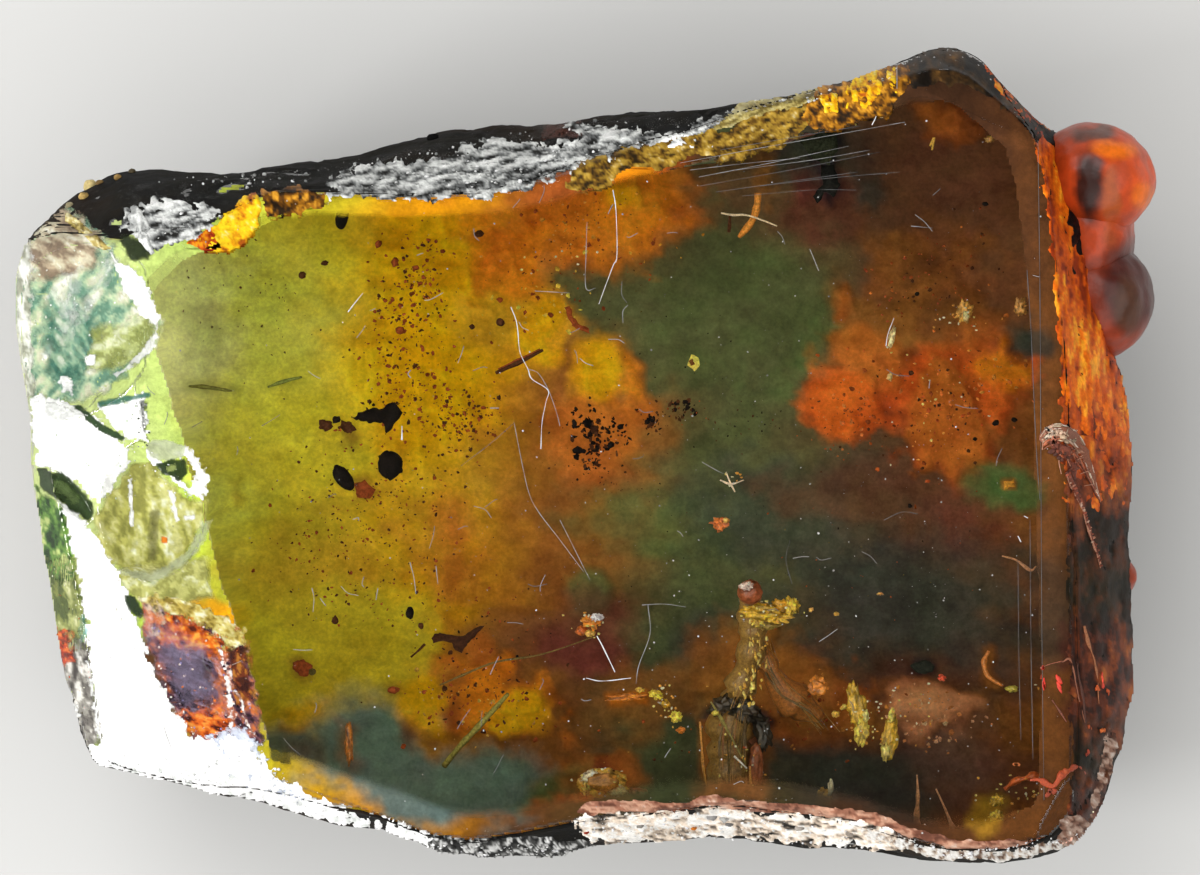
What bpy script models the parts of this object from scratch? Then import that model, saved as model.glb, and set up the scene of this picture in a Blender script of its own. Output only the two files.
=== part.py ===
"""Raw amber piece, lying on its back with the polished window facing up.

One solid: a lofted nodule with a flattish back, a widest belly, a polished
flat face, a knob of round lobes at the right and fracture facets at the left.
The outlines are drawn on a sheet: 1 sheet unit is 0.04 mm on the polished
face, u runs to the right (+X) and v runs down (-Y). The sheet is drawn in
perspective, so outlines deeper in the piece are opened up to their true size.
"""
import bpy
import bmesh
import math
from mathutils import Vector, Matrix, noise

# ---------------------------------------------------------------- dimensions
# All of these are in millimetres unless they say otherwise.
UNIT = 0.04                    # one sheet unit on the polished face
EYE = 200.0                    # eye point of the sheet above the polished face
SHEET_CENTRE = (600.0, 437.5)  # sheet units, straight below the eye point
AXIS = (-0.4, -0.7)            # loft axis, measured from the sheet centre
HEIGHT = 19.0                  # flat of the back up to the polished face
EDGE_Z = 18.6                  # height of the polished face's outer edge
BELLY_Z = 9.5                  # height of the widest outline
FLAT_SHARE = 0.64              # resting flat, as a share of the belly outline
BELLY_POWER = 2.3              # squareness of the underside's rounding
SMOOTHING_DEG = 0.9            # rounding of the drawn outlines
SEGMENTS = 128                 # points round each ring
RINGS_UNDER = 8                # rings from the flat to the belly
RINGS_OVER = 10                # rings from the belly to the face's edge
FACE_SHARES = (0.985, 0.955, 0.9, 0.8, 0.5)   # rings on the face
BUMP_COARSE = 0.34             # unevenness of the natural skin, broad
BUMP_FINE = 0.12               # unevenness of the natural skin, fine
BALL_DETAIL = 3                # subdivisions of the lobes and chips

# Widest outline, seen from above (sheet units, clockwise from the left).
BELLY = (
    (20, 280), (30, 240), (60, 205), (85, 185), (110, 172), (140, 168),
    (200, 170), (240, 172), (290, 163), (340, 155), (400, 140), (440, 130),
    (520, 125), (600, 113), (700, 112), (740, 100), (800, 92), (860, 75),
    (900, 62), (915, 52), (940, 46), (962, 48), (985, 63), (1005, 85),
    (1028, 108), (1050, 124), (1072, 134), (1090, 150), (1100, 200),
    (1108, 270), (1116, 340), (1125, 380), (1130, 420), (1132, 480),
    (1129, 540), (1130, 600), (1136, 640), (1139, 685), (1130, 720),
    (1115, 762), (1103, 800), (1092, 828), (1062, 852), (1000, 865),
    (930, 862), (870, 855), (800, 846), (750, 839), (700, 838), (640, 842),
    (590, 847), (560, 857), (480, 855), (430, 850), (380, 826), (320, 818),
    (260, 801), (200, 786), (150, 775), (95, 763), (78, 748), (66, 700),
    (58, 640), (45, 560), (36, 470), (28, 400), (21, 340),
)
# Outline of the polished face before the chips at the left end were struck.
FACE = (
    (112, 330), (118, 275), (150, 243), (200, 226), (245, 203), (270, 190),
    (330, 192), (400, 196), (480, 193), (540, 180), (600, 160), (660, 140),
    (720, 121), (760, 108), (800, 101), (860, 92), (900, 78), (938, 66),
    (970, 74), (1000, 100), (1034, 130), (1048, 180), (1057, 250),
    (1063, 330), (1066, 400), (1068, 480), (1070, 560), (1073, 640),
    (1074, 700), (1072, 760), (1070, 806), (1052, 836), (1000, 847),
    (930, 846), (870, 824), (800, 808), (740, 801), (700, 803), (640, 812),
    (580, 820), (520, 832), (470, 840), (430, 834), (380, 815), (330, 799),
    (280, 782), (230, 768), (170, 752), (120, 735), (100, 690), (92, 620),
    (88, 550), (92, 470), (102, 400),
)
# How the side falls from the face's edge to the belly: below 1 it swings out
# at once, above 1 it keeps close to the edge first and leaves a gully.
# (heading in degrees from +X towards +Y, power)
FALL = (
    (-180, 0.60), (-150, 0.55), (-120, 0.75), (-90, 0.90), (-60, 0.85),
    (-35, 0.80), (-20, 0.95), (0, 1.05), (12, 1.15), (22, 1.9), (31, 2.4),
    (40, 1.5), (52, 0.9), (75, 0.95), (110, 1.0), (135, 1.1), (150, 0.95),
    (165, 0.65),
)
# Rounding of the polished face towards its edge (heading, power): a low
# power starts the rounding further in.
CROWN = (
    (-180, 20), (-120, 16), (-60, 14), (-30, 9), (0, 8), (25, 8), (45, 10),
    (60, 18), (120, 20), (150, 20),
)
# Round lobes of the knob, joined to the body: (name, u, v, height, radius
# along X, radius along Y, radius along Z)
LOBES = (
    ("lobe_upper", 1092, 181, 10.8, 2.78, 2.58, 3.1),
    ("lobe_lower", 1094, 300, 9.8, 2.68, 2.70, 3.4),
    ("lobe_root", 1082, 236, 9.0, 2.40, 3.20, 4.2),
    ("lobe_small", 1117, 577, 10.2, 0.98, 1.05, 1.3),
)
# Flat facets: (name, u, v, height, heading of its slope, slope in degrees)
FLATS = (
    ("end_middle", 144, 435, 18.9, 187.0, 30.0),
    ("end_sliver", 131, 625, 18.43, 206.1, 29.6),
    ("end_window", 240, 670, 18.95, 196.0, 8.0),
    ("end_wall", 82, 620, 17.1, 190.6, 76.0),
    ("corner_upper", 946, 98, 18.95, 62.0, 30.0),
    ("corner_lower", 1078, 800, 17.6, -28.0, 52.0),
)
# Shell-shaped chips: (name, u, v of the rim's centre, rim height, rim radius
# along its heading, rim radius across it, depth, height of the ball, heading,
# heading and slope in degrees of the surface that it dips into)
SHELLS = (
    ("chip_scar", 84, 318, 16.5, 4.3, 3.15, 1.0, 4.4, 0.0, 182.0, 41.0),
    ("chip_dish", 150, 513, 18.35, 2.35, 2.50, 0.90, 2.6, 0.0, 187.0, 17.0),
    ("chip_gap", 66, 497, 16.94, 1.60, 0.55, 0.55, 1.3, -40.0, 187.0, 30.0),
    ("chip_gold", 222, 214, 18.95, 2.05, 0.92, 0.42, 1.8, 33.0, 0.0, 0.0),
    ("chip_brown", 297, 193, 18.95, 1.75, 0.62, 0.30, 1.4, 4.0, 0.0, 0.0),
    ("bevel_grain", 742, 106, 19.0, 6.7, 1.95, 0.66, 3.0, 14.4, 0.0, 0.0),
)


# ------------------------------------------------------------------ geometry
def place(u, v, z):
    """Plan position in mm of a sheet point that lies at height z."""
    k = UNIT * (EYE + HEIGHT - z) / EYE
    return (u - SHEET_CENTRE[0]) * k, (SHEET_CENTRE[1] - v) * k


def ring_table(outline, z):
    """Radius about the loft axis for 720 headings, lightly smoothed."""
    polar = []
    for u, v in outline:
        x, y = place(u, v, z)
        x -= AXIS[0]
        y -= AXIS[1]
        polar.append((math.atan2(y, x), math.hypot(x, y)))
    polar.sort()
    count = len(polar)
    raw = []
    for i in range(720):
        heading = -math.pi + 2 * math.pi * i / 720
        after = 0
        while after < count and polar[after][0] <= heading:
            after += 1
        a = polar[(after - 1) % count]
        b = polar[after % count]
        # straight line between the two drawn points, in polar form
        ax, ay = a[1] * math.cos(a[0]), a[1] * math.sin(a[0])
        bx, by = b[1] * math.cos(b[0]), b[1] * math.sin(b[0])
        dx, dy = bx - ax, by - ay
        det = math.cos(heading) * dy - math.sin(heading) * dx
        raw.append((ax * dy - ay * dx) / det if abs(det) > 1e-9 else a[1])
    width = SMOOTHING_DEG * 2
    reach = int(width * 3) + 1
    weights = [math.exp(-0.5 * (j / width) ** 2) for j in range(-reach, reach + 1)]
    total = sum(weights)
    return [sum(w * raw[(i + j - reach) % 720] for j, w in enumerate(weights)) / total
            for i in range(720)]


def look_up(table, heading):
    at = ((heading + math.pi) / (2 * math.pi) * 720) % 720
    low = int(at)
    share = at - low
    return table[low % 720] * (1 - share) + table[(low + 1) % 720] * share


def along(pairs, heading):
    """Value at a heading of a list of (degrees, value), eased between them."""
    deg = math.degrees(heading)
    count = len(pairs)
    for i in range(count):
        a = pairs[i]
        b = pairs[(i + 1) % count]
        span = (b[0] - a[0]) % 360
        step = (deg - a[0]) % 360
        if step <= span:
            share = step / span
            share = share * share * (3 - 2 * share)
            return a[1] + (b[1] - a[1]) * share
    return pairs[0][1]


def side_radius(heading, z, belly, face):
    """Radius of the side at a heading and a height."""
    wide = look_up(belly, heading)
    if z < BELLY_Z:
        t = (BELLY_Z - z) / BELLY_Z
        curve = max(0.0, 1 - t ** BELLY_POWER) ** (1 / BELLY_POWER)
        return wide * (FLAT_SHARE + (1 - FLAT_SHARE) * curve)
    top = look_up(face, heading)
    t = max(0.0, min(1.0, (EDGE_Z - z) / (EDGE_Z - BELLY_Z)))
    return top + (wide - top) * math.sin(0.5 * math.pi * t ** along(FALL, heading))


def unevenness(x, y, z):
    """Bumps of the natural skin, none on the polished face or the flat."""
    spot = Vector((x, y, z))
    broad = noise.noise(spot * 0.23 + Vector((3.1, 8.2, 1.7)))
    fine = noise.noise(spot * 0.62 + Vector((11.4, 2.9, 7.3)))
    lift = min(1.0, max(0.0, z / 1.2)) * min(1.0, max(0.0, (EDGE_Z - z) / 2.2))
    return (BUMP_COARSE * broad + BUMP_FINE * fine) * lift


def ring_points():
    """Rings of points from the flat of the back up to the polished face."""
    belly = ring_table(BELLY, BELLY_Z)
    face = ring_table(FACE, EDGE_Z)
    heights = []
    for i in range(RINGS_UNDER):
        swing = 0.5 * math.pi * (1 - i / RINGS_UNDER)
        heights.append(BELLY_Z * (1 - math.sin(swing) ** (2 / BELLY_POWER)))
    for i in range(RINGS_OVER + 1):
        heights.append(BELLY_Z + (EDGE_Z - BELLY_Z) * i / RINGS_OVER)
    headings = [-math.pi + 2 * math.pi * i / SEGMENTS for i in range(SEGMENTS)]
    rings = []
    for z in heights:
        ring = []
        for heading in headings:
            radius = side_radius(heading, z, belly, face)
            hx, hy = math.cos(heading), math.sin(heading)
            radius += unevenness(hx * radius, hy * radius, z)
            ring.append((AXIS[0] + hx * radius, AXIS[1] + hy * radius, z))
        rings.append(ring)
    for share in FACE_SHARES:
        ring = []
        for heading in headings:
            radius = look_up(face, heading) * share
            z = EDGE_Z + (HEIGHT - EDGE_Z) * (1 - share ** along(CROWN, heading))
            ring.append((AXIS[0] + math.cos(heading) * radius,
                         AXIS[1] + math.sin(heading) * radius, z))
        rings.append(ring)
    return rings


def nodule_mesh(name):
    """Closed loft through all the rings."""
    bm = bmesh.new()
    rings = [[bm.verts.new(Vector(p) * 0.001) for p in ring] for ring in ring_points()]
    for low, high in zip(rings, rings[1:]):
        for i in range(SEGMENTS):
            j = (i + 1) % SEGMENTS
            bm.faces.new((low[i], low[j], high[j], high[i]))
    bm.faces.new(list(reversed(rings[0])))
    summit = bm.verts.new(Vector((AXIS[0], AXIS[1], HEIGHT)) * 0.001)
    last = rings[-1]
    for i in range(SEGMENTS):
        bm.faces.new((last[i], last[(i + 1) % SEGMENTS], summit))
    bmesh.ops.recalc_face_normals(bm, faces=bm.faces)
    mesh = bpy.data.meshes.new(name)
    bm.to_mesh(mesh)
    bm.free()
    return mesh


def helper_object(name, bm):
    mesh = bpy.data.meshes.new(name)
    bm.to_mesh(mesh)
    bm.free()
    obj = bpy.data.objects.new(name, mesh)
    bpy.context.scene.collection.objects.link(obj)
    obj.hide_render = True
    obj.display_type = 'WIRE'
    return obj


def flat_cutter(name, u, v, z, heading_deg, slope_deg):
    """A block whose underside lies on the facet's plane."""
    x, y = place(u, v, z)
    heading = math.radians(heading_deg)
    slope = math.radians(slope_deg)
    normal = Vector((math.sin(slope) * math.cos(heading),
                     math.sin(slope) * math.sin(heading), math.cos(slope)))
    size = 70.0
    bm = bmesh.new()
    bmesh.ops.create_cube(bm, size=1.0)
    turn = normal.to_track_quat('Z', 'Y').to_matrix().to_4x4()
    centre = Vector((x, y, z)) + normal * (size / 2)
    move = Matrix.Translation(centre * 0.001)
    bmesh.ops.transform(bm, matrix=move @ turn @ Matrix.Scale(size * 0.001, 4),
                        verts=bm.verts)
    return helper_object(name, bm)


def ball(name, centre, turn, along_x, along_y, along_z):
    """A stretched ball, in mm, turned by a rotation matrix."""
    bm = bmesh.new()
    bmesh.ops.create_icosphere(bm, subdivisions=BALL_DETAIL, radius=1.0)
    size = Matrix.Diagonal((along_x * 0.001, along_y * 0.001, along_z * 0.001, 1.0))
    move = Matrix.Translation(centre * 0.001)
    bmesh.ops.transform(bm, matrix=move @ turn @ size, verts=bm.verts)
    return helper_object(name, bm)


def lobe(name, u, v, z, along_x, along_y, along_z):
    x, y = place(u, v, z)
    return ball(name, Vector((x, y, z)), Matrix.Identity(4), along_x, along_y, along_z)


def shell_cutter(name, u, v, z, rim_along, rim_across, depth, tall, heading_deg,
                 fall_deg, slope_deg):
    """A ball that dips under its rim, into a sloping surface."""
    x, y = place(u, v, z)
    share = math.sqrt(1 - ((tall - depth) / tall) ** 2)
    fall = math.radians(fall_deg)
    tilt = Matrix.Rotation(math.radians(slope_deg), 4,
                           Vector((-math.sin(fall), math.cos(fall), 0.0)))
    turn = tilt @ Matrix.Rotation(math.radians(heading_deg), 4, 'Z')
    centre = Vector((x, y, z)) + tilt @ Vector((0.0, 0.0, tall - depth))
    return ball(name, centre, turn, rim_along / share, rim_across / share, tall)


def amber_material():
    mat = bpy.data.materials.new("amber")
    mat.use_nodes = True
    shader = mat.node_tree.nodes["Principled BSDF"]
    shader.inputs["Base Color"].default_value = (0.55, 0.22, 0.03, 1.0)
    shader.inputs["Roughness"].default_value = 0.08
    shader.inputs["Metallic"].default_value = 0.0
    shader.inputs["IOR"].default_value = 1.54
    shader.inputs["Transmission Weight"].default_value = 1.0
    return mat


def build():
    for obj in list(bpy.data.objects):
        bpy.data.objects.remove(obj, do_unlink=True)
    amber = bpy.data.objects.new("raw_amber", nodule_mesh("raw_amber"))
    bpy.context.scene.collection.objects.link(amber)
    helpers = [(lobe(*row), 'UNION') for row in LOBES]
    helpers += [(flat_cutter(*row), 'DIFFERENCE') for row in FLATS]
    helpers += [(shell_cutter(*row), 'DIFFERENCE') for row in SHELLS]
    for helper, operation in helpers:
        step = amber.modifiers.new(helper.name, 'BOOLEAN')
        step.operation = operation
        step.solver = 'EXACT'
        step.object = helper
    # the joins and cuts are made final, and the piece is centred on its flat
    bpy.context.view_layer.update()
    graph = bpy.context.evaluated_depsgraph_get()
    done = bpy.data.meshes.new_from_object(amber.evaluated_get(graph))
    amber.modifiers.clear()
    amber.data = done
    done.name = "raw_amber"
    for helper, operation in helpers:
        bpy.data.objects.remove(helper, do_unlink=True)
    xs = [v.co.x for v in done.vertices]
    ys = [v.co.y for v in done.vertices]
    zs = [v.co.z for v in done.vertices]
    shift = Vector((-(min(xs) + max(xs)) / 2, -(min(ys) + max(ys)) / 2, -min(zs)))
    for vert in done.vertices:
        vert.co += shift
    done.materials.clear()
    done.materials.append(amber_material())
    done.shade_smooth()
    done.set_sharp_from_angle(angle=math.radians(32))
    return amber, shift


if __name__ == "__main__":
    build()
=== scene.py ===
import math

import bpy
import bmesh
import numpy as np
from mathutils import Matrix, Vector, noise
from mathutils.bvhtree import BVHTree


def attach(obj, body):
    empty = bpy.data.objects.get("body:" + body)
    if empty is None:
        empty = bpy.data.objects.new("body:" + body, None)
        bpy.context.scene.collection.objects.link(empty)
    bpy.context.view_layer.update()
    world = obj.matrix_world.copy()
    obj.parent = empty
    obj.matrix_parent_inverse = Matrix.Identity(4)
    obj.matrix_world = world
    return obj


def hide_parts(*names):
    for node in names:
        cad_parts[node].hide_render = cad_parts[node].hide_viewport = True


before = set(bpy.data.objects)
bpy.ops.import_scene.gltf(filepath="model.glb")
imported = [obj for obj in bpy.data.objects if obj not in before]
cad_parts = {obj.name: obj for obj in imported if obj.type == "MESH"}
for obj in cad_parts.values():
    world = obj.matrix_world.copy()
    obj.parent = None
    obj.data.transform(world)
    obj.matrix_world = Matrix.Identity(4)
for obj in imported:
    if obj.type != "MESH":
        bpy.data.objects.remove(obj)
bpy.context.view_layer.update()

scene = bpy.context.scene

# ============================================================== dimensions
# Millimetres unless said otherwise. Outlines are drawn on a sheet: one sheet
# unit is 0.04 mm on the polished face, u runs right (+X), v runs down (-Y).
UNIT = 0.04
EYE = 200.0
SHEET_CENTRE = (600.0, 437.5)
AXIS = (-0.4, -0.7)
HEIGHT = 19.0
EDGE_Z = 18.6
BELLY_Z = 9.5
FLAT_SHARE = 0.64
BELLY_POWER = 2.3
SMOOTHING_DEG = 0.9
BUMP_COARSE = 0.34
BUMP_FINE = 0.12
RESIN_IOR = 1.54
SHIFT = np.array([0.49719, 0.7394, 0.0])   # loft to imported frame
FACE_DROP = 0.03                           # room for dust on the face
WITHIN = 0.9975                            # keeps the skin inside the solid's box

BELLY = (
    (20, 280), (30, 240), (60, 205), (85, 185), (110, 172), (140, 168),
    (200, 170), (240, 172), (290, 163), (340, 155), (400, 140), (440, 130),
    (520, 125), (600, 113), (700, 112), (740, 100), (800, 92), (860, 75),
    (900, 62), (915, 52), (940, 46), (962, 48), (985, 63), (1005, 85),
    (1028, 108), (1050, 124), (1072, 134), (1090, 150), (1100, 200),
    (1108, 270), (1116, 340), (1125, 380), (1130, 420), (1132, 480),
    (1129, 540), (1130, 600), (1136, 640), (1139, 685), (1130, 720),
    (1115, 762), (1103, 800), (1092, 828), (1062, 852), (1000, 865),
    (930, 862), (870, 855), (800, 846), (750, 839), (700, 838), (640, 842),
    (590, 847), (560, 857), (480, 855), (430, 850), (380, 826), (320, 818),
    (260, 801), (200, 786), (150, 775), (95, 763), (78, 748), (66, 700),
    (58, 640), (45, 560), (36, 470), (28, 400), (21, 340),
)
FACE = (
    (112, 330), (118, 275), (150, 243), (200, 226), (245, 203), (270, 190),
    (330, 192), (400, 196), (480, 193), (540, 180), (600, 160), (660, 140),
    (720, 121), (760, 108), (800, 101), (860, 92), (900, 78), (938, 66),
    (970, 74), (1000, 100), (1034, 130), (1048, 180), (1057, 250),
    (1063, 330), (1066, 400), (1068, 480), (1070, 560), (1073, 640),
    (1074, 700), (1072, 760), (1070, 806), (1052, 836), (1000, 847),
    (930, 846), (870, 824), (800, 808), (740, 801), (700, 803), (640, 812),
    (580, 820), (520, 832), (470, 840), (430, 834), (380, 815), (330, 799),
    (280, 782), (230, 768), (170, 752), (120, 735), (100, 690), (92, 620),
    (88, 550), (92, 470), (102, 400),
)
FALL = (
    (-180, 0.60), (-150, 0.55), (-120, 0.75), (-90, 0.90), (-60, 0.85),
    (-35, 0.80), (-20, 0.95), (0, 1.05), (12, 1.15), (22, 1.9), (31, 2.4),
    (40, 1.5), (52, 0.9), (75, 0.95), (110, 1.0), (135, 1.1), (150, 0.95),
    (165, 0.65),
)
CROWN = ((-180, 40), (-120, 60), (-30, 60), (0, 60), (45, 50), (120, 60), (150, 50))
LOBES = (
    ("lobe_upper", 1092, 181, 10.8, 2.78, 2.58, 3.1),
    ("lobe_lower", 1094, 300, 9.8, 2.68, 2.70, 3.4),
    ("lobe_root", 1082, 236, 9.0, 2.40, 3.20, 4.2),
    ("lobe_small", 1117, 577, 10.2, 0.98, 1.05, 1.3),
)
FLATS = (
    ("end_middle", 144, 435, 18.9, 187.0, 30.0),
    ("end_sliver", 131, 625, 18.43, 206.1, 29.6),
    ("end_window", 240, 670, 18.95, 196.0, 8.0),
    ("end_wall", 82, 620, 17.1, 190.6, 76.0),
    ("corner_upper", 946, 98, 18.95, 62.0, 30.0),
    ("corner_lower", 1078, 800, 17.6, -28.0, 52.0),
)
SHELLS = (
    ("chip_scar", 84, 318, 16.5, 4.3, 3.15, 1.0, 4.4, 0.0, 182.0, 41.0),
    ("chip_dish", 150, 513, 18.35, 2.35, 2.50, 0.90, 2.6, 0.0, 187.0, 17.0),
    ("chip_gap", 66, 497, 16.94, 1.60, 0.55, 0.55, 1.3, -40.0, 187.0, 30.0),
    ("chip_gold", 222, 214, 18.95, 2.05, 0.92, 0.42, 1.8, 33.0, 0.0, 0.0),
    ("chip_brown", 297, 193, 18.95, 1.75, 0.62, 0.30, 1.4, 4.0, 0.0, 0.0),
    ("bevel_grain", 742, 106, 19.0, 6.7, 1.95, 0.66, 3.0, 14.4, 0.0, 0.0),
)
# Height to which the dark natural crust climbs the side (heading, height).
CRUST_TOP = (
    (-180, 3.0), (-166, 3.2), (-158, 8.0), (-152, 14.6), (-146, 16.0),
    (-138, 17.0), (-130, 17.8), (-120, 18.2), (-100, 18.2), (-80, 18.2),
    (-60, 18.2), (-45, 18.1), (-38, 18.1), (-31, 18.15), (-26, 18.2), (-15, 18.25),
    (0, 18.25), (18, 18.2), (26, 17.6), (32, 16.9), (38, 15.0), (44, 12.5), (50, 12.8),
    (56, 15.0), (62, 17.4), (75, 17.9), (88, 18.0), (100, 18.3), (120, 18.4),
    (140, 18.4), (150, 18.3), (155, 17.6), (158, 14.0), (161, 8.0),
    (166, 3.4), (172, 3.0),
)


# ============================================================ number tools
def clip01(a):
    return np.clip(a, 0.0, 1.0)


def ease(a):
    a = clip01(a)
    return a * a * (3 - 2 * a)


def lattice(ix, iy, iz, seed):
    h = (ix * 374761393 + iy * 668265263 + iz * 1442695041 + seed * 974711) & 0xFFFFFFFF
    h = ((h ^ (h >> 13)) * 1274126177) & 0xFFFFFFFF
    h = ((h ^ (h >> 15)) * 2246822519) & 0xFFFFFFFF
    return ((h ^ (h >> 16)) & 0xFFFFFF) / float(0x7FFFFF) - 1.0


def grain(p, seed=0):
    """Smooth lattice noise, about -1 to 1, for an array of points (N, 3)."""
    p = np.asarray(p, float)
    i = np.floor(p).astype(np.int64)
    f = p - i
    w = f * f * f * (f * (f * 6 - 15) + 10)
    total = np.zeros(len(p))
    for dx in (0, 1):
        wx = w[:, 0] if dx else 1 - w[:, 0]
        for dy in (0, 1):
            wy = w[:, 1] if dy else 1 - w[:, 1]
            for dz in (0, 1):
                wz = w[:, 2] if dz else 1 - w[:, 2]
                total += wx * wy * wz * lattice(i[:, 0] + dx, i[:, 1] + dy, i[:, 2] + dz, seed)
    return total


def clouds(p, octaves=4, seed=0, fall=0.5):
    """Summed noise, about -1 to 1."""
    p = np.asarray(p, float)
    total = np.zeros(len(p))
    size, norm, step = 1.0, 0.0, 1.0
    for k in range(octaves):
        total += size * grain(p * step + 17.3 * k, seed + k)
        norm += size
        size *= fall
        step *= 2.03
    return total / norm * 1.6


def ridges(p, octaves=3, seed=0):
    """Sharp crests, 0 to 1."""
    p = np.asarray(p, float)
    total = np.zeros(len(p))
    size, norm, step = 1.0, 0.0, 1.0
    for k in range(octaves):
        total += size * (1 - np.abs(grain(p * step + 9.1 * k, seed + k))) ** 2
        norm += size
        size *= 0.5
        step *= 2.07
    return total / norm


def flat3(u, v, w=0.0):
    u = np.asarray(u, float)
    return np.stack([u, np.asarray(v, float) + 0 * u, np.zeros_like(u) + w], 1)


# ========================================================== shape functions
def place(u, v, z):
    """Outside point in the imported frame, mm."""
    k = UNIT * (EYE + HEIGHT - z) / EYE
    return np.array([(u - SHEET_CENTRE[0]) * k + SHIFT[0],
                     (SHEET_CENTRE[1] - v) * k + SHIFT[1], z])


def deep(u, v, z):
    """Point sealed under the polished face, where the sheet shows it, mm."""
    k = UNIT * (EYE + (HEIGHT - z) / RESIN_IOR) / EYE
    return np.array([(u - SHEET_CENTRE[0]) * k + SHIFT[0],
                     (SHEET_CENTRE[1] - v) * k + SHIFT[1], z])


def seen(p):
    """Sheet position at which points (N, 3) sealed in the resin are seen."""
    k = UNIT * (EYE + (HEIGHT - p[:, 2]) / RESIN_IOR) / EYE
    return (SHEET_CENTRE[0] + (p[:, 0] - SHIFT[0]) / k,
            SHEET_CENTRE[1] - (p[:, 1] - SHIFT[1]) / k)


def ring_table(outline, z):
    k = UNIT * (EYE + HEIGHT - z) / EYE
    polar = []
    for u, v in outline:
        x = (u - SHEET_CENTRE[0]) * k - AXIS[0]
        y = (SHEET_CENTRE[1] - v) * k - AXIS[1]
        polar.append((math.atan2(y, x), math.hypot(x, y)))
    polar.sort()
    count = len(polar)
    raw = []
    for i in range(720):
        heading = -math.pi + 2 * math.pi * i / 720
        after = 0
        while after < count and polar[after][0] <= heading:
            after += 1
        a = polar[(after - 1) % count]
        b = polar[after % count]
        ax, ay = a[1] * math.cos(a[0]), a[1] * math.sin(a[0])
        bx, by = b[1] * math.cos(b[0]), b[1] * math.sin(b[0])
        dx, dy = bx - ax, by - ay
        det = math.cos(heading) * dy - math.sin(heading) * dx
        raw.append((ax * dy - ay * dx) / det if abs(det) > 1e-9 else a[1])
    width = SMOOTHING_DEG * 2
    reach = int(width * 3) + 1
    weights = np.array([math.exp(-0.5 * (j / width) ** 2) for j in range(-reach, reach + 1)])
    weights /= weights.sum()
    raw = np.array(raw)
    return sum(w * np.roll(raw, reach - j) for j, w in enumerate(weights))


WIDE = ring_table(BELLY, BELLY_Z)
TOP = ring_table(FACE, EDGE_Z)


def look_up(table, heading):
    at = ((np.asarray(heading, float) + math.pi) / (2 * math.pi) * 720) % 720
    low = np.floor(at).astype(int)
    share = at - low
    return table[low % 720] * (1 - share) + table[(low + 1) % 720] * share


def along(pairs, heading):
    """Value at headings of a list of (degrees, value), eased between them."""
    deg = np.degrees(np.asarray(heading, float))
    at = np.array([p[0] for p in pairs] + [pairs[0][0] + 360.0])
    val = np.array([p[1] for p in pairs] + [pairs[0][1]])
    deg = (deg - at[0]) % 360 + at[0]
    i = np.clip(np.searchsorted(at, deg, side="right") - 1, 0, len(pairs) - 1)
    share = ease((deg - at[i]) / (at[i + 1] - at[i]))
    return val[i] + (val[i + 1] - val[i]) * share


def side_radius(heading, z):
    wide = look_up(WIDE, heading)
    top = look_up(TOP, heading)
    z = np.asarray(z, float)
    t = clip01((BELLY_Z - z) / BELLY_Z)
    under = wide * (FLAT_SHARE + (1 - FLAT_SHARE)
                    * np.maximum(0.0, 1 - t ** BELLY_POWER) ** (1 / BELLY_POWER))
    t = clip01((EDGE_Z - z) / (EDGE_Z - BELLY_Z))
    over = top + (wide - top) * np.sin(0.5 * math.pi * t ** along(FALL, heading))
    return np.where(z < BELLY_Z, under, over)


def unevenness(x, y, z):
    """The same bumps as the solid's natural skin, for arrays in loft mm."""
    out = np.empty(len(x))
    for i in range(len(x)):
        spot = Vector((x[i], y[i], z[i]))
        broad = noise.noise(spot * 0.23 + Vector((3.1, 8.2, 1.7)))
        fine = noise.noise(spot * 0.62 + Vector((11.4, 2.9, 7.3)))
        lift = min(1.0, max(0.0, z[i] / 1.2)) * min(1.0, max(0.0, (EDGE_Z - z[i]) / 2.2))
        out[i] = (BUMP_COARSE * broad + BUMP_FINE * fine) * lift
    return out


def side_points(heading, z):
    """Points of the natural skin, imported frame, mm, for flat arrays."""
    r = side_radius(heading, z)
    hx, hy = np.cos(heading), np.sin(heading)
    r = (r + unevenness(hx * r, hy * r, z)) * WITHIN
    return np.stack([AXIS[0] + hx * r + SHIFT[0], AXIS[1] + hy * r + SHIFT[1], z], 1)


def crust_height(heading):
    """Ragged upper rim of the crust."""
    around = flat3(np.cos(heading) * 21, np.sin(heading) * 17)
    rough = 0.30 * clouds(around * 0.55, 3, 41) + 0.16 * clouds(around * 2.4, 2, 47)
    rim = along(CRUST_TOP, heading)
    return rim + rough * np.where(rim > 17.0, 0.55, 1.6)


# ============================================================= mesh tools
def object_from(name, verts_mm, faces, smooth=True):
    mesh = bpy.data.meshes.new(name)
    verts = np.asarray(verts_mm, float) * 0.001
    mesh.from_pydata(verts.tolist(), [], [tuple(int(i) for i in f) for f in faces])
    mesh.update()
    obj = bpy.data.objects.new(name, mesh)
    scene.collection.objects.link(obj)
    if smooth:
        mesh.shade_smooth()
    return obj


def grid_faces(rows, cols, wrap, start=0, flip=False):
    """Quads of a grid stored row by row."""
    faces = []
    for r in range(rows - 1):
        base = start + r * cols
        for c in range(cols if wrap else cols - 1):
            d = (c + 1) % cols
            quad = (base + c, base + d, base + cols + d, base + cols + c)
            faces.append(quad[::-1] if flip else quad)
    return faces


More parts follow.
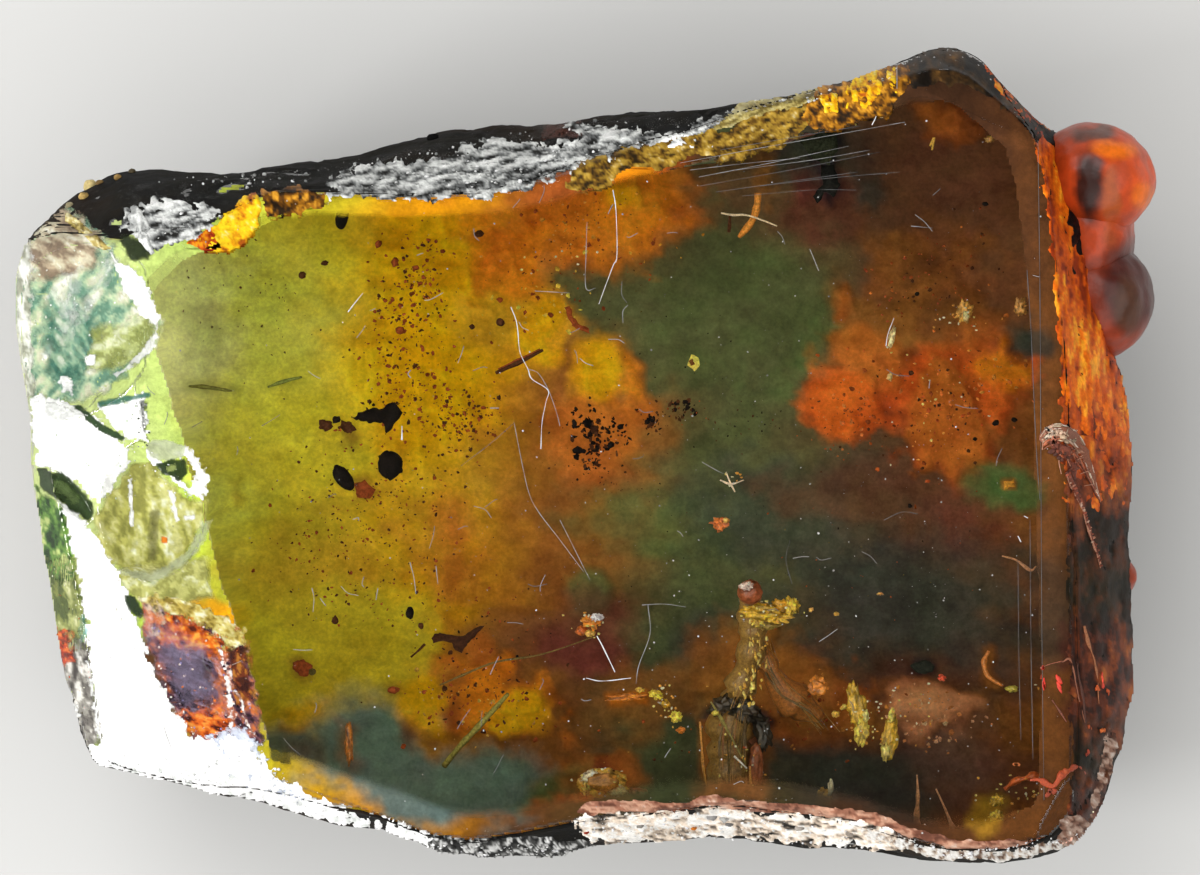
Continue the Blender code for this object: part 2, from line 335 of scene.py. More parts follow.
def grid_normals(grid, wrap):
    """Unit normals of a (rows, cols, 3) grid, from its neighbours."""
    along_rows = np.gradient(grid, axis=0)
    if wrap:
        along_cols = (np.roll(grid, -1, 1) - np.roll(grid, 1, 1)) / 2
    else:
        along_cols = np.gradient(grid, axis=1)
    n = np.cross(along_cols, along_rows)
    size = np.linalg.norm(n, axis=2, keepdims=True)
    return n / np.maximum(size, 1e-9)


def point_colours(obj, name, colours):
    attr = obj.data.color_attributes.new(name, 'FLOAT_COLOR', 'POINT')
    rgba = np.ones((len(colours), 4), np.float32)
    rgba[:, :3] = colours
    attr.data.foreach_set("color", rgba.ravel())


def sharpen(obj, degrees=30):
    obj.data.shade_smooth()
    obj.data.set_sharp_from_angle(angle=math.radians(degrees))


# ========================================================= material tools
class Nodes:
    """Short names for building a node tree."""

    def __init__(self, name):
        self.mat = bpy.data.materials.new(name)
        self.mat.use_nodes = True
        self.tree = self.mat.node_tree
        self.tree.nodes.clear()
        self.out = self.add("ShaderNodeOutputMaterial")
        self.bsdf = self.add("ShaderNodeBsdfPrincipled")
        self.link(self.bsdf.outputs[0], self.out.inputs["Surface"])
        self.coord = self.add("ShaderNodeTexCoord").outputs["Object"]

    def add(self, kind, **props):
        node = self.tree.nodes.new(kind)
        for key, value in props.items():
            setattr(node, key, value)
        return node

    def link(self, a, b):
        self.tree.links.new(a, b)

    def put(self, socket, value):
        if hasattr(value, "is_output"):
            self.link(value, socket)
        elif isinstance(value, (tuple, list)) and len(value) == 3 and socket.type == 'RGBA':
            socket.default_value = (*value, 1.0)
        else:
            socket.default_value = value

    def shader(self, **values):
        for key, value in values.items():
            self.put(self.bsdf.inputs[key.replace("_", " ")], value)

    def stretch(self, scale=(1, 1, 1), turn=(0, 0, 0), move=(0, 0, 0), coord=None):
        node = self.add("ShaderNodeMapping")
        self.link(coord or self.coord, node.inputs["Vector"])
        node.inputs["Scale"].default_value = scale
        node.inputs["Rotation"].default_value = turn
        node.inputs["Location"].default_value = move
        return node.outputs[0]

    def noise(self, per_mm, detail=4.0, rough=0.55, coord=None, distortion=0.0, colour=False):
        node = self.add("ShaderNodeTexNoise")
        self.link(coord or self.coord, node.inputs["Vector"])
        node.inputs["Scale"].default_value = per_mm * 1000
        node.inputs["Detail"].default_value = detail
        node.inputs["Roughness"].default_value = rough
        node.inputs["Distortion"].default_value = distortion
        return node.outputs["Color" if colour else "Fac"]

    def cells(self, per_mm, feature='F1', coord=None, out="Distance", randomness=1.0):
        node = self.add("ShaderNodeTexVoronoi", feature=feature)
        self.link(coord or self.coord, node.inputs["Vector"])
        node.inputs["Scale"].default_value = per_mm * 1000
        node.inputs["Randomness"].default_value = randomness
        return node.outputs[out]

    def range(self, value, a, b, low=0.0, high=1.0, smooth=True):
        node = self.add("ShaderNodeMapRange")
        node.interpolation_type = 'SMOOTHSTEP' if smooth else 'LINEAR'
        self.put(node.inputs["Value"], value)
        node.inputs["From Min"].default_value = a
        node.inputs["From Max"].default_value = b
        node.inputs["To Min"].default_value = low
        node.inputs["To Max"].default_value = high
        return node.outputs[0]

    def maths(self, operation, a, b=0.0, c=0.0):
        node = self.add("ShaderNodeMath", operation=operation)
        self.put(node.inputs[0], a)
        self.put(node.inputs[1], b)
        self.put(node.inputs[2], c)
        return node.outputs[0]

    def mix(self, fac, a, b, blend='MIX'):
        node = self.add("ShaderNodeMix", data_type='RGBA', blend_type=blend)
        self.put(node.inputs[0], fac)
        self.put(node.inputs[6], a)
        self.put(node.inputs[7], b)
        return node.outputs[2]

    def bump(self, height, strength, mm, normal=None):
        node = self.add("ShaderNodeBump")
        node.inputs["Strength"].default_value = strength
        node.inputs["Distance"].default_value = mm * 0.001
        self.link(height, node.inputs["Height"])
        if normal is not None:
            self.link(normal, node.inputs["Normal"])
        return node.outputs[0]

    def attribute(self, name, out="Color"):
        node = self.add("ShaderNodeAttribute")
        node.attribute_name = name
        return node.outputs[out]

    def axis(self, which):
        node = self.add("ShaderNodeSeparateXYZ")
        self.link(self.coord, node.inputs[0])
        return node.outputs[which]


def linear(r, g, b):
    c = np.array([r, g, b], float) / 255.0
    return np.where(c <= 0.04045, c / 12.92, ((c + 0.055) / 1.055) ** 2.4)


GAIN = 1.05    # light that reaches the inner walls
DAY = 1.5      # light that falls on the outside


def inner_paint(target):
    """Wall colour that shows as the target colour through the resin."""
    target = np.asarray(target, float)
    return np.clip(target / (0.42 * GAIN + 0.58 * target), 0.002, 0.93)


def inner(r, g, b):
    return inner_paint(linear(r, g, b))


def outer(r, g, b):
    """Wall colour that shows as this colour on the outside."""
    return np.clip(linear(r, g, b) / DAY, 0.003, 0.93)


def sealed_material(name, rough=0.6, shine=0.0, fleck=4.0, low=0.75, high=1.2, relief=0.05,
                    coat=0.0):
    """Small painted things: colour from their points, with fine flecks."""
    n = Nodes(name)
    fine = n.noise(fleck, 4, 0.65)
    tone = n.mix(1.0, n.attribute("paint"),
                 n.mix(n.range(fine, 0.3, 0.7), (low,) * 3, (high,) * 3), 'MULTIPLY')
    n.shader(Base_Color=tone, Roughness=rough)
    n.bsdf.inputs["Specular IOR Level"].default_value = shine
    n.bsdf.inputs["Coat Weight"].default_value = coat
    n.link(n.bump(fine, 0.4, relief), n.bsdf.inputs["Normal"])
    return n.mat


def veil_material(name, shine=0.0, rough=0.6, fleck=5.0, wisp=1.4, low=0.72, high=1.22,
                  eaten=0.25):
    """Cloudy sheet whose cover is painted on its points."""
    n = Nodes(name)
    fine = n.noise(fleck, 5, 0.65)
    broad = n.noise(wisp, 5, 0.6, distortion=0.5)
    tone = n.mix(1.0, n.attribute("paint"),
                 n.mix(n.range(fine, 0.28, 0.72), (low,) * 3, (high,) * 3), 'MULTIPLY')
    tone = n.mix(1.0, tone, n.mix(n.range(broad, 0.3, 0.7), (0.85,) * 3, (1.1,) * 3), 'MULTIPLY')
    worn = n.range(broad, 0.25, 0.6, 1.0 - eaten, 1.0)
    n.shader(Base_Color=tone, Roughness=rough,
             Alpha=n.maths('MULTIPLY', n.attribute("paint", "Alpha"), worn))
    n.bsdf.inputs["Specular IOR Level"].default_value = shine
    n.link(n.bump(fine, 0.5, 0.08), n.bsdf.inputs["Normal"])
    return n.mat


# ================================================================== camera
cam_data = bpy.data.cameras.new("camera")
cam_data.sensor_width = 36.0
cam_data.lens = 36.0 * EYE / 48.0
cam_data.clip_start = 0.01
camera = bpy.data.objects.new("camera", cam_data)
scene.collection.objects.link(camera)
camera.location = (SHIFT[0] * 0.001, SHIFT[1] * 0.001, (HEIGHT + EYE) * 0.001)
scene.camera = camera


# ============================================================== amber body
BODY_SEGMENTS = 320
INSET = 0.28


def body_grid():
    n = BODY_SEGMENTS
    heading = -math.pi + 2 * math.pi * np.arange(n) / n
    rim = crust_height(heading)
    heights = []
    for i in range(20):
        swing = 0.5 * math.pi * (1 - i / 20)
        heights.append(BELLY_Z * (1 - math.sin(swing) ** (2 / BELLY_POWER)))
    for i in range(31):
        heights.append(BELLY_Z + (EDGE_Z - BELLY_Z) * i / 30)
    rings = []
    for z in heights:
        p = side_points(heading, np.full(n, z))
        inset = INSET * clip01((rim + 0.35 - z) / 1.0)
        p[:, 0] -= np.cos(heading) * inset
        p[:, 1] -= np.sin(heading) * inset
        p[:, 2] = max(z, 0.0) + 0.2 * clip01(1 - z / 2.0)
        p[:, 2] -= FACE_DROP * clip01((z - 17.5) / 1.1)
        rings.append(p)
    for share in (0.997, 0.993, 0.988, 0.982, 0.974, 0.964, 0.95, 0.92, 0.88, 0.8, 0.7, 0.5, 0.25):
        r = look_up(TOP, heading) * share
        z = EDGE_Z + (HEIGHT - EDGE_Z) * (1 - share ** along(CROWN, heading))
        rings.append(np.stack([AXIS[0] + np.cos(heading) * r + SHIFT[0],
                               AXIS[1] + np.sin(heading) * r + SHIFT[1],
                               z - FACE_DROP], 1))
    return np.array(rings)


def plane_of(u, v, z, heading_deg, slope_deg):
    h, s = math.radians(heading_deg), math.radians(slope_deg)
    normal = np.array([math.sin(s) * math.cos(h), math.sin(s) * math.sin(h), math.cos(s)])
    return place(u, v, z) - np.array([0, 0, FACE_DROP]), normal


def flat_cutter(name, u, v, z, heading_deg, slope_deg, wave):
    """A block whose underside is the facet, with faint ripples."""
    point, normal = plane_of(u, v, z, heading_deg, slope_deg)
    n = Vector(normal)
    side = n.cross(Vector((0, 0, 1))).normalized()
    down = n.cross(side)
    side, down = np.array(side), np.array(down)
    count, reach = 110, 17.0
    grid = np.linspace(-1, 1, count)
    grid = np.sign(grid) * np.abs(grid) ** 1.25 * reach
    a, b = np.meshgrid(grid, grid, indexing='ij')
    p = (point[None, None] + a[..., None] * side + b[..., None] * down).reshape(-1, 3)
    ripple = wave * clouds(p * 0.35, 3, len(name)) + wave * 0.35 * np.sin(
        np.linalg.norm(p - point - side * 9 - down * 4, axis=1) * 2.2
        + 2.0 * grain(p * 0.3, 5)) * ease((clouds(p * 0.2, 2, 3) + 0.3) * 2)
    p = p + normal * ripple[:, None]
    far = p + normal * 30.0
    edge = count * count
    faces = grid_faces(count, count, False)
    faces += grid_faces(count, count, False, edge, True)
    rim = ([i for i in range(count)]
           + [count * r + count - 1 for r in range(1, count)]
           + [count * (count - 1) + i for i in range(count - 2, -1, -1)]
           + [count * r for r in range(count - 2, 0, -1)])
    for i, a0 in enumerate(rim):
        b0 = rim[(i + 1) % len(rim)]
        faces.append((b0, a0, a0 + edge, b0 + edge))
    obj = object_from(name, np.concatenate([p, far]), faces)
    tidy(obj)
    return obj


def tidy(obj):
    bm = bmesh.new()
    bm.from_mesh(obj.data)
    bmesh.ops.recalc_face_normals(bm, faces=bm.faces)
    bm.to_mesh(obj.data)
    bm.free()


def ico(detail):
    bm = bmesh.new()
    bmesh.ops.create_icosphere(bm, subdivisions=detail, radius=1.0)
    verts = np.array([v.co for v in bm.verts])
    faces = [tuple(v.index for v in f.verts) for f in bm.faces]
    bm.free()
    return verts, faces


BALL_5 = ico(5)


def lobe_skin(name, u, v, z, ax, ay, az, unit):
    """Lobe surface for unit directions, with soft natural bumps, mm."""
    centre = place(u, v, z)
    p = unit * np.array([ax, ay, az])
    swell = 0.10 * clouds(p * 0.55 + 7, 3, 61) - 0.08
    return centre + p * (1 + swell / np.linalg.norm(p, axis=1))[:, None]


def lobe_cutter(row):
    """The resin under the skin of a lobe."""
    unit, faces = BALL_5
    p = lobe_skin(*row, unit)
    centre = place(*row[1:4])
    away = (p - centre) / np.linalg.norm(p - centre, axis=1)[:, None]
    return object_from(row[0], p - away * 0.28, faces)


def shell_cutter(name, u, v, z, rim_along, rim_across, depth, tall, heading_deg,
                 fall_deg, slope_deg):
    """A rippled ball that dips under its rim, into a sloping surface."""
    share = math.sqrt(1 - ((tall - depth) / tall) ** 2)
    fall = math.radians(fall_deg)
    tilt = Matrix.Rotation(math.radians(slope_deg), 3,
                           Vector((-math.sin(fall), math.cos(fall), 0.0)))
    turn = np.array(tilt @ Matrix.Rotation(math.radians(heading_deg), 3, 'Z'))
    centre = (place(u, v, z) - np.array([0, 0, FACE_DROP])
              + np.array(tilt @ Vector((0.0, 0.0, tall - depth))))
    unit, faces = BALL_5
    p = unit * np.array([rim_along / share, rim_across / share, tall])
    amount = {"chip_scar": 0.07, "chip_dish": 0.035, "bevel_grain": 0.05}.get(name, 0.03)
    p = p * (1 + amount * clouds(p * 0.8 + 3, 3, 71)[:, None] / np.linalg.norm(p, axis=1)[:, None] * 1.4)
    if name in ("chip_scar", "chip_dish"):
        hub = np.array([rim_along * 0.9, rim_across * 0.6, -tall * 0.8])
        ring = np.linalg.norm(p - hub, axis=1)
        p = p * (1 + 0.006 * np.sin(ring * 7.0 + 1.5 * grain(p * 0.7, 9)))[:, None]
    return object_from(name, p @ turn.T + centre, faces)


def build_body():
    grid = body_grid()
    rows, cols, _ = grid.shape
    verts = grid.reshape(-1, 3)
    faces = grid_faces(rows, cols, True)
    bottom = len(verts)
    top = bottom + 1
    verts = np.concatenate([verts, [[AXIS[0] + SHIFT[0], AXIS[1] + SHIFT[1], 0.2]],
                            [[AXIS[0] + SHIFT[0], AXIS[1] + SHIFT[1], HEIGHT - FACE_DROP]]])
    last = (rows - 1) * cols
    for c in range(cols):
        d = (c + 1) % cols
        faces.append((bottom, d, c))
        faces.append((last + c, last + d, top))
    body = object_from("amber_body", verts, faces)
    tidy(body)
    helpers = [(lobe_cutter(row), 'UNION') for row in LOBES]
    waves = {"end_middle": 0.05, "end_sliver": 0.045, "end_window": 0.02,
             "end_wall": 0.06, "corner_upper": 0.03, "corner_lower": 0.05}
    helpers += [(flat_cutter(*row, waves[row[0]]), 'DIFFERENCE') for row in FLATS]
    helpers += [(shell_cutter(*row), 'DIFFERENCE') for row in SHELLS]
    for helper, operation in helpers:
        step = body.modifiers.new(helper.name, 'BOOLEAN')
        step.operation = operation
        step.solver = 'EXACT'
        step.object = helper
    bpy.context.view_layer.update()
    graph = bpy.context.evaluated_depsgraph_get()
    done = bpy.data.meshes.new_from_object(body.evaluated_get(graph))
    body.modifiers.clear()
    body.data = done
    done.name = "amber_body"
    for helper, operation in helpers:
        bpy.data.objects.remove(helper, do_unlink=True)
    sharpen(body, 24)
    return body


def amber_material():
    n = Nodes("amber")
    fine = n.noise(2.2, 5, 0.6)
    wide = n.noise(0.35, 3, 0.5)
    rough = n.range(fine, 0.35, 0.75, 0.012, 0.05)
    n.shader(Base_Color=(0.99, 0.985, 0.96), Roughness=rough, Transmission_Weight=1.0)
    n.bsdf.inputs["IOR"].default_value = RESIN_IOR
    height = n.maths('ADD', n.maths('MULTIPLY', wide, 1.0), n.maths('MULTIPLY', fine, 0.12))
    n.link(n.bump(height, 0.12, 0.05), n.bsdf.inputs["Normal"])
    volume = n.add("ShaderNodeVolumeAbsorption")
    volume.inputs["Color"].default_value = (0.90, 0.72, 0.16, 1.0)
    volume.inputs["Density"].default_value = 14.0
    n.link(volume.outputs[0], n.out.inputs["Volume"])
    return n.mat


body = build_body()
body.data.materials.clear()
body.data.materials.append(amber_material())
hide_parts("raw_amber")
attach(body, "root")


# ================================================= painted clouds of resin
# The kinds of resin in the piece, each with its one colour.
TONES = {
    "straw": (214, 230, 150), "lime": (202, 236, 84), "citron": (220, 204, 42), "ochre": (186, 138, 36),
    "honey": (250, 166, 10), "gold": (255, 160, 16), "orange": (244, 118, 24), "flame": (230, 88, 30),
    "copper": (182, 90, 34), "tawny": (130, 78, 34), "brown": (84, 52, 32), "wine": (84, 36, 28),
    "olive": (68, 74, 42), "moss": (62, 92, 46), "dusk": (46, 50, 42), "teal": (88, 118, 116),
    "peach": (228, 136, 94), "ember": (204, 76, 28), "night": (26, 20, 18), "ash": (92, 68, 60),
}

# The resin darkens from the pale left end to the russet right end; the paleness of the left end is partly a painted
# glow of the light that enters there.
RAMP = ((100, "straw"), (190, "lime"), (300, "citron"), (430, "honey"), (580, "tawny"), (720, "olive"),
        (950, "brown"), (1100, "tawny"))


def smooth_line(x, table):
    """Eased interpolation of rows (x, kind of resin) as linear colours."""
    xs = np.array([row[0] for row in table], float)
    cs = np.array([linear(*TONES[row[1]]) for row in table])
    x = np.clip(x, xs[0], xs[-1])
    i = np.clip(np.searchsorted(xs, x, side="right") - 1, 0, len(xs) - 2)
    t = ease((x - xs[i]) / (xs[i + 1] - xs[i]))[:, None]
    return cs[i] * (1 - t) + cs[i + 1] * t


# Clouds in the resin: (u, v, half width, half height, turn in degrees,
# kind of resin, strength, softness, raggedness)
PATCHES = (
    # left: green-yellow glow
    (230, 340, 110, 90, 0, "lime", 0.75, 0.6, 0.15),
    (170, 340, 60, 130, 10, "straw", 0.55, 0.6, 0.15),
    (290, 450, 100, 70, -10, "citron", 0.6, 0.6, 0.2),
    (430, 350, 76, 130, 4, "honey", 0.75, 0.5, 0.3),
    (440, 480, 70, 60, 0, "ochre", 0.6, 0.5, 0.35),
    (340, 570, 100, 60, 0, "ochre", 0.6, 0.6, 0.3),
    (440, 555, 44, 50, -15, "copper", 0.5, 0.5, 0.4),
    (290, 640, 100, 40, -4, "citron", 0.6, 0.5, 0.25),
    (380, 690, 60, 34, -20, "ochre", 0.6, 0.5, 0.3),
    # upper middle: orange clouds
    (515, 262, 46, 42, 10, "orange", 0.9, 0.35, 0.3),
    (590, 208, 110, 46, 0, "copper", 0.8, 0.45, 0.35),
    (645, 205, 46, 44, 10, "orange", 0.92, 0.38, 0.35),
    (632, 168, 30, 12, -10, "gold", 0.8, 0.5, 0.3),
    (760, 190, 80, 46, 10, "brown", 0.7, 0.5, 0.4),
    (830, 160, 60, 36, 0, "dusk", 0.8, 0.45, 0.3),
    (830, 205, 40, 26, 0, "wine", 0.6, 0.5, 0.4),
    # yellow round clouds
    (545, 322, 34, 36, 0, "gold", 0.95, 0.28, 0.22),
    (603, 362, 30, 32, 0, "gold", 0.95, 0.26, 0.2),
    (620, 398, 28, 26, 20, "orange", 0.8, 0.35, 0.3),
    (600, 440, 56, 36, 0, "copper", 0.7, 0.45, 0.45),
    # green pool and olive middle
    (590, 296, 56, 16, 8, "olive", 0.85, 0.4, 0.25),
    (680, 330, 110, 66, 0, "olive", 0.9, 0.35, 0.3),
    (750, 320, 90, 60, 0, "moss", 0.7, 0.45, 0.3),
    (670, 250, 70, 20, -6, "olive", 0.7, 0.5, 0.3),
    (700, 480, 110, 60, 0, "olive", 0.6, 0.6, 0.4),
    (640, 525, 60, 36, 0, "moss", 0.4, 0.5, 0.35),
    (790, 520, 90, 60, 0, "dusk", 0.7, 0.5, 0.35),
    # right: orange-red clouds
    (960, 210, 100, 100, -25, "brown", 0.6, 0.6, 0.4),
    (925, 300, 70, 60, -30, "tawny", 0.75, 0.5, 0.45),
    (840, 405, 40, 32, 0, "flame", 0.95, 0.3, 0.35),
    (868, 360, 36, 30, 20, "copper", 0.8, 0.4, 0.4),
    (960, 390, 62, 52, 0, "ember", 0.92, 0.3, 0.4),
    (940, 440, 46, 40, 10, "ember", 0.85, 0.35, 0.4),
    (1005, 375, 46, 18, 6, "flame", 0.85, 0.4, 0.45),
    (1030, 430, 36, 30, 0, "tawny", 0.7, 0.5, 0.4),
    (980, 330, 40, 16, 0, "copper", 0.6, 0.45, 0.5),
    (1040, 335, 30, 16, 0, "dusk", 0.8, 0.5, 0.4),
    (900, 500, 110, 26, 5, "brown", 0.6, 0.5, 0.45),
    (1005, 487, 42, 15, 3, "moss", 0.85, 0.45, 0.3),
    (985, 545, 50, 20, 8, "wine", 0.5, 0.5, 0.4),
    (1050, 600, 30, 60, 0, "dusk", 0.6, 0.6, 0.4),
    (900, 610, 110, 50, 0, "dusk", 0.7, 0.5, 0.3),
    (1095, 660, 30, 60, 0, "wine", 0.75, 0.5, 0.4),
    (995, 680, 26, 30, 0, "brown", 0.6, 0.5, 0.4),
    # lower middle: brown clouds and teal depths
    (500, 640, 70, 30, -8, "brown", 0.6, 0.5, 0.4),
    (590, 640, 46, 36, 10, "wine", 0.75, 0.45, 0.3),
    (480, 700, 62, 34, 18, "orange", 0.92, 0.3, 0.35),
    (445, 690, 40, 30, 0, "copper", 0.7, 0.4, 0.35),
    (515, 712, 26, 20, 20, "gold", 0.85, 0.4, 0.3),
    (650, 700, 60, 34, -20, "tawny", 0.55, 0.5, 0.45),
    (700, 640, 26, 26, 0, "dusk", 0.6, 0.5, 0.3),
    (800, 700, 60, 40, 0, "copper", 0.7, 0.45, 0.45),
    (740, 750, 34, 50, 10, "tawny", 0.7, 0.45, 0.4),
    # night patch in the hollow beside the tall figure: painted shade
    (745, 715, 30, 20, 0, "night", 0.6, 0.4, 0.4),
    (920, 712, 38, 20, 0, "peach", 0.9, 0.35, 0.3),
    (870, 725, 34, 36, 0, "tawny", 0.6, 0.5, 0.4),
    (950, 745, 60, 26, 30, "ash", 0.5, 0.6, 0.3),
    (350, 735, 76, 42, -6, "teal", 0.92, 0.35, 0.3),
    (430, 790, 90, 34, 8, "teal", 0.92, 0.4, 0.3),
    (500, 790, 40, 26, 0, "moss", 0.6, 0.4, 0.3),
    (600, 770, 40, 22, 0, "copper", 0.6, 0.5, 0.4),
    (870, 780, 90, 30, 0, "dusk", 0.7, 0.5, 0.3),
    (1000, 780, 60, 20, 0, "brown", 0.5, 0.6, 0.5),
    (990, 810, 16, 16, 0, "ochre", 0.7, 0.5, 0.4),
    # left window chip
    (195, 690, 50, 50, 10, "wine", 0.95, 0.35, 0.3),
    (205, 620, 50, 20, 10, "honey", 0.85, 0.4, 0.35),
    (200, 725, 34, 16, 0, "copper", 0.8, 0.45, 0.4),
)


def resin_tone(u, v, patches=PATCHES):
    """Linear colour that the resin shows at sheet positions."""
    spot = flat3(u / 70.0, v / 50.0)
    wu = u + 16 * clouds(spot, 3, 11) + 5 * clouds(spot * 4, 2, 15)
    wv = v + 12 * clouds(spot + 31, 3, 12) + 4 * clouds(spot * 4 + 9, 2, 16)
    low = ease((wv - 470) / 230)
    tone = smooth_line(wu + 60 * low, RAMP) * (1 - 0.30 * low)[:, None]
    edge = clouds(flat3(u / 26.0, v / 22.0, 3.0), 3, 21)
    for (pu, pv, ru, rv, turn, kind, strength, soft, ragged) in patches:
        t = math.radians(turn)
        du, dv = wu - pu, wv - pv
        a = (du * math.cos(t) + dv * math.sin(t)) / ru
        b = (-du * math.sin(t) + dv * math.cos(t)) / rv
        near = np.hypot(a, b) + ragged * edge
        m = strength * ease((1 + soft - near) / (2 * soft))
        tone = tone * (1 - m[:, None]) + linear(*TONES[kind]) * m[:, None]
    return tone


# ==================================================================== crust
CRUST_COLS, CRUST_ROWS = 480, 92


def crust_rows(heading, rim):
    """Heights and flat shares of the rows, evenly spaced along the profile."""
    n = len(heading)
    out_r = np.zeros((CRUST_ROWS, n))
    out_z = np.zeros((CRUST_ROWS, n))
    t = np.linspace(0, 1, 90)
    for i in range(n):
        h = np.full(90, heading[i])
        z = rim[i] * (1 - np.cos(t * math.pi / 2)) if rim[i] < BELLY_Z else None
        if z is None:
            z = np.concatenate([BELLY_Z * (1 - np.cos(np.linspace(0, 1, 60) * math.pi / 2)),
                                np.linspace(BELLY_Z, rim[i], 31)[1:]])
        r = side_radius(h, z)
        r = np.concatenate([[0.0], r])
        z = np.concatenate([[0.0], z])
        reach = np.concatenate([[0], np.cumsum(np.hypot(np.diff(r), np.diff(z)))])
        want = np.linspace(0.02, 1, CRUST_ROWS) * reach[-1]
        out_r[:, i] = np.interp(want, reach, r)
        out_z[:, i] = np.interp(want, reach, z)
    return out_r, out_z


def build_crust():
    n = CRUST_COLS
    heading = -math.pi + 2 * math.pi * np.arange(n) / n
    rim = crust_height(heading)
    r, z = crust_rows(heading, rim)
    H = np.tile(heading, (CRUST_ROWS, 1))
    hx, hy = np.cos(H), np.sin(H)
    flatten = unevenness((hx * r).ravel(), (hy * r).ravel(), z.ravel()).reshape(r.shape)
    r = (r + flatten) * WITHIN
    base = np.stack([AXIS[0] + hx * r + SHIFT[0], AXIS[1] + hy * r + SHIFT[1], z], 2)
    normal = grid_normals(base, True)
    away = base - np.array([AXIS[0] + SHIFT[0], AXIS[1] + SHIFT[1], 8.0])
    normal *= np.sign((normal * away).sum(2, keepdims=True))
    flat = base.reshape(-1, 3)
    to_rim = (rim[None] - z)
    lumps = clouds(flat * 0.45, 3, 81).reshape(r.shape)
    cracks = ridges(flat * 0.33 + 0.25 * np.stack([grain(flat * 1.1, 5)] * 3, 1), 2, 85).reshape(r.shape)
    pits = clouds(flat * 2.3, 3, 89).reshape(r.shape)
    depth = 0.10 - 0.06 * lumps + 0.15 * ease((cracks - 0.72) / 0.2) - 0.05 * pits
    depth = np.clip(depth, 0.015, 0.27)
    lip = clip01(to_rim / 0.9)
    depth = depth * lip
    # the resting flat stays level
    depth = np.where(z < 0.05, np.clip(depth, 0.0, 0.25), depth)
    outer = base - normal * depth[..., None]
    thick = 0.50 + 0.20 * clouds(flat * 0.3 + 5, 2, 93).reshape(r.shape)
    thick = thick * (0.45 + 0.55 * clip01(to_rim / 1.6))
    inner = base - normal * (thick + 0.12 * lumps + 0.04)[..., None]
    outer[..., 2] = np.maximum(outer[..., 2], 0.0)
    # nothing of the crust stands over the struck facets
    for row in FLATS:
        point, nrm = plane_of(*row[1:])
        for grid, gap in ((outer, 0.06), (inner, 0.2)):
            over = (grid - point) @ nrm + gap
            grid -= np.maximum(over, 0)[..., None] * nrm
    verts = np.concatenate([outer.reshape(-1, 3), inner.reshape(-1, 3)])
    half = CRUST_ROWS * n
    faces = grid_faces(CRUST_ROWS, n, True, 0, False)
    outer_count = len(faces)
    faces += grid_faces(CRUST_ROWS, n, True, half, True)
    top = (CRUST_ROWS - 1) * n
    for c in range(n):
        d = (c + 1) % n
        faces.append((top + c, top + d, half + top + d, half + top + c))
    centre = np.array([[AXIS[0] + SHIFT[0], AXIS[1] + SHIFT[1], outer[0, :, 2].mean()],
                       [AXIS[0] + SHIFT[0], AXIS[1] + SHIFT[1], inner[0, :, 2].mean()]])
    verts = np.concatenate([verts, centre])
    hub = len(verts) - 2
    slots = [0] * outer_count + [1] * outer_count + [0] * n
    for c in range(n):
        d = (c + 1) % n
        faces.append((hub, d, c))
        faces.append((hub + 1, half + c, half + d))
        slots += [0, 1]
    obj = object_from("natural_crust", verts, faces)
    obj.data.polygons.foreach_set("material_index", slots)
    u, v = seen(verts)
    tone = resin_tone(u, v)
    # the side walls are darker towards the rim, but for the fractured end
    shade = ease((verts[:, 2] - 9.5) / 6.0) * ease((verts[:, 0] + 18.0) / 5.0)
    tone = inner_paint(tone * (1 - 0.8 * shade)[:, None])
    point_colours(obj, "paint", tone)
    tidy(obj)
    obj.data.materials.append(crust_material())
    obj.data.materials.append(CLOUD)
    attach(obj, "root")
    return obj


def crust_material():
    n = Nodes("crust")
    broad = n.noise(0.12, 4, 0.6)
    mid = n.noise(0.6, 6, 0.65, distortion=0.6)
    fine = n.noise(4.0, 5, 0.7)
    dots = n.cells(2.2)
    base = n.mix(n.range(mid, 0.35, 0.65), (0.002, 0.002, 0.002), (0.009, 0.008, 0.006))
    base = n.mix(n.maths('MULTIPLY', n.range(broad, 0.5, 0.68), 0.5), base, (0.022, 0.013, 0.008))
    base = n.mix(n.maths('MULTIPLY', n.range(fine, 0.60, 0.74), 0.5), base, (0.042, 0.040, 0.035))
    base = n.mix(n.maths('MULTIPLY', n.range(dots, 0.16, 0.06), 0.3), base, (0.07, 0.06, 0.05))
    n.shader(Base_Color=base, Roughness=n.range(mid, 0.3, 0.7, 0.65, 0.9))
    n.bsdf.inputs["Specular IOR Level"].default_value = 0.06
    height = n.maths('ADD', n.maths('MULTIPLY', mid, 0.6), n.maths('MULTIPLY', fine, 0.4))
    n.link(n.bump(height, 0.7, 0.12), n.bsdf.inputs["Normal"])
    return n.mat


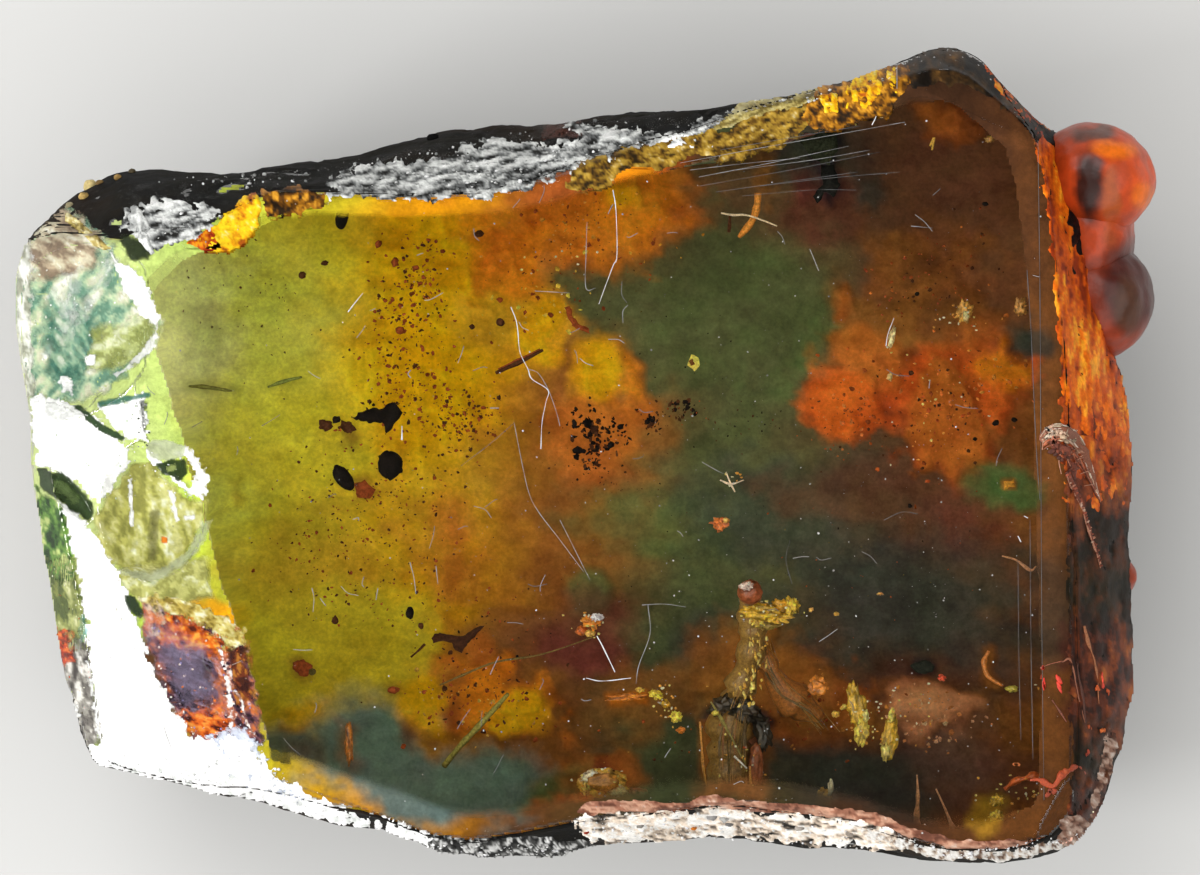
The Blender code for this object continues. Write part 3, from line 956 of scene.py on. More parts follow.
def cloud_material():
    """Inner wall of the crust: the cloudy deepest layer of resin."""
    n = Nodes("resin_clouds")
    paint = n.attribute("paint")
    wisp = n.noise(0.9, 6, 0.6, coord=n.stretch((0.6, 1.0, 1.0), (0, 0, 0.2)), distortion=0.8)
    curd = n.noise(1.6, 5, 0.6, distortion=0.6)
    fleck = n.noise(7.0, 4, 0.65)
    level = n.range(wisp, 0.25, 0.75, 0.80, 1.18, smooth=False)
    tone = n.mix(1.0, paint, n.mix(n.range(fleck, 0.3, 0.7), (0.86, 0.86, 0.86), (1.12, 1.10, 1.06)), 'MULTIPLY')
    tone = n.mix(1.0, tone, n.mix(n.range(curd, 0.3, 0.7), (0.88, 0.87, 0.86), (1.10, 1.10, 1.08)), 'MULTIPLY')
    grey = n.add("ShaderNodeVectorMath", operation='SCALE')
    n.link(tone, grey.inputs[0])
    n.link(level, grey.inputs["Scale"])
    n.shader(Base_Color=grey.outputs[0], Roughness=0.6)
    n.bsdf.inputs["Specular IOR Level"].default_value = 0.0
    n.link(n.bump(curd, 0.25, 0.1), n.bsdf.inputs["Normal"])
    return n.mat


CLOUD = cloud_material()
crust = build_crust()


# ============================================================ skin of lobes
KNOB_TONES_AND_PAINTED_LIGHT = (
    # u, v, half width, half height, kind of resin, strength (as seen on the sheet)
    # the orange spot near the top and the flame and orange spots on the right of the upper lobe are painted
    # highlights; the night band beside the body is painted shade
    (1120, 190, 60, 70, "ember", 1.0), (1148, 190, 16, 34, "flame", 0.9),
    (1144, 197, 12, 13, "orange", 0.9), (1112, 205, 9, 40, "copper", 0.8),
    (1090, 188, 14, 36, "night", 0.95), (1097, 163, 7, 6, "wine", 0.9),
    (1094, 134, 22, 9, "ash", 0.9), (1116, 149, 22, 9, "orange", 1.0),
    (1128, 227, 20, 12, "ember", 0.8), (1134, 285, 34, 46, "wine", 1.0),
    (1128, 305, 14, 30, "brown", 0.8), (1117, 577, 14, 24, "ash", 1.0),
)


def knob_tone_and_painted_light(u, v):
    wu = u + 3.0 * clouds(flat3(u / 14, v / 14), 3, 401)
    wv = v + 3.0 * clouds(flat3(u / 14, v / 14, 9.0), 3, 402)
    tone = np.tile(linear(*TONES["ember"]) * 0.62, (len(u), 1))
    for pu, pv, ru, rv, kind, strength in KNOB_TONES_AND_PAINTED_LIGHT:
        near = np.hypot((wu - pu) / ru, (wv - pv) / rv)
        m = (strength * ease((1.35 - near) / 0.7))[:, None]
        tone = tone * (1 - m) + linear(*TONES[kind]) * m
    return tone


def build_lobes():
    """The natural skin of the lobes, with the glow of the resin in it, and painted highlights and painted shade."""
    for row in LOBES:
        name, u0, v0, z0, ax, ay, az = row
        centre = place(u0, v0, z0)
        unit, faces = BALL_5
        skin = lobe_skin(*row, unit)
        away = skin - centre
        away /= np.linalg.norm(away, axis=1, keepdims=True)
        dents = 0.07 - 0.05 * clouds(skin * 0.9, 3, 421) + 0.05 * ridges(skin * 0.8, 2, 422)
        verts = skin - away * np.clip(dents, 0.01, 0.2)[:, None]
        verts[:, 2] = np.maximum(verts[:, 2], 0.05)
        # only what stands outside the body is kept
        x = verts[:, 0] - AXIS[0] - SHIFT[0]
        y = verts[:, 1] - AXIS[1] - SHIFT[1]
        wall = side_radius(np.arctan2(y, x), np.clip(verts[:, 2], 0.1, EDGE_Z))
        buried = (np.hypot(x, y) < wall - 0.9) & (verts[:, 2] < EDGE_Z)
        kept = [f for f in faces if not all(buried[i] for i in f)]
        obj = object_from("skin_" + name, verts, kept)
        k = UNIT * (EYE + HEIGHT - verts[:, 2]) / EYE
        u = SHEET_CENTRE[0] + (verts[:, 0] - SHIFT[0]) / k
        v = SHEET_CENTRE[1] - (verts[:, 1] - SHIFT[1]) / k
        tone = knob_tone_and_painted_light(u, v) * (1 + 0.14 * clouds(verts * 1.4, 4, 441)[:, None])
        below = ease((z0 + 0.5 - verts[:, 2]) / 4.0)[:, None]
        tone = tone * (1 - 0.6 * below) + linear(60, 34, 24) * 0.6 * below
        point_colours(obj, "paint", np.clip(tone / DAY, 0.003, 0.9))
        obj.data.materials.append(KNOB_SKIN)
        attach(obj, "root")


KNOB_SKIN = sealed_material("knob_skin", 0.34, 0.3, 2.2, 0.84, 1.14, 0.05)
build_lobes()


# ======================================================== small shape tools
def seen_outside(p):
    """Sheet position at which bare points (N, 3) are seen."""
    k = UNIT * (EYE + HEIGHT - p[:, 2]) / EYE
    return (SHEET_CENTRE[0] + (p[:, 0] - SHIFT[0]) / k,
            SHEET_CENTRE[1] - (p[:, 1] - SHIFT[1]) / k)


def outline_distance(u, v, outline):
    """Signed distance to a closed outline, in sheet units, below 0 inside."""
    pts = np.asarray(outline, float)
    best = np.full(len(u), 1e12)
    inside = np.zeros(len(u), bool)
    for (ax, ay), (bx, by) in zip(pts, np.roll(pts, -1, 0)):
        dx, dy = bx - ax, by - ay
        t = clip01(((u - ax) * dx + (v - ay) * dy) / (dx * dx + dy * dy + 1e-9))
        best = np.minimum(best, (u - ax - t * dx) ** 2 + (v - ay - t * dy) ** 2)
        if ay != by:
            at = (bx - ax) * (v - ay) / (by - ay) + ax
            inside ^= ((ay > v) != (by > v)) & (u < at)
    return np.where(inside, -1, 1) * np.sqrt(best)


def region(u, v, outline, soft, ragged, seed=0, grainy=14.0):
    """How much of a soft, ragged outline covers each position, 0 to 1."""
    warp = ragged * clouds(flat3(u / grainy, v / grainy, seed * 1.7), 3, 200 + seed)
    return ease((soft - outline_distance(u, v, outline) - warp) / (2 * soft))


def sheet_grid(outline, reach, step):
    pts = np.asarray(outline, float)
    us = np.arange(pts[:, 0].min() - reach, pts[:, 0].max() + reach + step, step)
    vs = np.arange(pts[:, 1].min() - reach, pts[:, 1].max() + reach + step, step)
    U, V = np.meshgrid(us, vs, indexing='ij')
    return U.ravel(), V.ravel(), len(us), len(vs)


def surface_tree(*objects):
    verts, faces = [], []
    for obj in objects:
        start = len(verts)
        verts += [v.co * 1000 for v in obj.data.vertices]
        faces += [[i + start for i in poly.vertices] for poly in obj.data.polygons]
    return BVHTree.FromPolygons(verts, faces)


SKIN = surface_tree(body, crust)
EYE_SPOT = Vector((SHIFT[0], SHIFT[1], HEIGHT + EYE))


def project(u, v, tree=SKIN):
    """Where the lines of sight through sheet positions meet the outside."""
    k = UNIT * (EYE + HEIGHT) / EYE
    count = len(u)
    spot, normal, hit = np.zeros((count, 3)), np.zeros((count, 3)), np.zeros(count, bool)
    for i in range(count):
        target = Vector(((u[i] - SHEET_CENTRE[0]) * k + SHIFT[0],
                         (SHEET_CENTRE[1] - v[i]) * k + SHIFT[1], 0.0))
        place_hit, n, face, far = tree.ray_cast(EYE_SPOT, (target - EYE_SPOT).normalized())
        if place_hit is not None:
            spot[i], normal[i], hit[i] = place_hit, (n if n.z >= 0 else -n), True
    return spot, normal, hit


def on_skin(u, v, lift=0.0):
    """Point on the outside at a sheet position, lifted along its normal.
    There is none beyond the silhouette."""
    spot, normal, hit = project([u], [v])
    if not hit[0]:
        return None
    p = spot[0] + normal[0] * lift
    return np.array([p[0], p[1], min(p[2], 18.992)])


class Pile:
    """Many small shapes gathered in one mesh, with painted points."""

    def __init__(self):
        self.verts, self.faces, self.paint, self.count = [], [], [], 0

    def add(self, verts, faces, colour, cover=None):
        verts = np.asarray(verts, float)
        n = self.count
        self.verts.append(verts)
        self.faces += [tuple([i + n for i in f]) for f in faces]
        rgba = np.ones((len(verts), 4))
        rgba[:, :3] = colour
        if cover is not None:
            rgba[:, 3] = cover
        self.paint.append(rgba)
        self.count += len(verts)

    def make(self, name, material, smooth=True, sharp=None, closed=True):
        verts = np.concatenate(self.verts)
        verts[:, 2] = np.clip(verts[:, 2], 0.01, 18.995)
        obj = object_from(name, verts, self.faces, smooth)
        attr = obj.data.color_attributes.new("paint", 'FLOAT_COLOR', 'POINT')
        attr.data.foreach_set("color", np.concatenate(self.paint).astype(np.float32).ravel())
        if closed:
            tidy(obj)
        if sharp:
            sharpen(obj, sharp)
        obj.data.materials.append(material)
        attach(obj, "root")
        return obj


BALLS = {d: ico(d) for d in (1, 2, 3, 4)}
PX = 0.0413          # mm of one sheet unit inside the resin


def turned(p, turn=0.0, tilt=0.0, roll=0.0):
    m = (Matrix.Rotation(math.radians(-turn), 3, 'Z')
         @ Matrix.Rotation(math.radians(tilt), 3, 'Y')
         @ Matrix.Rotation(math.radians(roll), 3, 'X'))
    return p @ np.array(m).T


def lump(pile, u, v, z, ru, rv, rz, colour, seed=0, rough=0.22, detail=2, turn=0.0,
         tilt=0.0, freq=1.6, vary=0.25, by=deep, unit_mm=PX):
    """Rough rounded lump, half sizes in sheet units, turn clockwise."""
    at = by(u, v, z)
    if at is None:
        return
    unit, faces = BALLS[detail]
    p = unit * (1 + rough * clouds(unit * freq + seed * 7.7, 3, seed))[:, None]
    p = turned(p * np.array([ru, rv, rz]) * unit_mm, turn, tilt)
    tone = np.asarray(colour)[None] * (1 + vary * clouds(unit * 2.6 + seed, 3, seed + 5))[:, None]
    pile.add(p + at, faces, np.clip(tone, 0.0, 0.95))


def smooth_path(points, steps=6):
    """Points of a smooth curve through the given ones."""
    p = np.asarray(points, float)
    p = np.concatenate([[2 * p[0] - p[1]], p, [2 * p[-1] - p[-2]]])
    out = []
    for i in range(1, len(p) - 2):
        for s in range(steps):
            t = s / steps
            out.append(0.5 * ((2 * p[i]) + (-p[i - 1] + p[i + 1]) * t
                              + (2 * p[i - 1] - 5 * p[i] + 4 * p[i + 1] - p[i + 2]) * t * t
                              + (-p[i - 1] + 3 * p[i] - 3 * p[i + 1] + p[i + 2]) * t ** 3))
    out.append(p[-2])
    return np.array(out)


def rod(pile, points, width, colour, sides=6, by=deep, steps=5, flat=1.0, wobble=0.0, seed=0):
    """Tapered rod through sheet points (u, v, z). Widths are in sheet units:
    one number, or one for each point."""
    spots = [by(*p) for p in points]
    if any(spot is None for spot in spots):
        return
    path = smooth_path(spots, steps)
    widths = np.broadcast_to(np.asarray(width, float), (len(points),))
    w = np.interp(np.linspace(0, 1, len(path)), np.linspace(0, 1, len(points)), widths) * UNIT / 2
    if wobble:
        w = w * (1 + wobble * clouds(path * 3.0 + seed, 2, seed))
    tangent = np.gradient(path, axis=0)
    tangent /= np.linalg.norm(tangent, axis=1, keepdims=True) + 1e-9
    side = np.cross(tangent, [0, 0, 1.0])
    side /= np.linalg.norm(side, axis=1, keepdims=True) + 1e-9
    rise = np.cross(side, tangent)
    verts = []
    for k in range(sides):
        a = 2 * math.pi * k / sides
        verts.append(path + side * (math.cos(a) * w)[:, None] + rise * (math.sin(a) * w * flat)[:, None])
    verts = np.stack(verts, 1).reshape(-1, 3)
    faces = grid_faces(len(path), sides, True)
    faces.append(tuple(range(sides)))
    last = (len(path) - 1) * sides
    faces.append(tuple(last + k for k in reversed(range(sides))))
    pile.add(verts, faces, np.asarray(colour))


def ragged_line(outline, step, amount, seed):
    """The outline with more points and a rough edge."""
    pts = np.asarray(outline, float)
    out = []
    for a, b in zip(pts, np.roll(pts, -1, 0)):
        n = max(1, int(np.hypot(*(b - a)) / step))
        out += [a + (b - a) * i / n for i in range(n)]
    out = np.array(out)
    shake = np.stack([clouds(flat3(out[:, 0] / 5, out[:, 1] / 5, seed), 2, seed),
                      clouds(flat3(out[:, 0] / 5, out[:, 1] / 5, seed + 9), 2, seed + 1)], 1)
    return out + amount * shake


def flake(pile, outline, z, thick, colour, seed=0, rough=1.2, lean=(0.0, 0.0), by=deep):
    """Thin closed plate with a ragged outline."""
    line = ragged_line(outline, 2.5, rough, seed)
    mid = line.mean(0)
    top = np.array([by(u, v, z + ((u - mid[0]) * lean[0] + (v - mid[1]) * lean[1]) * UNIT)
                    for u, v in line])
    n = len(line)
    verts = np.concatenate([top, top - [0, 0, thick]])
    faces = [tuple(reversed(range(n))), tuple(range(n, 2 * n))]
    faces += [(i, (i + 1) % n, n + (i + 1) % n, n + i) for i in range(n)]
    tone = np.asarray(colour)[None] * (1 + 0.3 * clouds(verts * 6, 2, seed))[:, None]
    pile.add(verts, faces, np.clip(tone, 0, 0.95))


def add_cover_grid(pile, p, rows, cols, tone, cover, keep):
    keep = keep.reshape(rows, cols)
    quad = keep[:-1, :-1] & keep[1:, :-1] & keep[:-1, 1:] & keep[1:, 1:]
    index = np.arange(rows * cols).reshape(rows, cols)
    r, c = np.nonzero(quad)
    faces = np.stack([index[r, c], index[r + 1, c], index[r + 1, c + 1], index[r, c + 1]], 1)
    if not len(faces):
        return
    used = np.unique(faces)
    renumber = np.full(rows * cols, -1)
    renumber[used] = np.arange(len(used))
    pile.add(p[used], renumber[faces].tolist(), tone[used], None if cover is None else cover[used])


def veil(pile, z, colour, strength, soft, ragged, outline, seed=0, dome=0.5, vary=0.16,
         grainy=14.0):
    """Cloudy sheet in the resin that fills a soft outline."""
    pts = np.asarray(outline, float)
    reach = soft + ragged + 3
    step = max(2.2, (max(np.ptp(pts[:, 0]), np.ptp(pts[:, 1])) + 2 * reach) / 46.0)
    u, v, rows, cols = sheet_grid(outline, reach, step)
    cover = strength * region(u, v, outline, soft, ragged, seed, grainy)
    k = UNIT * (EYE + (HEIGHT - z) / RESIN_IOR) / EYE
    lift = dome * cover + 0.25 * clouds(flat3(u / 16, v / 16, seed), 3, seed + 40)
    p = np.stack([(u - SHEET_CENTRE[0]) * k + SHIFT[0], (SHEET_CENTRE[1] - v) * k + SHIFT[1],
                  z + lift], 1)
    tone = inner_paint(linear(*colour)[None]
                       * (1 + vary * clouds(flat3(u / 7, v / 7, seed), 3, seed + 80))[:, None])
    wide = cover > 0.015
    grown = wide.reshape(rows, cols).copy()
    grown[1:] |= wide.reshape(rows, cols)[:-1]
    grown[:-1] |= wide.reshape(rows, cols)[1:]
    grown[:, 1:] |= wide.reshape(rows, cols)[:, :-1]
    grown[:, :-1] |= wide.reshape(rows, cols)[:, 1:]
    add_cover_grid(pile, p, rows, cols, tone, cover, grown.ravel())


def palette(u, v, colours, seed, size, stretch=1.0, turn=0.0, sharp=0.10):
    """Marbled colours: (share, colour) rows, each from its share upwards."""
    t = math.radians(turn)
    a = (u * math.cos(t) + v * math.sin(t)) / (size * stretch)
    b = (-u * math.sin(t) + v * math.cos(t)) / size
    rank = 0.5 + 0.5 * np.tanh(1.7 * clouds(flat3(a, b, seed * 0.7), 5, 300 + seed, 0.62))
    tone = np.tile(outer(*colours[0][1]), (len(u), 1))
    for limit, colour in colours[1:]:
        m = ease((rank - limit) / sharp + 0.5)[:, None]
        tone = tone * (1 - m) + outer(*colour) * m
    return tone, rank


def relief(pile, outline, colours, seed, step=2.0, soft=2.5, ragged=4.0, tall=0.10, size=7.0,
           stretch=1.0, turn=0.0, sink=0.07, crumbly=0.5, grainy=10.0, gain=1.0, bands=()):
    """Crusty patch of real height on the outside, sinking in at its edge."""
    u, v, rows, cols = sheet_grid(outline, soft + ragged + 2 * step, step)
    cover = region(u, v, outline, soft, ragged, seed, grainy)
    keep = cover > 0.02
    grown = keep.reshape(rows, cols).copy()
    grown[1:] |= keep.reshape(rows, cols)[:-1]
    grown[:-1] |= keep.reshape(rows, cols)[1:]
    grown[:, 1:] |= keep.reshape(rows, cols)[:, :-1]
    grown[:, :-1] |= keep.reshape(rows, cols)[:, 1:]
    keep = grown.ravel()
    spot, normal, hit = np.zeros((len(u), 3)), np.zeros((len(u), 3)), np.zeros(len(u), bool)
    spot[keep], normal[keep], hit[keep] = project(u[keep], v[keep])
    tone, rank = palette(u, v, colours, seed, size, stretch, turn)
    if bands:
        # the palette changes down the sheet
        at = v + 16 * clouds(flat3(u / 18, v / 18, seed), 3, seed + 60)
        tones = np.stack([palette(u, v, row[1], seed, size, stretch, turn)[0] for row in bands])
        level = np.interp(at, [row[0] for row in bands], np.arange(len(bands)))
        below = np.clip(level.astype(int), 0, len(bands) - 2)
        part = ease(level - below)[:, None]
        each = np.arange(len(u))
        tone = tones[below, each] * (1 - part) + tones[below + 1, each] * part
    t = math.radians(turn)
    fibre = ridges(np.stack([(u * math.cos(t) + v * math.sin(t)) / (5.0 * stretch),
                             (-u * math.sin(t) + v * math.cos(t)) / 5.0, 0 * u + seed], 1), 3, seed)
    height = tall * ((1 - crumbly) * fibre + crumbly * rank) * cover - sink * (1 - ease(cover * 2))
    p = spot + normal * height[:, None]
    p[:, 2] = np.clip(p[:, 2], 0.02, 18.993)
    shade = gain * (0.72 + 0.45 * fibre)[:, None]
    add_cover_grid(pile, p, rows, cols, np.clip(tone * shade, 0, 0.93), None, keep & hit)


def frost(pile, outline, colour, strength, soft, ragged, lift=0.012, seed=0, step=2.0, vary=0.12,
          fibre=0.0, turn=0.0, grainy=9.0, shade=outer, size=8.0, stretch=1.0):
    """Thin cloudy film on the outside, plain or marbled."""
    u, v, rows, cols = sheet_grid(outline, soft + ragged + 2 * step, step)
    cover = region(u, v, outline, soft, ragged, seed, grainy)
    if fibre:
        t = math.radians(turn)
        lines = ridges(np.stack([(u * math.cos(t) + v * math.sin(t)) / 26.0,
                                 (-u * math.sin(t) + v * math.cos(t)) / 3.2, 0 * u + seed], 1), 3, seed)
        cover = cover * (1 - fibre + fibre * ease((lines - 0.45) / 0.35))
    keep = cover > 0.015
    spot, normal, hit = np.zeros((len(u), 3)), np.zeros((len(u), 3)), np.zeros(len(u), bool)
    spot[keep], normal[keep], hit[keep] = project(u[keep], v[keep])
    p = spot + normal * lift
    p[:, 2] = np.clip(p[:, 2], 0.02, 18.995)
    plain = np.isscalar(colour[0])
    base = shade(*colour)[None] if plain else palette(u, v, colour, seed, size, stretch, turn)[0]
    tone = base * (1 + vary * clouds(flat3(u / 6, v / 6, seed), 3, seed + 80))[:, None]
    add_cover_grid(pile, p, rows, cols, np.clip(tone, 0, 0.93), strength * cover, keep & hit)


def scatter(pile, outline, count, small, large, colours, seed, lift=0.0, by=on_skin, low=0.5,
            high=1.0, detail=1):
    """Small rough grains strewn over an outline."""
    rng = np.random.RandomState(seed)
    pts = np.asarray(outline, float)
    u = rng.uniform(pts[:, 0].min(), pts[:, 0].max(), count * 6)
    v = rng.uniform(pts[:, 1].min(), pts[:, 1].max(), count * 6)
    inside = outline_distance(u, v, outline) < 0
    u, v = u[inside][:count], v[inside][:count]
    for i in range(len(u)):
        size = small + (large - small) * rng.rand() ** 2.5
        stretch = rng.uniform(low, high)
        colour = colours[rng.randint(len(colours))]
        z = lift if np.isscalar(lift) else rng.uniform(*lift)
        lump(pile, u[i], v[i], z, size, size * stretch, size * rng.uniform(low, high) * 0.8,
             colour, seed=seed + i % 37, rough=0.3, detail=detail, turn=rng.uniform(0, 180),
             tilt=rng.uniform(-30, 30), vary=0.2, by=by)


# ============================================================= resin veils
VEIL = veil_material("resin_veil")
VEILS_DEEP = (
    # height, kind of resin, strength, softness, raggedness, outline
    (5.0, "olive", 0.85, 12, 8, ((540, 268), (560, 262), (600, 271), (640, 268), (690, 256),
     (760, 256), (820, 270), (830, 300), (820, 340), (780, 370), (720, 390), (670, 392),
     (650, 372), (642, 345), (620, 328), (590, 316), (572, 300), (552, 290))),
    (5.4, "orange", 0.7, 12, 8, ((462, 200), (540, 196), (600, 186), (652, 176), (664, 200),
     (655, 240), (640, 260), (600, 266), (560, 254), (545, 222), (520, 228), (485, 250), (462, 232))),
    (5.2, "honey", 0.7, 14, 8, ((400, 250), (470, 260), (480, 300), (460, 350), (470, 420),
     (440, 470), (400, 470), (376, 420), (384, 340), (388, 280))),
    (4.6, "teal", 0.94, 5, 3, ((262, 738), (280, 727), (305, 731), (325, 722), (338, 709),
     (356, 701), (382, 706), (398, 720), (410, 733), (420, 760), (410, 790), (380, 800),
     (340, 796), (300, 780), (270, 762))),
    (4.2, "teal", 0.85, 12, 6, ((400, 770), (460, 752), (520, 755), (550, 775), (525, 800),
     (508, 830), (450, 838), (410, 828), (380, 810))),
    (4.4, "citron", 0.65, 12, 6, ((248, 600), (330, 585), (420, 600), (440, 640), (425, 690),
     (404, 716), (385, 700), (350, 695), (330, 706), (308, 727), (285, 722), (262, 700), (246, 660))),
    (5.0, "wine", 0.85, 7, 4, ((556, 640), (600, 630), (624, 650), (618, 674), (580, 678),
     (556, 664))),
    (4.8, "tawny", 0.75, 12, 7, ((690, 640), (720, 625), (790, 640), (830, 670), (838, 705),
     (826, 732), (790, 734), (760, 725), (720, 720), (700, 700), (688, 670))),
    (4.6, "dusk", 0.6, 16, 8, ((840, 540), (900, 530), (980, 540), (1030, 560), (1030, 680),
     (980, 690), (930, 660), (860, 640), (830, 600))),
    (4.5, "dusk", 0.6, 14, 6, ((770, 740), (840, 740), (900, 760), (920, 800), (860, 805),
     (800, 800), (764, 780))),
    (5.2, "brown", 0.55, 14, 8, ((890, 150), (960, 130), (1030, 160), (1045, 240), (1050, 320),
     (1000, 330), (960, 320), (900, 330), (880, 300), (930, 240), (900, 200))),
    (5.6, "moss", 0.85, 9, 5, ((980, 484), (1000, 474), (1024, 472), (1030, 484),
     (1015, 500), (990, 502), (972, 494))),
    (5.6, "tawny", 0.5, 10, 8, ((480, 430), (540, 420), (560, 460), (540, 500), (490, 500),
     (466, 470))),
    (5.0, "ash", 0.5, 14, 6, ((890, 728), (950, 722), (990, 775), (1000, 800), (960, 795),
     (920, 760))),
    (4.4, "olive", 0.7, 6, 4, ((528, 812), (540, 790), (570, 776), (600, 790), (585, 815),
     (550, 822))),
    (4.2, "ash", 0.6, 8, 5, ((285, 735), (315, 738), (326, 765), (318, 790), (296, 782),
     (276, 760))),
)
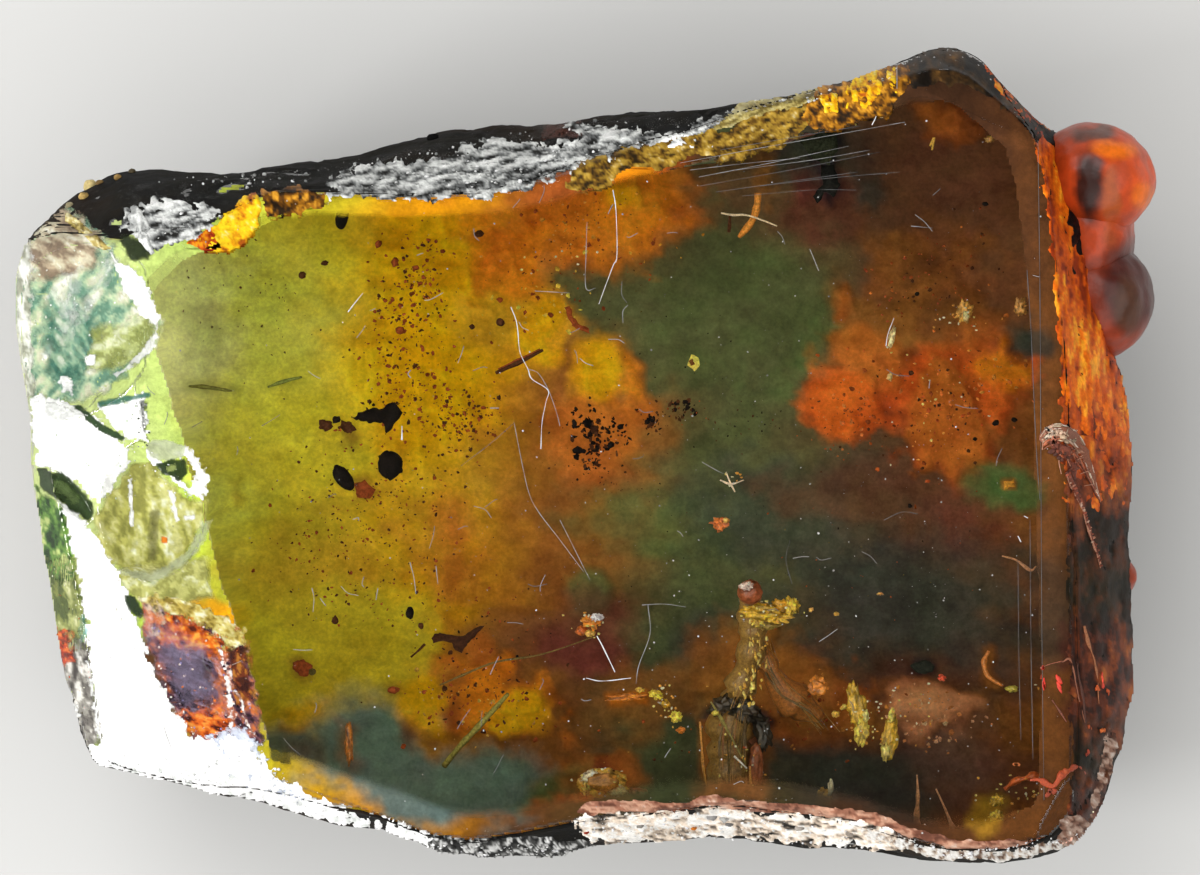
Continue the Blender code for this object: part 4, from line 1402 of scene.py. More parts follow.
VEILS_MID = (
    (9.6, "orange", 0.94, 5, 4, ((474, 278), (486, 262), (500, 250), (512, 233), (528, 222),
     (546, 222), (552, 236), (535, 250), (528, 262), (532, 285), (537, 301), (520, 297),
     (500, 295), (484, 297), (475, 290))),
    (9.0, "orange", 0.92, 7, 5, ((610, 178), (640, 166), (660, 170), (667, 195), (662, 225),
     (650, 248), (628, 240), (617, 214), (605, 200))),
    (9.2, "gold", 0.9, 5, 3, ((606, 190), (618, 182), (632, 190), (634, 204), (622, 210),
     (608, 203))),
    (10.2, "gold", 0.95, 4, 2.5, ((540, 310), (552, 303), (563, 305), (561, 320), (553, 334),
     (540, 344), (527, 346), (518, 337), (523, 322))),
    (9.8, "gold", 0.96, 4.5, 2.5, ((580, 342), (592, 337), (608, 340), (618, 350),
     (626, 368), (622, 388), (608, 398), (594, 402), (583, 396), (578, 380), (577, 360))),
    (9.5, "orange", 0.85, 5, 4, ((616, 342), (630, 354), (640, 376), (644, 396), (632, 402),
     (621, 390), (626, 368))),
    (9.0, "copper", 0.82, 8, 6, ((560, 404), (590, 404), (612, 406), (640, 400), (650, 412),
     (640, 430), (630, 450), (616, 470), (600, 486), (574, 480), (558, 462), (552, 436))),
    (8.4, "ochre", 0.6, 8, 4, ((455, 300), (500, 297), (518, 306), (514, 330), (490, 350),
     (465, 345), (450, 325))),
    (8.0, "copper", 0.6, 9, 5, ((440, 510), (462, 505), (468, 540), (462, 585), (448, 588),
     (440, 560))),
    (8.2, "honey", 0.85, 5, 3, ((283, 706), (308, 699), (330, 700), (322, 714), (303, 728),
     (285, 722))),
    (8.6, "honey", 0.92, 4, 3, ((402, 688), (420, 676), (442, 672), (447, 700), (440, 738),
     (420, 730), (408, 724), (398, 706))),
    (9.0, "orange", 0.88, 4, 4, ((446, 678), (470, 668), (500, 672), (512, 690), (508, 708),
     (484, 724), (466, 734), (452, 720), (448, 700))),
    (9.8, "gold", 0.95, 2.5, 2, ((506, 702), (514, 690), (534, 688), (544, 703), (534, 724),
     (518, 735), (500, 736), (488, 733), (486, 722))),
    (9.6, "copper", 0.85, 4, 3, ((466, 652), (474, 634), (486, 630), (493, 652), (486, 665),
     (470, 668))),
    (10.0, "tawny", 0.75, 3, 2, ((434, 672), (446, 665), (464, 668), (466, 682), (450, 692),
     (436, 692))),
    (9.9, "brown", 0.65, 4, 3, ((447, 704), (458, 690), (466, 722), (456, 738), (446, 730))),
    (9.0, "brown", 0.8, 5, 5, ((400, 722), (424, 728), (430, 742), (410, 748), (396, 738))),
    (8.4, "tawny", 0.65, 5, 3, ((338, 722), (352, 728), (350, 748), (360, 762), (352, 768),
     (342, 755), (336, 740))),
    (8.0, "teal", 0.5, 7, 3, ((480, 752), (500, 760), (520, 790), (512, 802), (494, 780),
     (478, 764))),
    (8.0, "moss", 0.55, 4, 2, ((520, 808), (529, 790), (544, 775), (572, 766), (592, 762),
     (592, 770), (562, 780), (548, 798), (540, 820), (528, 824))),
    (9.0, "ember", 0.8, 3, 3, ((534, 800), (560, 796), (592, 806), (602, 818), (585, 822),
     (560, 812), (540, 806))),
    (8.8, "olive", 0.75, 4, 2, ((566, 592), (580, 573), (600, 572), (611, 590), (606, 610),
     (590, 618), (572, 612))),
    (8.8, "moss", 0.45, 3, 2, ((568, 578), (584, 569), (603, 570), (612, 586), (606, 592),
     (598, 578), (582, 577), (570, 588))),
    (8.6, "tawny", 0.8, 6, 4, ((780, 690), (810, 680), (832, 700), (826, 728), (796, 730),
     (778, 715))),
    (9.4, "tawny", 0.8, 3, 2, ((742, 620), (784, 620), (772, 640), (764, 664), (776, 690),
     (800, 712), (790, 722), (760, 700), (730, 690), (716, 700), (704, 690), (722, 662), (738, 645))),
    # night veil in the hollow beside the tall figure's skirt: painted shade
    (10.0, "night", 0.94, 2.5, 2, ((700, 724), (709, 704), (724, 698), (744, 700), (768, 710),
     (776, 722), (752, 727), (735, 724), (722, 712), (712, 726))),
    (9.8, "tawny", 0.85, 2.2, 1.5, ((699, 722), (706, 722), (721, 716), (732, 742), (748, 766),
     (750, 801), (711, 801), (703, 770))),
    (9.2, "brown", 0.85, 3, 2, ((744, 726), (762, 730), (762, 800), (751, 799), (749, 770),
     (736, 744))),
    (9.6, "peach", 0.95, 4, 4, ((886, 706), (896, 697), (919, 693), (934, 697), (946, 704),
     (963, 711), (951, 719), (938, 722), (926, 716), (905, 716), (896, 716))),
    (9.3, "peach", 0.9, 4, 3, ((898, 713), (930, 712), (946, 720), (934, 728), (921, 738),
     (914, 737), (908, 727))),
    (12.0, "night", 0.94, 2.5, 2, ((911, 668), (916, 660), (926, 659), (936, 664), (932, 672),
     (920, 675))),
    (9.8, "tawny", 0.85, 3, 2, ((984, 652), (992, 648), (995, 656), (990, 668), (996, 680),
     (1005, 684), (1000, 690), (988, 688), (982, 674))),
    (8.8, "copper", 0.9, 5, 6, ((908, 415), (920, 380), (933, 356), (958, 362), (974, 380),
     (977, 409), (989, 434), (986, 459), (958, 471), (922, 474), (914, 446))),
    (9.4, "flame", 0.85, 4, 3, ((985, 393), (1005, 389), (1010, 412), (1000, 430), (988, 416))),
    (9.8, "orange", 0.92, 3.5, 4, ((969, 365), (990, 350), (1003, 336), (1011, 358),
     (1036, 369), (1030, 381), (1014, 386), (983, 379))),
    (8.9, "flame", 0.95, 5, 5, ((806, 405), (814, 385), (830, 378), (850, 371), (872, 380),
     (878, 398), (881, 420), (866, 431), (845, 441), (826, 437), (812, 424))),
    (8.3, "copper", 0.75, 7, 5, ((846, 350), (866, 338), (892, 340), (905, 360), (896, 382),
     (872, 384), (852, 370))),
    (9.2, "copper", 0.75, 3.5, 2, ((838, 290), (846, 286), (849, 300), (846, 318), (838, 319),
     (836, 304))),
    (8.6, "tawny", 0.7, 8, 5, ((880, 315), (905, 290), (940, 262), (965, 240), (983, 232),
     (985, 248), (960, 268), (930, 300), (905, 330), (885, 335))),
    (9.0, "tawny", 0.6, 4, 3, ((945, 280), (965, 284), (991, 300), (985, 309), (960, 300))),
    (9.0, "dusk", 0.85, 4, 3, ((1008, 328), (1046, 330), (1062, 345), (1058, 362), (1030, 362),
     (1008, 350))),
    (9.2, "copper", 0.85, 1.5, 1, ((1003, 482), (1014, 481), (1014, 487), (1004, 488))),
    (9.2, "copper", 0.7, 8, 5, ((915, 105), (940, 100), (965, 112), (976, 130), (960, 140),
     (930, 135))),
    (9.8, "copper", 0.85, 2.5, 1.5, ((1010, 148), (1024, 147), (1026, 171), (1013, 170))),
    (9.6, "night", 0.88, 3, 3, ((820, 124), (838, 128), (842, 150), (832, 168), (840, 190),
     (831, 205), (822, 198), (818, 172), (808, 156), (800, 140), (808, 128))),
    (8.4, "dusk", 0.7, 5, 4, ((855, 180), (880, 176), (884, 196), (876, 210), (860, 204))),
    (8.4, "wine", 0.55, 7, 5, ((790, 170), (812, 168), (816, 200), (800, 210), (786, 200))),
    (8.6, "tawny", 0.55, 5, 4, ((758, 150), (775, 152), (776, 185), (766, 205), (758, 185))),
    (10.0, "olive", 0.5, 3.5, 2, ((188, 384), (215, 382), (240, 388), (238, 393), (205, 392),
     (188, 389))),
    (10.0, "moss", 0.5, 3.5, 2, ((262, 383), (290, 374), (302, 378), (290, 386), (266, 391))),
    (9.4, "tawny", 0.75, 4, 3, ((290, 661), (302, 658), (313, 664), (313, 676), (302, 680),
     (292, 674))),
    (9.4, "tawny", 0.65, 3, 2, ((386, 684), (398, 683), (400, 694), (390, 697))),
    (9.4, "tawny", 0.6, 3, 2, ((230, 482), (240, 480), (243, 498), (236, 506), (229, 498))),
    (9.6, "brown", 0.7, 3, 3, ((340, 424), (352, 424), (362, 436), (360, 452), (348, 456),
     (341, 444))),
    (9.6, "brown", 0.75, 3, 3, ((352, 480), (366, 478), (376, 492), (368, 500), (356, 498))),
    (10.6, "orange", 0.8, 3, 2, ((608, 698), (630, 694), (646, 692), (646, 703), (628, 702),
     (612, 704))),
    (9.0, "wine", 0.7, 4, 3, ((634, 788), (650, 786), (676, 794), (690, 802), (660, 806),
     (640, 804))),
    (9.0, "wine", 0.8, 3.5, 3, ((580, 778), (596, 764), (612, 762), (626, 780), (634, 800),
     (620, 808), (596, 804), (584, 794))),
    (8.8, "brown", 0.5, 8, 5, ((560, 590), (600, 600), (640, 620), (630, 640), (590, 640),
     (560, 630))),
    (8.5, "copper", 0.6, 6, 5, ((300, 196), (330, 190), (420, 200), (500, 196), (520, 206),
     (440, 216), (360, 214), (300, 206))),
    (8.5, "wine", 0.6, 7, 5, ((1084, 640), (1104, 636), (1116, 680), (1110, 730), (1092, 720))),
)


BED_STEP = 3.1


def build_bed():
    """The cloud bank that fills the depth of the resin, lumpy and marbled."""
    us = np.arange(16, 1144, BED_STEP)
    vs = np.arange(42, 870, BED_STEP)
    U, V = np.meshgrid(us, vs, indexing='ij')
    u, v = U.ravel(), V.ravel()
    tone = resin_tone(u, v)
    lift = np.zeros(len(u))
    for i, (z, kind, strength, soft, ragged, outline) in enumerate(VEILS_DEEP + VEILS_MID):
        pts = np.array(outline, float)
        reach = soft + 2 * ragged + 4
        near = ((u > pts[:, 0].min() - reach) & (u < pts[:, 0].max() + reach)
                & (v > pts[:, 1].min() - reach) & (v < pts[:, 1].max() + reach))
        m = strength * region(u[near], v[near], outline, soft * 1.5 + 2, ragged * 1.6, i + 1)
        tone[near] = tone[near] * (1 - m[:, None]) + linear(*TONES[kind]) * m[:, None]
        lift[near] += (0.15 if i < len(VEILS_DEEP) else 0.30) * m
    dim = clip01((0.16 - tone.max(1)) / 0.12)
    tone = tone + dim[:, None] * np.array([0.0, 0.004, 0.010])
    warm = clip01((tone[:, 0] - 1.6 * tone[:, 1]) / 0.15)
    curd = ridges(np.stack([u / 24, v / 20, 0 * u + 4], 1), 4, 511) - 0.55
    speckle = clouds(flat3(u / 8, v / 8), 4, 521)
    drift = clouds(flat3(u / 46, v / 30, 3.0), 5, 531, 0.6)
    calm = clip01((tone[:, 1] - 0.8 * tone[:, 0]) / 0.12) * clip01((460 - u) / 120)
    busy = 1 - 0.8 * calm
    tone = tone * (1 + (0.06 + 0.36 * warm) * curd + 0.10 * speckle * busy
                   + 0.22 * drift * busy)[:, None]
    tone[:, 1] *= 1 + 0.10 * clouds(flat3(u / 30, v / 24, 8.0), 4, 541)
    k5 = UNIT * (EYE + (HEIGHT - 5.6) / RESIN_IOR) / EYE
    x = (u - SHEET_CENTRE[0]) * k5
    base = (5.6 + 0.6 * clouds(flat3(u / 130, v / 100), 2, 551) + lift + 0.03 * speckle
            + (0.03 + 0.30 * warm) * (curd + 0.2))
    z = 2.0 + (base - 2.0) * ease((x + 23.6) / 7.5)
    k = UNIT * (EYE + (HEIGHT - z) / RESIN_IOR) / EYE
    p = np.stack([(u - SHEET_CENTRE[0]) * k + SHIFT[0], (SHEET_CENTRE[1] - v) * k + SHIFT[1], z], 1)
    hx, hy = p[:, 0] - AXIS[0] - SHIFT[0], p[:, 1] - AXIS[1] - SHIFT[1]
    wall = side_radius(np.arctan2(hy, hx), z)
    inside = np.hypot(hx, hy) < wall - 0.32
    pile = Pile()
    add_cover_grid(pile, p, len(us), len(vs), inner_paint(np.clip(tone, 0, 1)), None, inside)
    return pile.make("cloud_bank", CLOUD, closed=False)


build_bed()


# ====================================================== crusts on the outside
CHALK = ((0, (38, 38, 36)), (0.24, (112, 114, 114)), (0.40, (182, 184, 182)), (0.62, (236, 238, 235)),
         (0.86, (255, 255, 253)))
# white crust, brightened to pure white with painted glare
WHITE_CRUST_AND_GLARE = ((0, (222, 226, 222)), (0.16, (246, 248, 246)), (0.36, (255, 255, 255)))
CELLS = ((0, (30, 30, 30)), (0.36, (74, 74, 72)), (0.58, (140, 140, 138)), (0.74, (236, 236, 234)))
PINK = ((0, (112, 70, 54)), (0.35, (160, 108, 86)), (0.65, (200, 152, 126)), (0.90, (244, 216, 198)))
SUGAR = ((0, (30, 26, 22)), (0.13, (96, 88, 80)), (0.24, (182, 164, 146)), (0.36, (240, 222, 202)),
         (0.56, (255, 252, 246)))
GOLDEN = ((0, (168, 84, 12)), (0.22, (230, 158, 14)), (0.50, (250, 204, 28)), (0.90, (255, 238, 140)))
GRAINY = ((0, (46, 34, 14)), (0.22, (104, 74, 24)), (0.46, (150, 116, 38)), (0.72, (184, 148, 56)),
          (0.92, (230, 210, 150)))
RIDGE = ((0, (112, 96, 46)), (0.28, (172, 156, 92)), (0.58, (206, 194, 138)), (0.86, (244, 238, 206)))
AMBERY = ((0, (44, 30, 12)), (0.25, (104, 64, 18)), (0.52, (166, 108, 24)), (0.80, (226, 160, 46)))
CORNER = ((0, (26, 20, 12)), (0.40, (50, 36, 20)), (0.70, (72, 50, 26)), (0.95, (130, 92, 44)))
FLAME = ((0, (140, 48, 12)), (0.20, (200, 82, 14)), (0.48, (230, 110, 18)), (0.80, (252, 164, 40)))
EMBER = ((0, (104, 42, 18)), (0.26, (166, 68, 22)), (0.55, (200, 90, 28)), (0.86, (236, 136, 42)))
BARK = ((0, (44, 34, 26)), (0.35, (78, 44, 30)), (0.66, (110, 58, 34)), (0.92, (150, 84, 44)))
SHADE = ((0, (30, 26, 14)), (0.45, (46, 36, 20)), (0.80, (68, 42, 24)))
RUSSET = ((0, (52, 28, 20)), (0.30, (92, 44, 26)), (0.62, (130, 64, 32)), (0.90, (176, 98, 42)))
GULLY_CRUST_AND_SHADE = ((0, (12, 10, 9)), (0.55, (24, 17, 15)), (0.86, (58, 22, 18)))
ROSE = ((0, (96, 66, 54)), (0.30, (150, 112, 94)), (0.62, (196, 166, 148)), (0.90, (240, 226, 214)))

STONY = (
    # outline, colours, seed, settings
    (((128, 209), (140, 204), (169, 199), (191, 209), (213, 203), (225, 209), (219, 221),
      (205, 233), (191, 240), (169, 246), (153, 245), (125, 228)), CHALK, 11,
     dict(step=1.7, tall=0.10, size=4.6, stretch=3.0, turn=-14, ragged=7, grainy=7)),
    (((325, 184), (347, 171), (378, 165), (419, 159), (441, 159), (459, 149), (500, 140),
      (511, 140), (552, 146), (577, 140), (583, 134), (564, 128), (568, 121), (589, 123),
      (614, 131), (630, 131), (655, 134), (680, 131), (711, 120), (739, 106), (720, 124),
      (699, 137), (683, 147), (655, 145), (621, 151), (589, 162), (543, 181), (511, 193),
      (480, 198), (456, 195), (425, 199), (363, 197), (331, 195)), CHALK, 12,
     dict(step=1.7, tall=0.11, size=4.4, stretch=4.0, turn=-13, ragged=8, gain=1.06, grainy=7)),
    (((78, 750), (120, 738), (190, 741), (219, 737), (249, 738), (261, 759), (278, 779),
      (308, 794), (337, 806), (366, 818), (396, 825), (413, 829), (434, 838), (434, 853),
      (408, 843), (380, 829), (320, 821), (260, 804), (200, 790), (150, 779), (92, 766)), WHITE_CRUST_AND_GLARE, 13,
     dict(step=2.0, tall=0.09, size=7.0, ragged=6, gain=1.25, grainy=6)),
    (((428, 836), (470, 842), (520, 837), (560, 840), (592, 841), (602, 850), (560, 859),
      (480, 858), (430, 853)), CELLS, 14, dict(step=1.8, tall=0.12, size=3.6, ragged=2.5)),
    (((578, 816), (613, 812), (647, 811), (690, 812), (718, 806), (760, 811), (823, 816),
      (876, 824), (902, 833), (902, 853), (850, 845), (823, 843), (784, 843), (750, 836),
      (707, 837), (686, 843), (592, 844), (580, 832)), SUGAR, 15,
     dict(step=1.6, tall=0.10, size=5.0, stretch=3.2, turn=4, ragged=7, gain=1.2, grainy=7)),
    # pale crust along the bottom rim, with a painted highlight line
    (((860, 826), (919, 846), (955, 852), (1003, 852), (1027, 848), (1058, 841), (1086, 829),
      (1088, 836), (1058, 849), (1027, 857), (1003, 860), (955, 860), (919, 854), (860, 834)),
     ((0, (110, 80, 62)), (0.28, (200, 180, 160)), (0.5, (252, 248, 242))), 16,
     dict(step=1.8, tall=0.12, size=4.0, ragged=2.5, soft=2)),
    (((1108, 727), (1119, 736), (1113, 762), (1104, 790), (1098, 806), (1092, 828), (1084, 826),
      (1092, 800), (1099, 770), (1103, 745)), ROSE, 17,
     dict(step=1.8, tall=0.14, size=5.0, ragged=2.5, soft=2)),
    (((1060, 820), (1078, 816), (1092, 824), (1086, 836), (1066, 846), (1058, 842)), ROSE, 18,
     dict(step=1.8, tall=0.20, size=4.0, ragged=2.5, soft=2)),
    (((66, 212), (80, 222), (100, 240), (112, 248), (104, 252), (86, 238), (66, 222)),
     ((0, (130, 112, 60)), (0.4, (190, 170, 100)), (0.75, (236, 226, 176))), 19,
     dict(step=1.8, tall=0.10, size=4.0, ragged=2, soft=2)),
    (((128, 205), (134, 203), (150, 226), (156, 254), (150, 257), (140, 238), (129, 218)),
     CHALK[2:], 20, dict(step=1.6, tall=0.14, size=3.5, ragged=2.5, soft=2, stretch=3, turn=68)),
)
GLOWING = (
    (((256, 189), (244, 202), (225, 217), (204, 236), (188, 243), (206, 249), (226, 250),
      (245, 241), (260, 226), (263, 203)), GOLDEN, 31, dict(step=1.8, tall=0.14, size=9.0, ragged=4)),
    (((188, 243), (206, 232), (214, 232), (222, 248), (205, 250)),
     ((0, (150, 40, 12)), (0.5, (200, 90, 16)), (0.8, (236, 150, 20))), 32,
     dict(step=1.8, tall=0.16, size=5.0, ragged=3)),
    (((262, 190), (300, 187), (328, 193), (326, 206), (300, 215), (270, 215), (262, 204)), AMBERY, 33,
     dict(step=2.0, tall=0.08, size=6.0, ragged=4)),
    (((589, 160), (621, 148), (655, 143), (699, 134), (730, 126), (761, 115), (808, 102),
      (810, 124), (786, 143), (761, 152), (736, 159), (699, 156), (680, 160), (661, 169),
      (627, 170), (605, 185), (564, 188), (574, 166)), GRAINY, 34,
     dict(step=1.9, tall=0.12, size=4.0, stretch=1.8, turn=-18, ragged=5)),
    (((699, 135), (739, 105), (777, 95), (818, 87), (822, 98), (789, 109), (761, 115), (730, 126)),
     RIDGE, 35, dict(step=1.8, tall=0.10, size=6.0, stretch=4.0, turn=-18, ragged=2.5)),
    (((806, 102), (818, 87), (850, 76), (885, 65), (903, 60), (909, 80), (897, 101), (880, 119),
      (850, 126), (815, 131), (800, 121)), AMBERY, 36, dict(step=1.9, tall=0.12, size=5.0, ragged=5)),
    (((820, 96), (836, 94), (838, 114), (824, 117)), GOLDEN, 37,
     dict(step=1.6, tall=0.16, size=5.0, ragged=3, soft=2)),
    (((846, 86), (862, 72), (884, 70), (882, 92), (868, 110), (856, 100), (848, 108)), GOLDEN, 38,
     dict(step=1.6, tall=0.16, size=5.0, ragged=4, soft=2)),
    (((886, 70), (896, 67), (898, 93), (888, 92)), GOLDEN, 39,
     dict(step=1.6, tall=0.14, size=5.0, ragged=2.5, soft=2)),
    (((905, 58), (926, 48), (945, 45), (962, 48), (986, 65), (1006, 88), (1028, 110), (1050, 126),
      (1040, 136), (1016, 116), (992, 98), (966, 86), (930, 84), (908, 92)), CORNER, 40,
     dict(step=2.0, tall=0.07, size=14.0, ragged=4)),
    # the gully between the body and the knob: dark crust with painted shade
    (((1030, 112), (1050, 124), (1074, 132), (1092, 150), (1100, 190), (1098, 214), (1082, 232),
      (1074, 243), (1066, 222), (1063, 190), (1056, 158), (1046, 138)), GULLY_CRUST_AND_SHADE, 41,
     dict(step=2.0, tall=0.10, size=10.0, ragged=4)),
    # orange strip of the right wall: streaked amber colour with the painted glow of light through the resin
    (((1036, 124), (1050, 140), (1060, 156), (1066, 190), (1068, 215), (1080, 255), (1096, 226),
      (1106, 214), (1114, 240), (1116, 321), (1127, 384), (1131, 420), (1126, 446), (1092, 440),
      (1072, 424), (1062, 384), (1056, 300), (1051, 240), (1044, 190), (1036, 148)), FLAME, 42,
     dict(step=2.0, tall=0.08, size=6.0, stretch=5.0, turn=87, ragged=4, crumbly=0.5, gain=1.25)),
    (((1062, 392), (1090, 400), (1132, 396), (1136, 440), (1137, 500), (1100, 512), (1068, 500),
      (1064, 450)), EMBER, 43, dict(step=2.0, tall=0.08, size=8.0, stretch=2.6, turn=84, ragged=7,
                                    soft=5, crumbly=0.5, gain=1.2)),
    (((1066, 430), (1100, 440), (1138, 430), (1138, 500), (1134, 560), (1137, 620), (1142, 685),
      (1133, 722), (1118, 760), (1106, 798), (1094, 830), (1072, 824), (1070, 760), (1070, 640),
      (1068, 520)), BARK, 44,
     dict(step=2.0, tall=0.09, size=8.0, stretch=2.6, turn=86, ragged=6, soft=4, gain=1.1,
          bands=((440, EMBER), (520, BARK), (590, SHADE), (650, RUSSET), (710, RUSSET), (760, SHADE),
                 (820, RUSSET)))),
    (((984, 60), (990, 66), (1006, 88), (1026, 110), (1052, 130), (1048, 136), (1022, 117),
      (1002, 96), (986, 72)), FLAME, 49,
     dict(step=1.6, tall=0.08, size=5.0, stretch=3.0, turn=44, ragged=2.5, soft=1.6)),
    (((578, 812), (586, 802), (613, 801), (647, 800), (665, 804), (686, 802), (702, 795), (718, 795),
      (734, 800), (760, 801), (792, 804), (823, 806), (850, 809), (876, 814), (905, 826), (955, 840),
      (1027, 840), (1030, 847), (955, 848), (900, 834), (876, 824), (850, 819), (823, 816),
      (792, 814), (760, 811), (734, 810), (718, 806), (702, 806), (686, 812), (665, 814),
      (647, 811), (613, 812), (590, 815)), PINK, 48,
     dict(step=1.8, tall=0.10, size=5.0, stretch=4.0, turn=4, ragged=2, soft=2)),
)


def build_crusts():
    stony, glowing = Pile(), Pile()
    for outline, colours, seed, settings in STONY:
        relief(stony, outline, colours, seed, **settings)
    for outline, colours, seed, settings in GLOWING:
        relief(glowing, outline, colours, seed, **settings)
    chalk = [outer(200, 202, 200), outer(250, 250, 250), outer(150, 152, 150)]
    for outline, count in (((( 330, 190), (440, 165), (560, 150), (700, 122), (690, 138), (590, 156),
                              (520, 184), (440, 192)), 260),
                           (((130, 212), (220, 206), (190, 238), (150, 242)), 60),
                           (((150, 180), (330, 168), (540, 128), (700, 116), (560, 140), (330, 180),
                             (180, 196)), 90),
                           (((742, 100), (800, 90), (842, 92), (838, 102), (790, 102), (750, 106)), 50),
                           (((850, 70), (900, 62), (900, 84), (860, 90)), 50)):
        scatter(stony, outline, count, 0.6, 2.6, chalk, 601 + count, 0.03)
    # white grains along the lower edge, part of the painted glare there
    white_grains_and_glare = [outer(254, 254, 254), outer(220, 222, 220), outer(236, 236, 240)]
    for outline, count in ((((90, 752), (250, 748), (300, 796), (430, 842), (400, 838), (260, 800),
                             (120, 768)), 160),
                           (((430, 842), (600, 846), (598, 856), (440, 854)), 120),
                           (((580, 818), (720, 810), (900, 838), (890, 850), (700, 836), (590, 842)), 240),
                           (((870, 832), (960, 852), (1084, 832), (1080, 840), (960, 859)), 110)):
        scatter(stony, outline, count, 0.6, 2.8, white_grains_and_glare, 701 + count, 0.04)
    for u, v, r, colour in ((91, 187, 7.5, (206, 186, 128)), (109, 175, 6.0, (214, 200, 150)),
                            (125, 169, 5.5, (196, 170, 104)), (84, 197, 5.0, (180, 150, 90)),
                            (118, 178, 4.0, (150, 120, 70)), (100, 184, 4.5, (120, 96, 58)),
                            (70, 206, 4.0, (150, 140, 110)), (132, 172, 3.5, (90, 80, 60))):
        lump(glowing, u, v, 0.02, r, r * 0.86, r * 0.8, outer(*colour), int(u), 0.16, 3, by=on_skin)
    lump(stony, 433, 139, 0.02, 6, 5, 4, outer(10, 10, 10), 3, 0.2, 3, by=on_skin)
    for u, v, r, colour in ((694, 827, 3.0, (190, 110, 40)), (586, 831, 2.6, (150, 50, 30)),
                            (712, 815, 5.5, (150, 148, 146)), (724, 817, 5.0, (188, 186, 182)),
                            (730, 823, 4.0, (120, 118, 116)), (640, 824, 4.0, (140, 136, 130)),
                            (800, 826, 4.5, (170, 162, 154)), (850, 832, 4.0, (150, 140, 130))):
        lump(stony, u, v, 0.05, r, r * 0.8, r * 0.8, outer(*colour), int(u), 0.3, 2, by=on_skin)
    stony.make("pale_crusts", STONE, closed=False)
    glowing.make("warm_crusts_and_painted_light", GLOW, closed=False)


STONE = sealed_material("chalky_crust", 0.78, 0.05, 9.0, 0.82, 1.16, 0.06)
GLOW = sealed_material("warm_crust", 0.5, 0.05, 5.0, 0.80, 1.18, 0.05)
build_crusts()
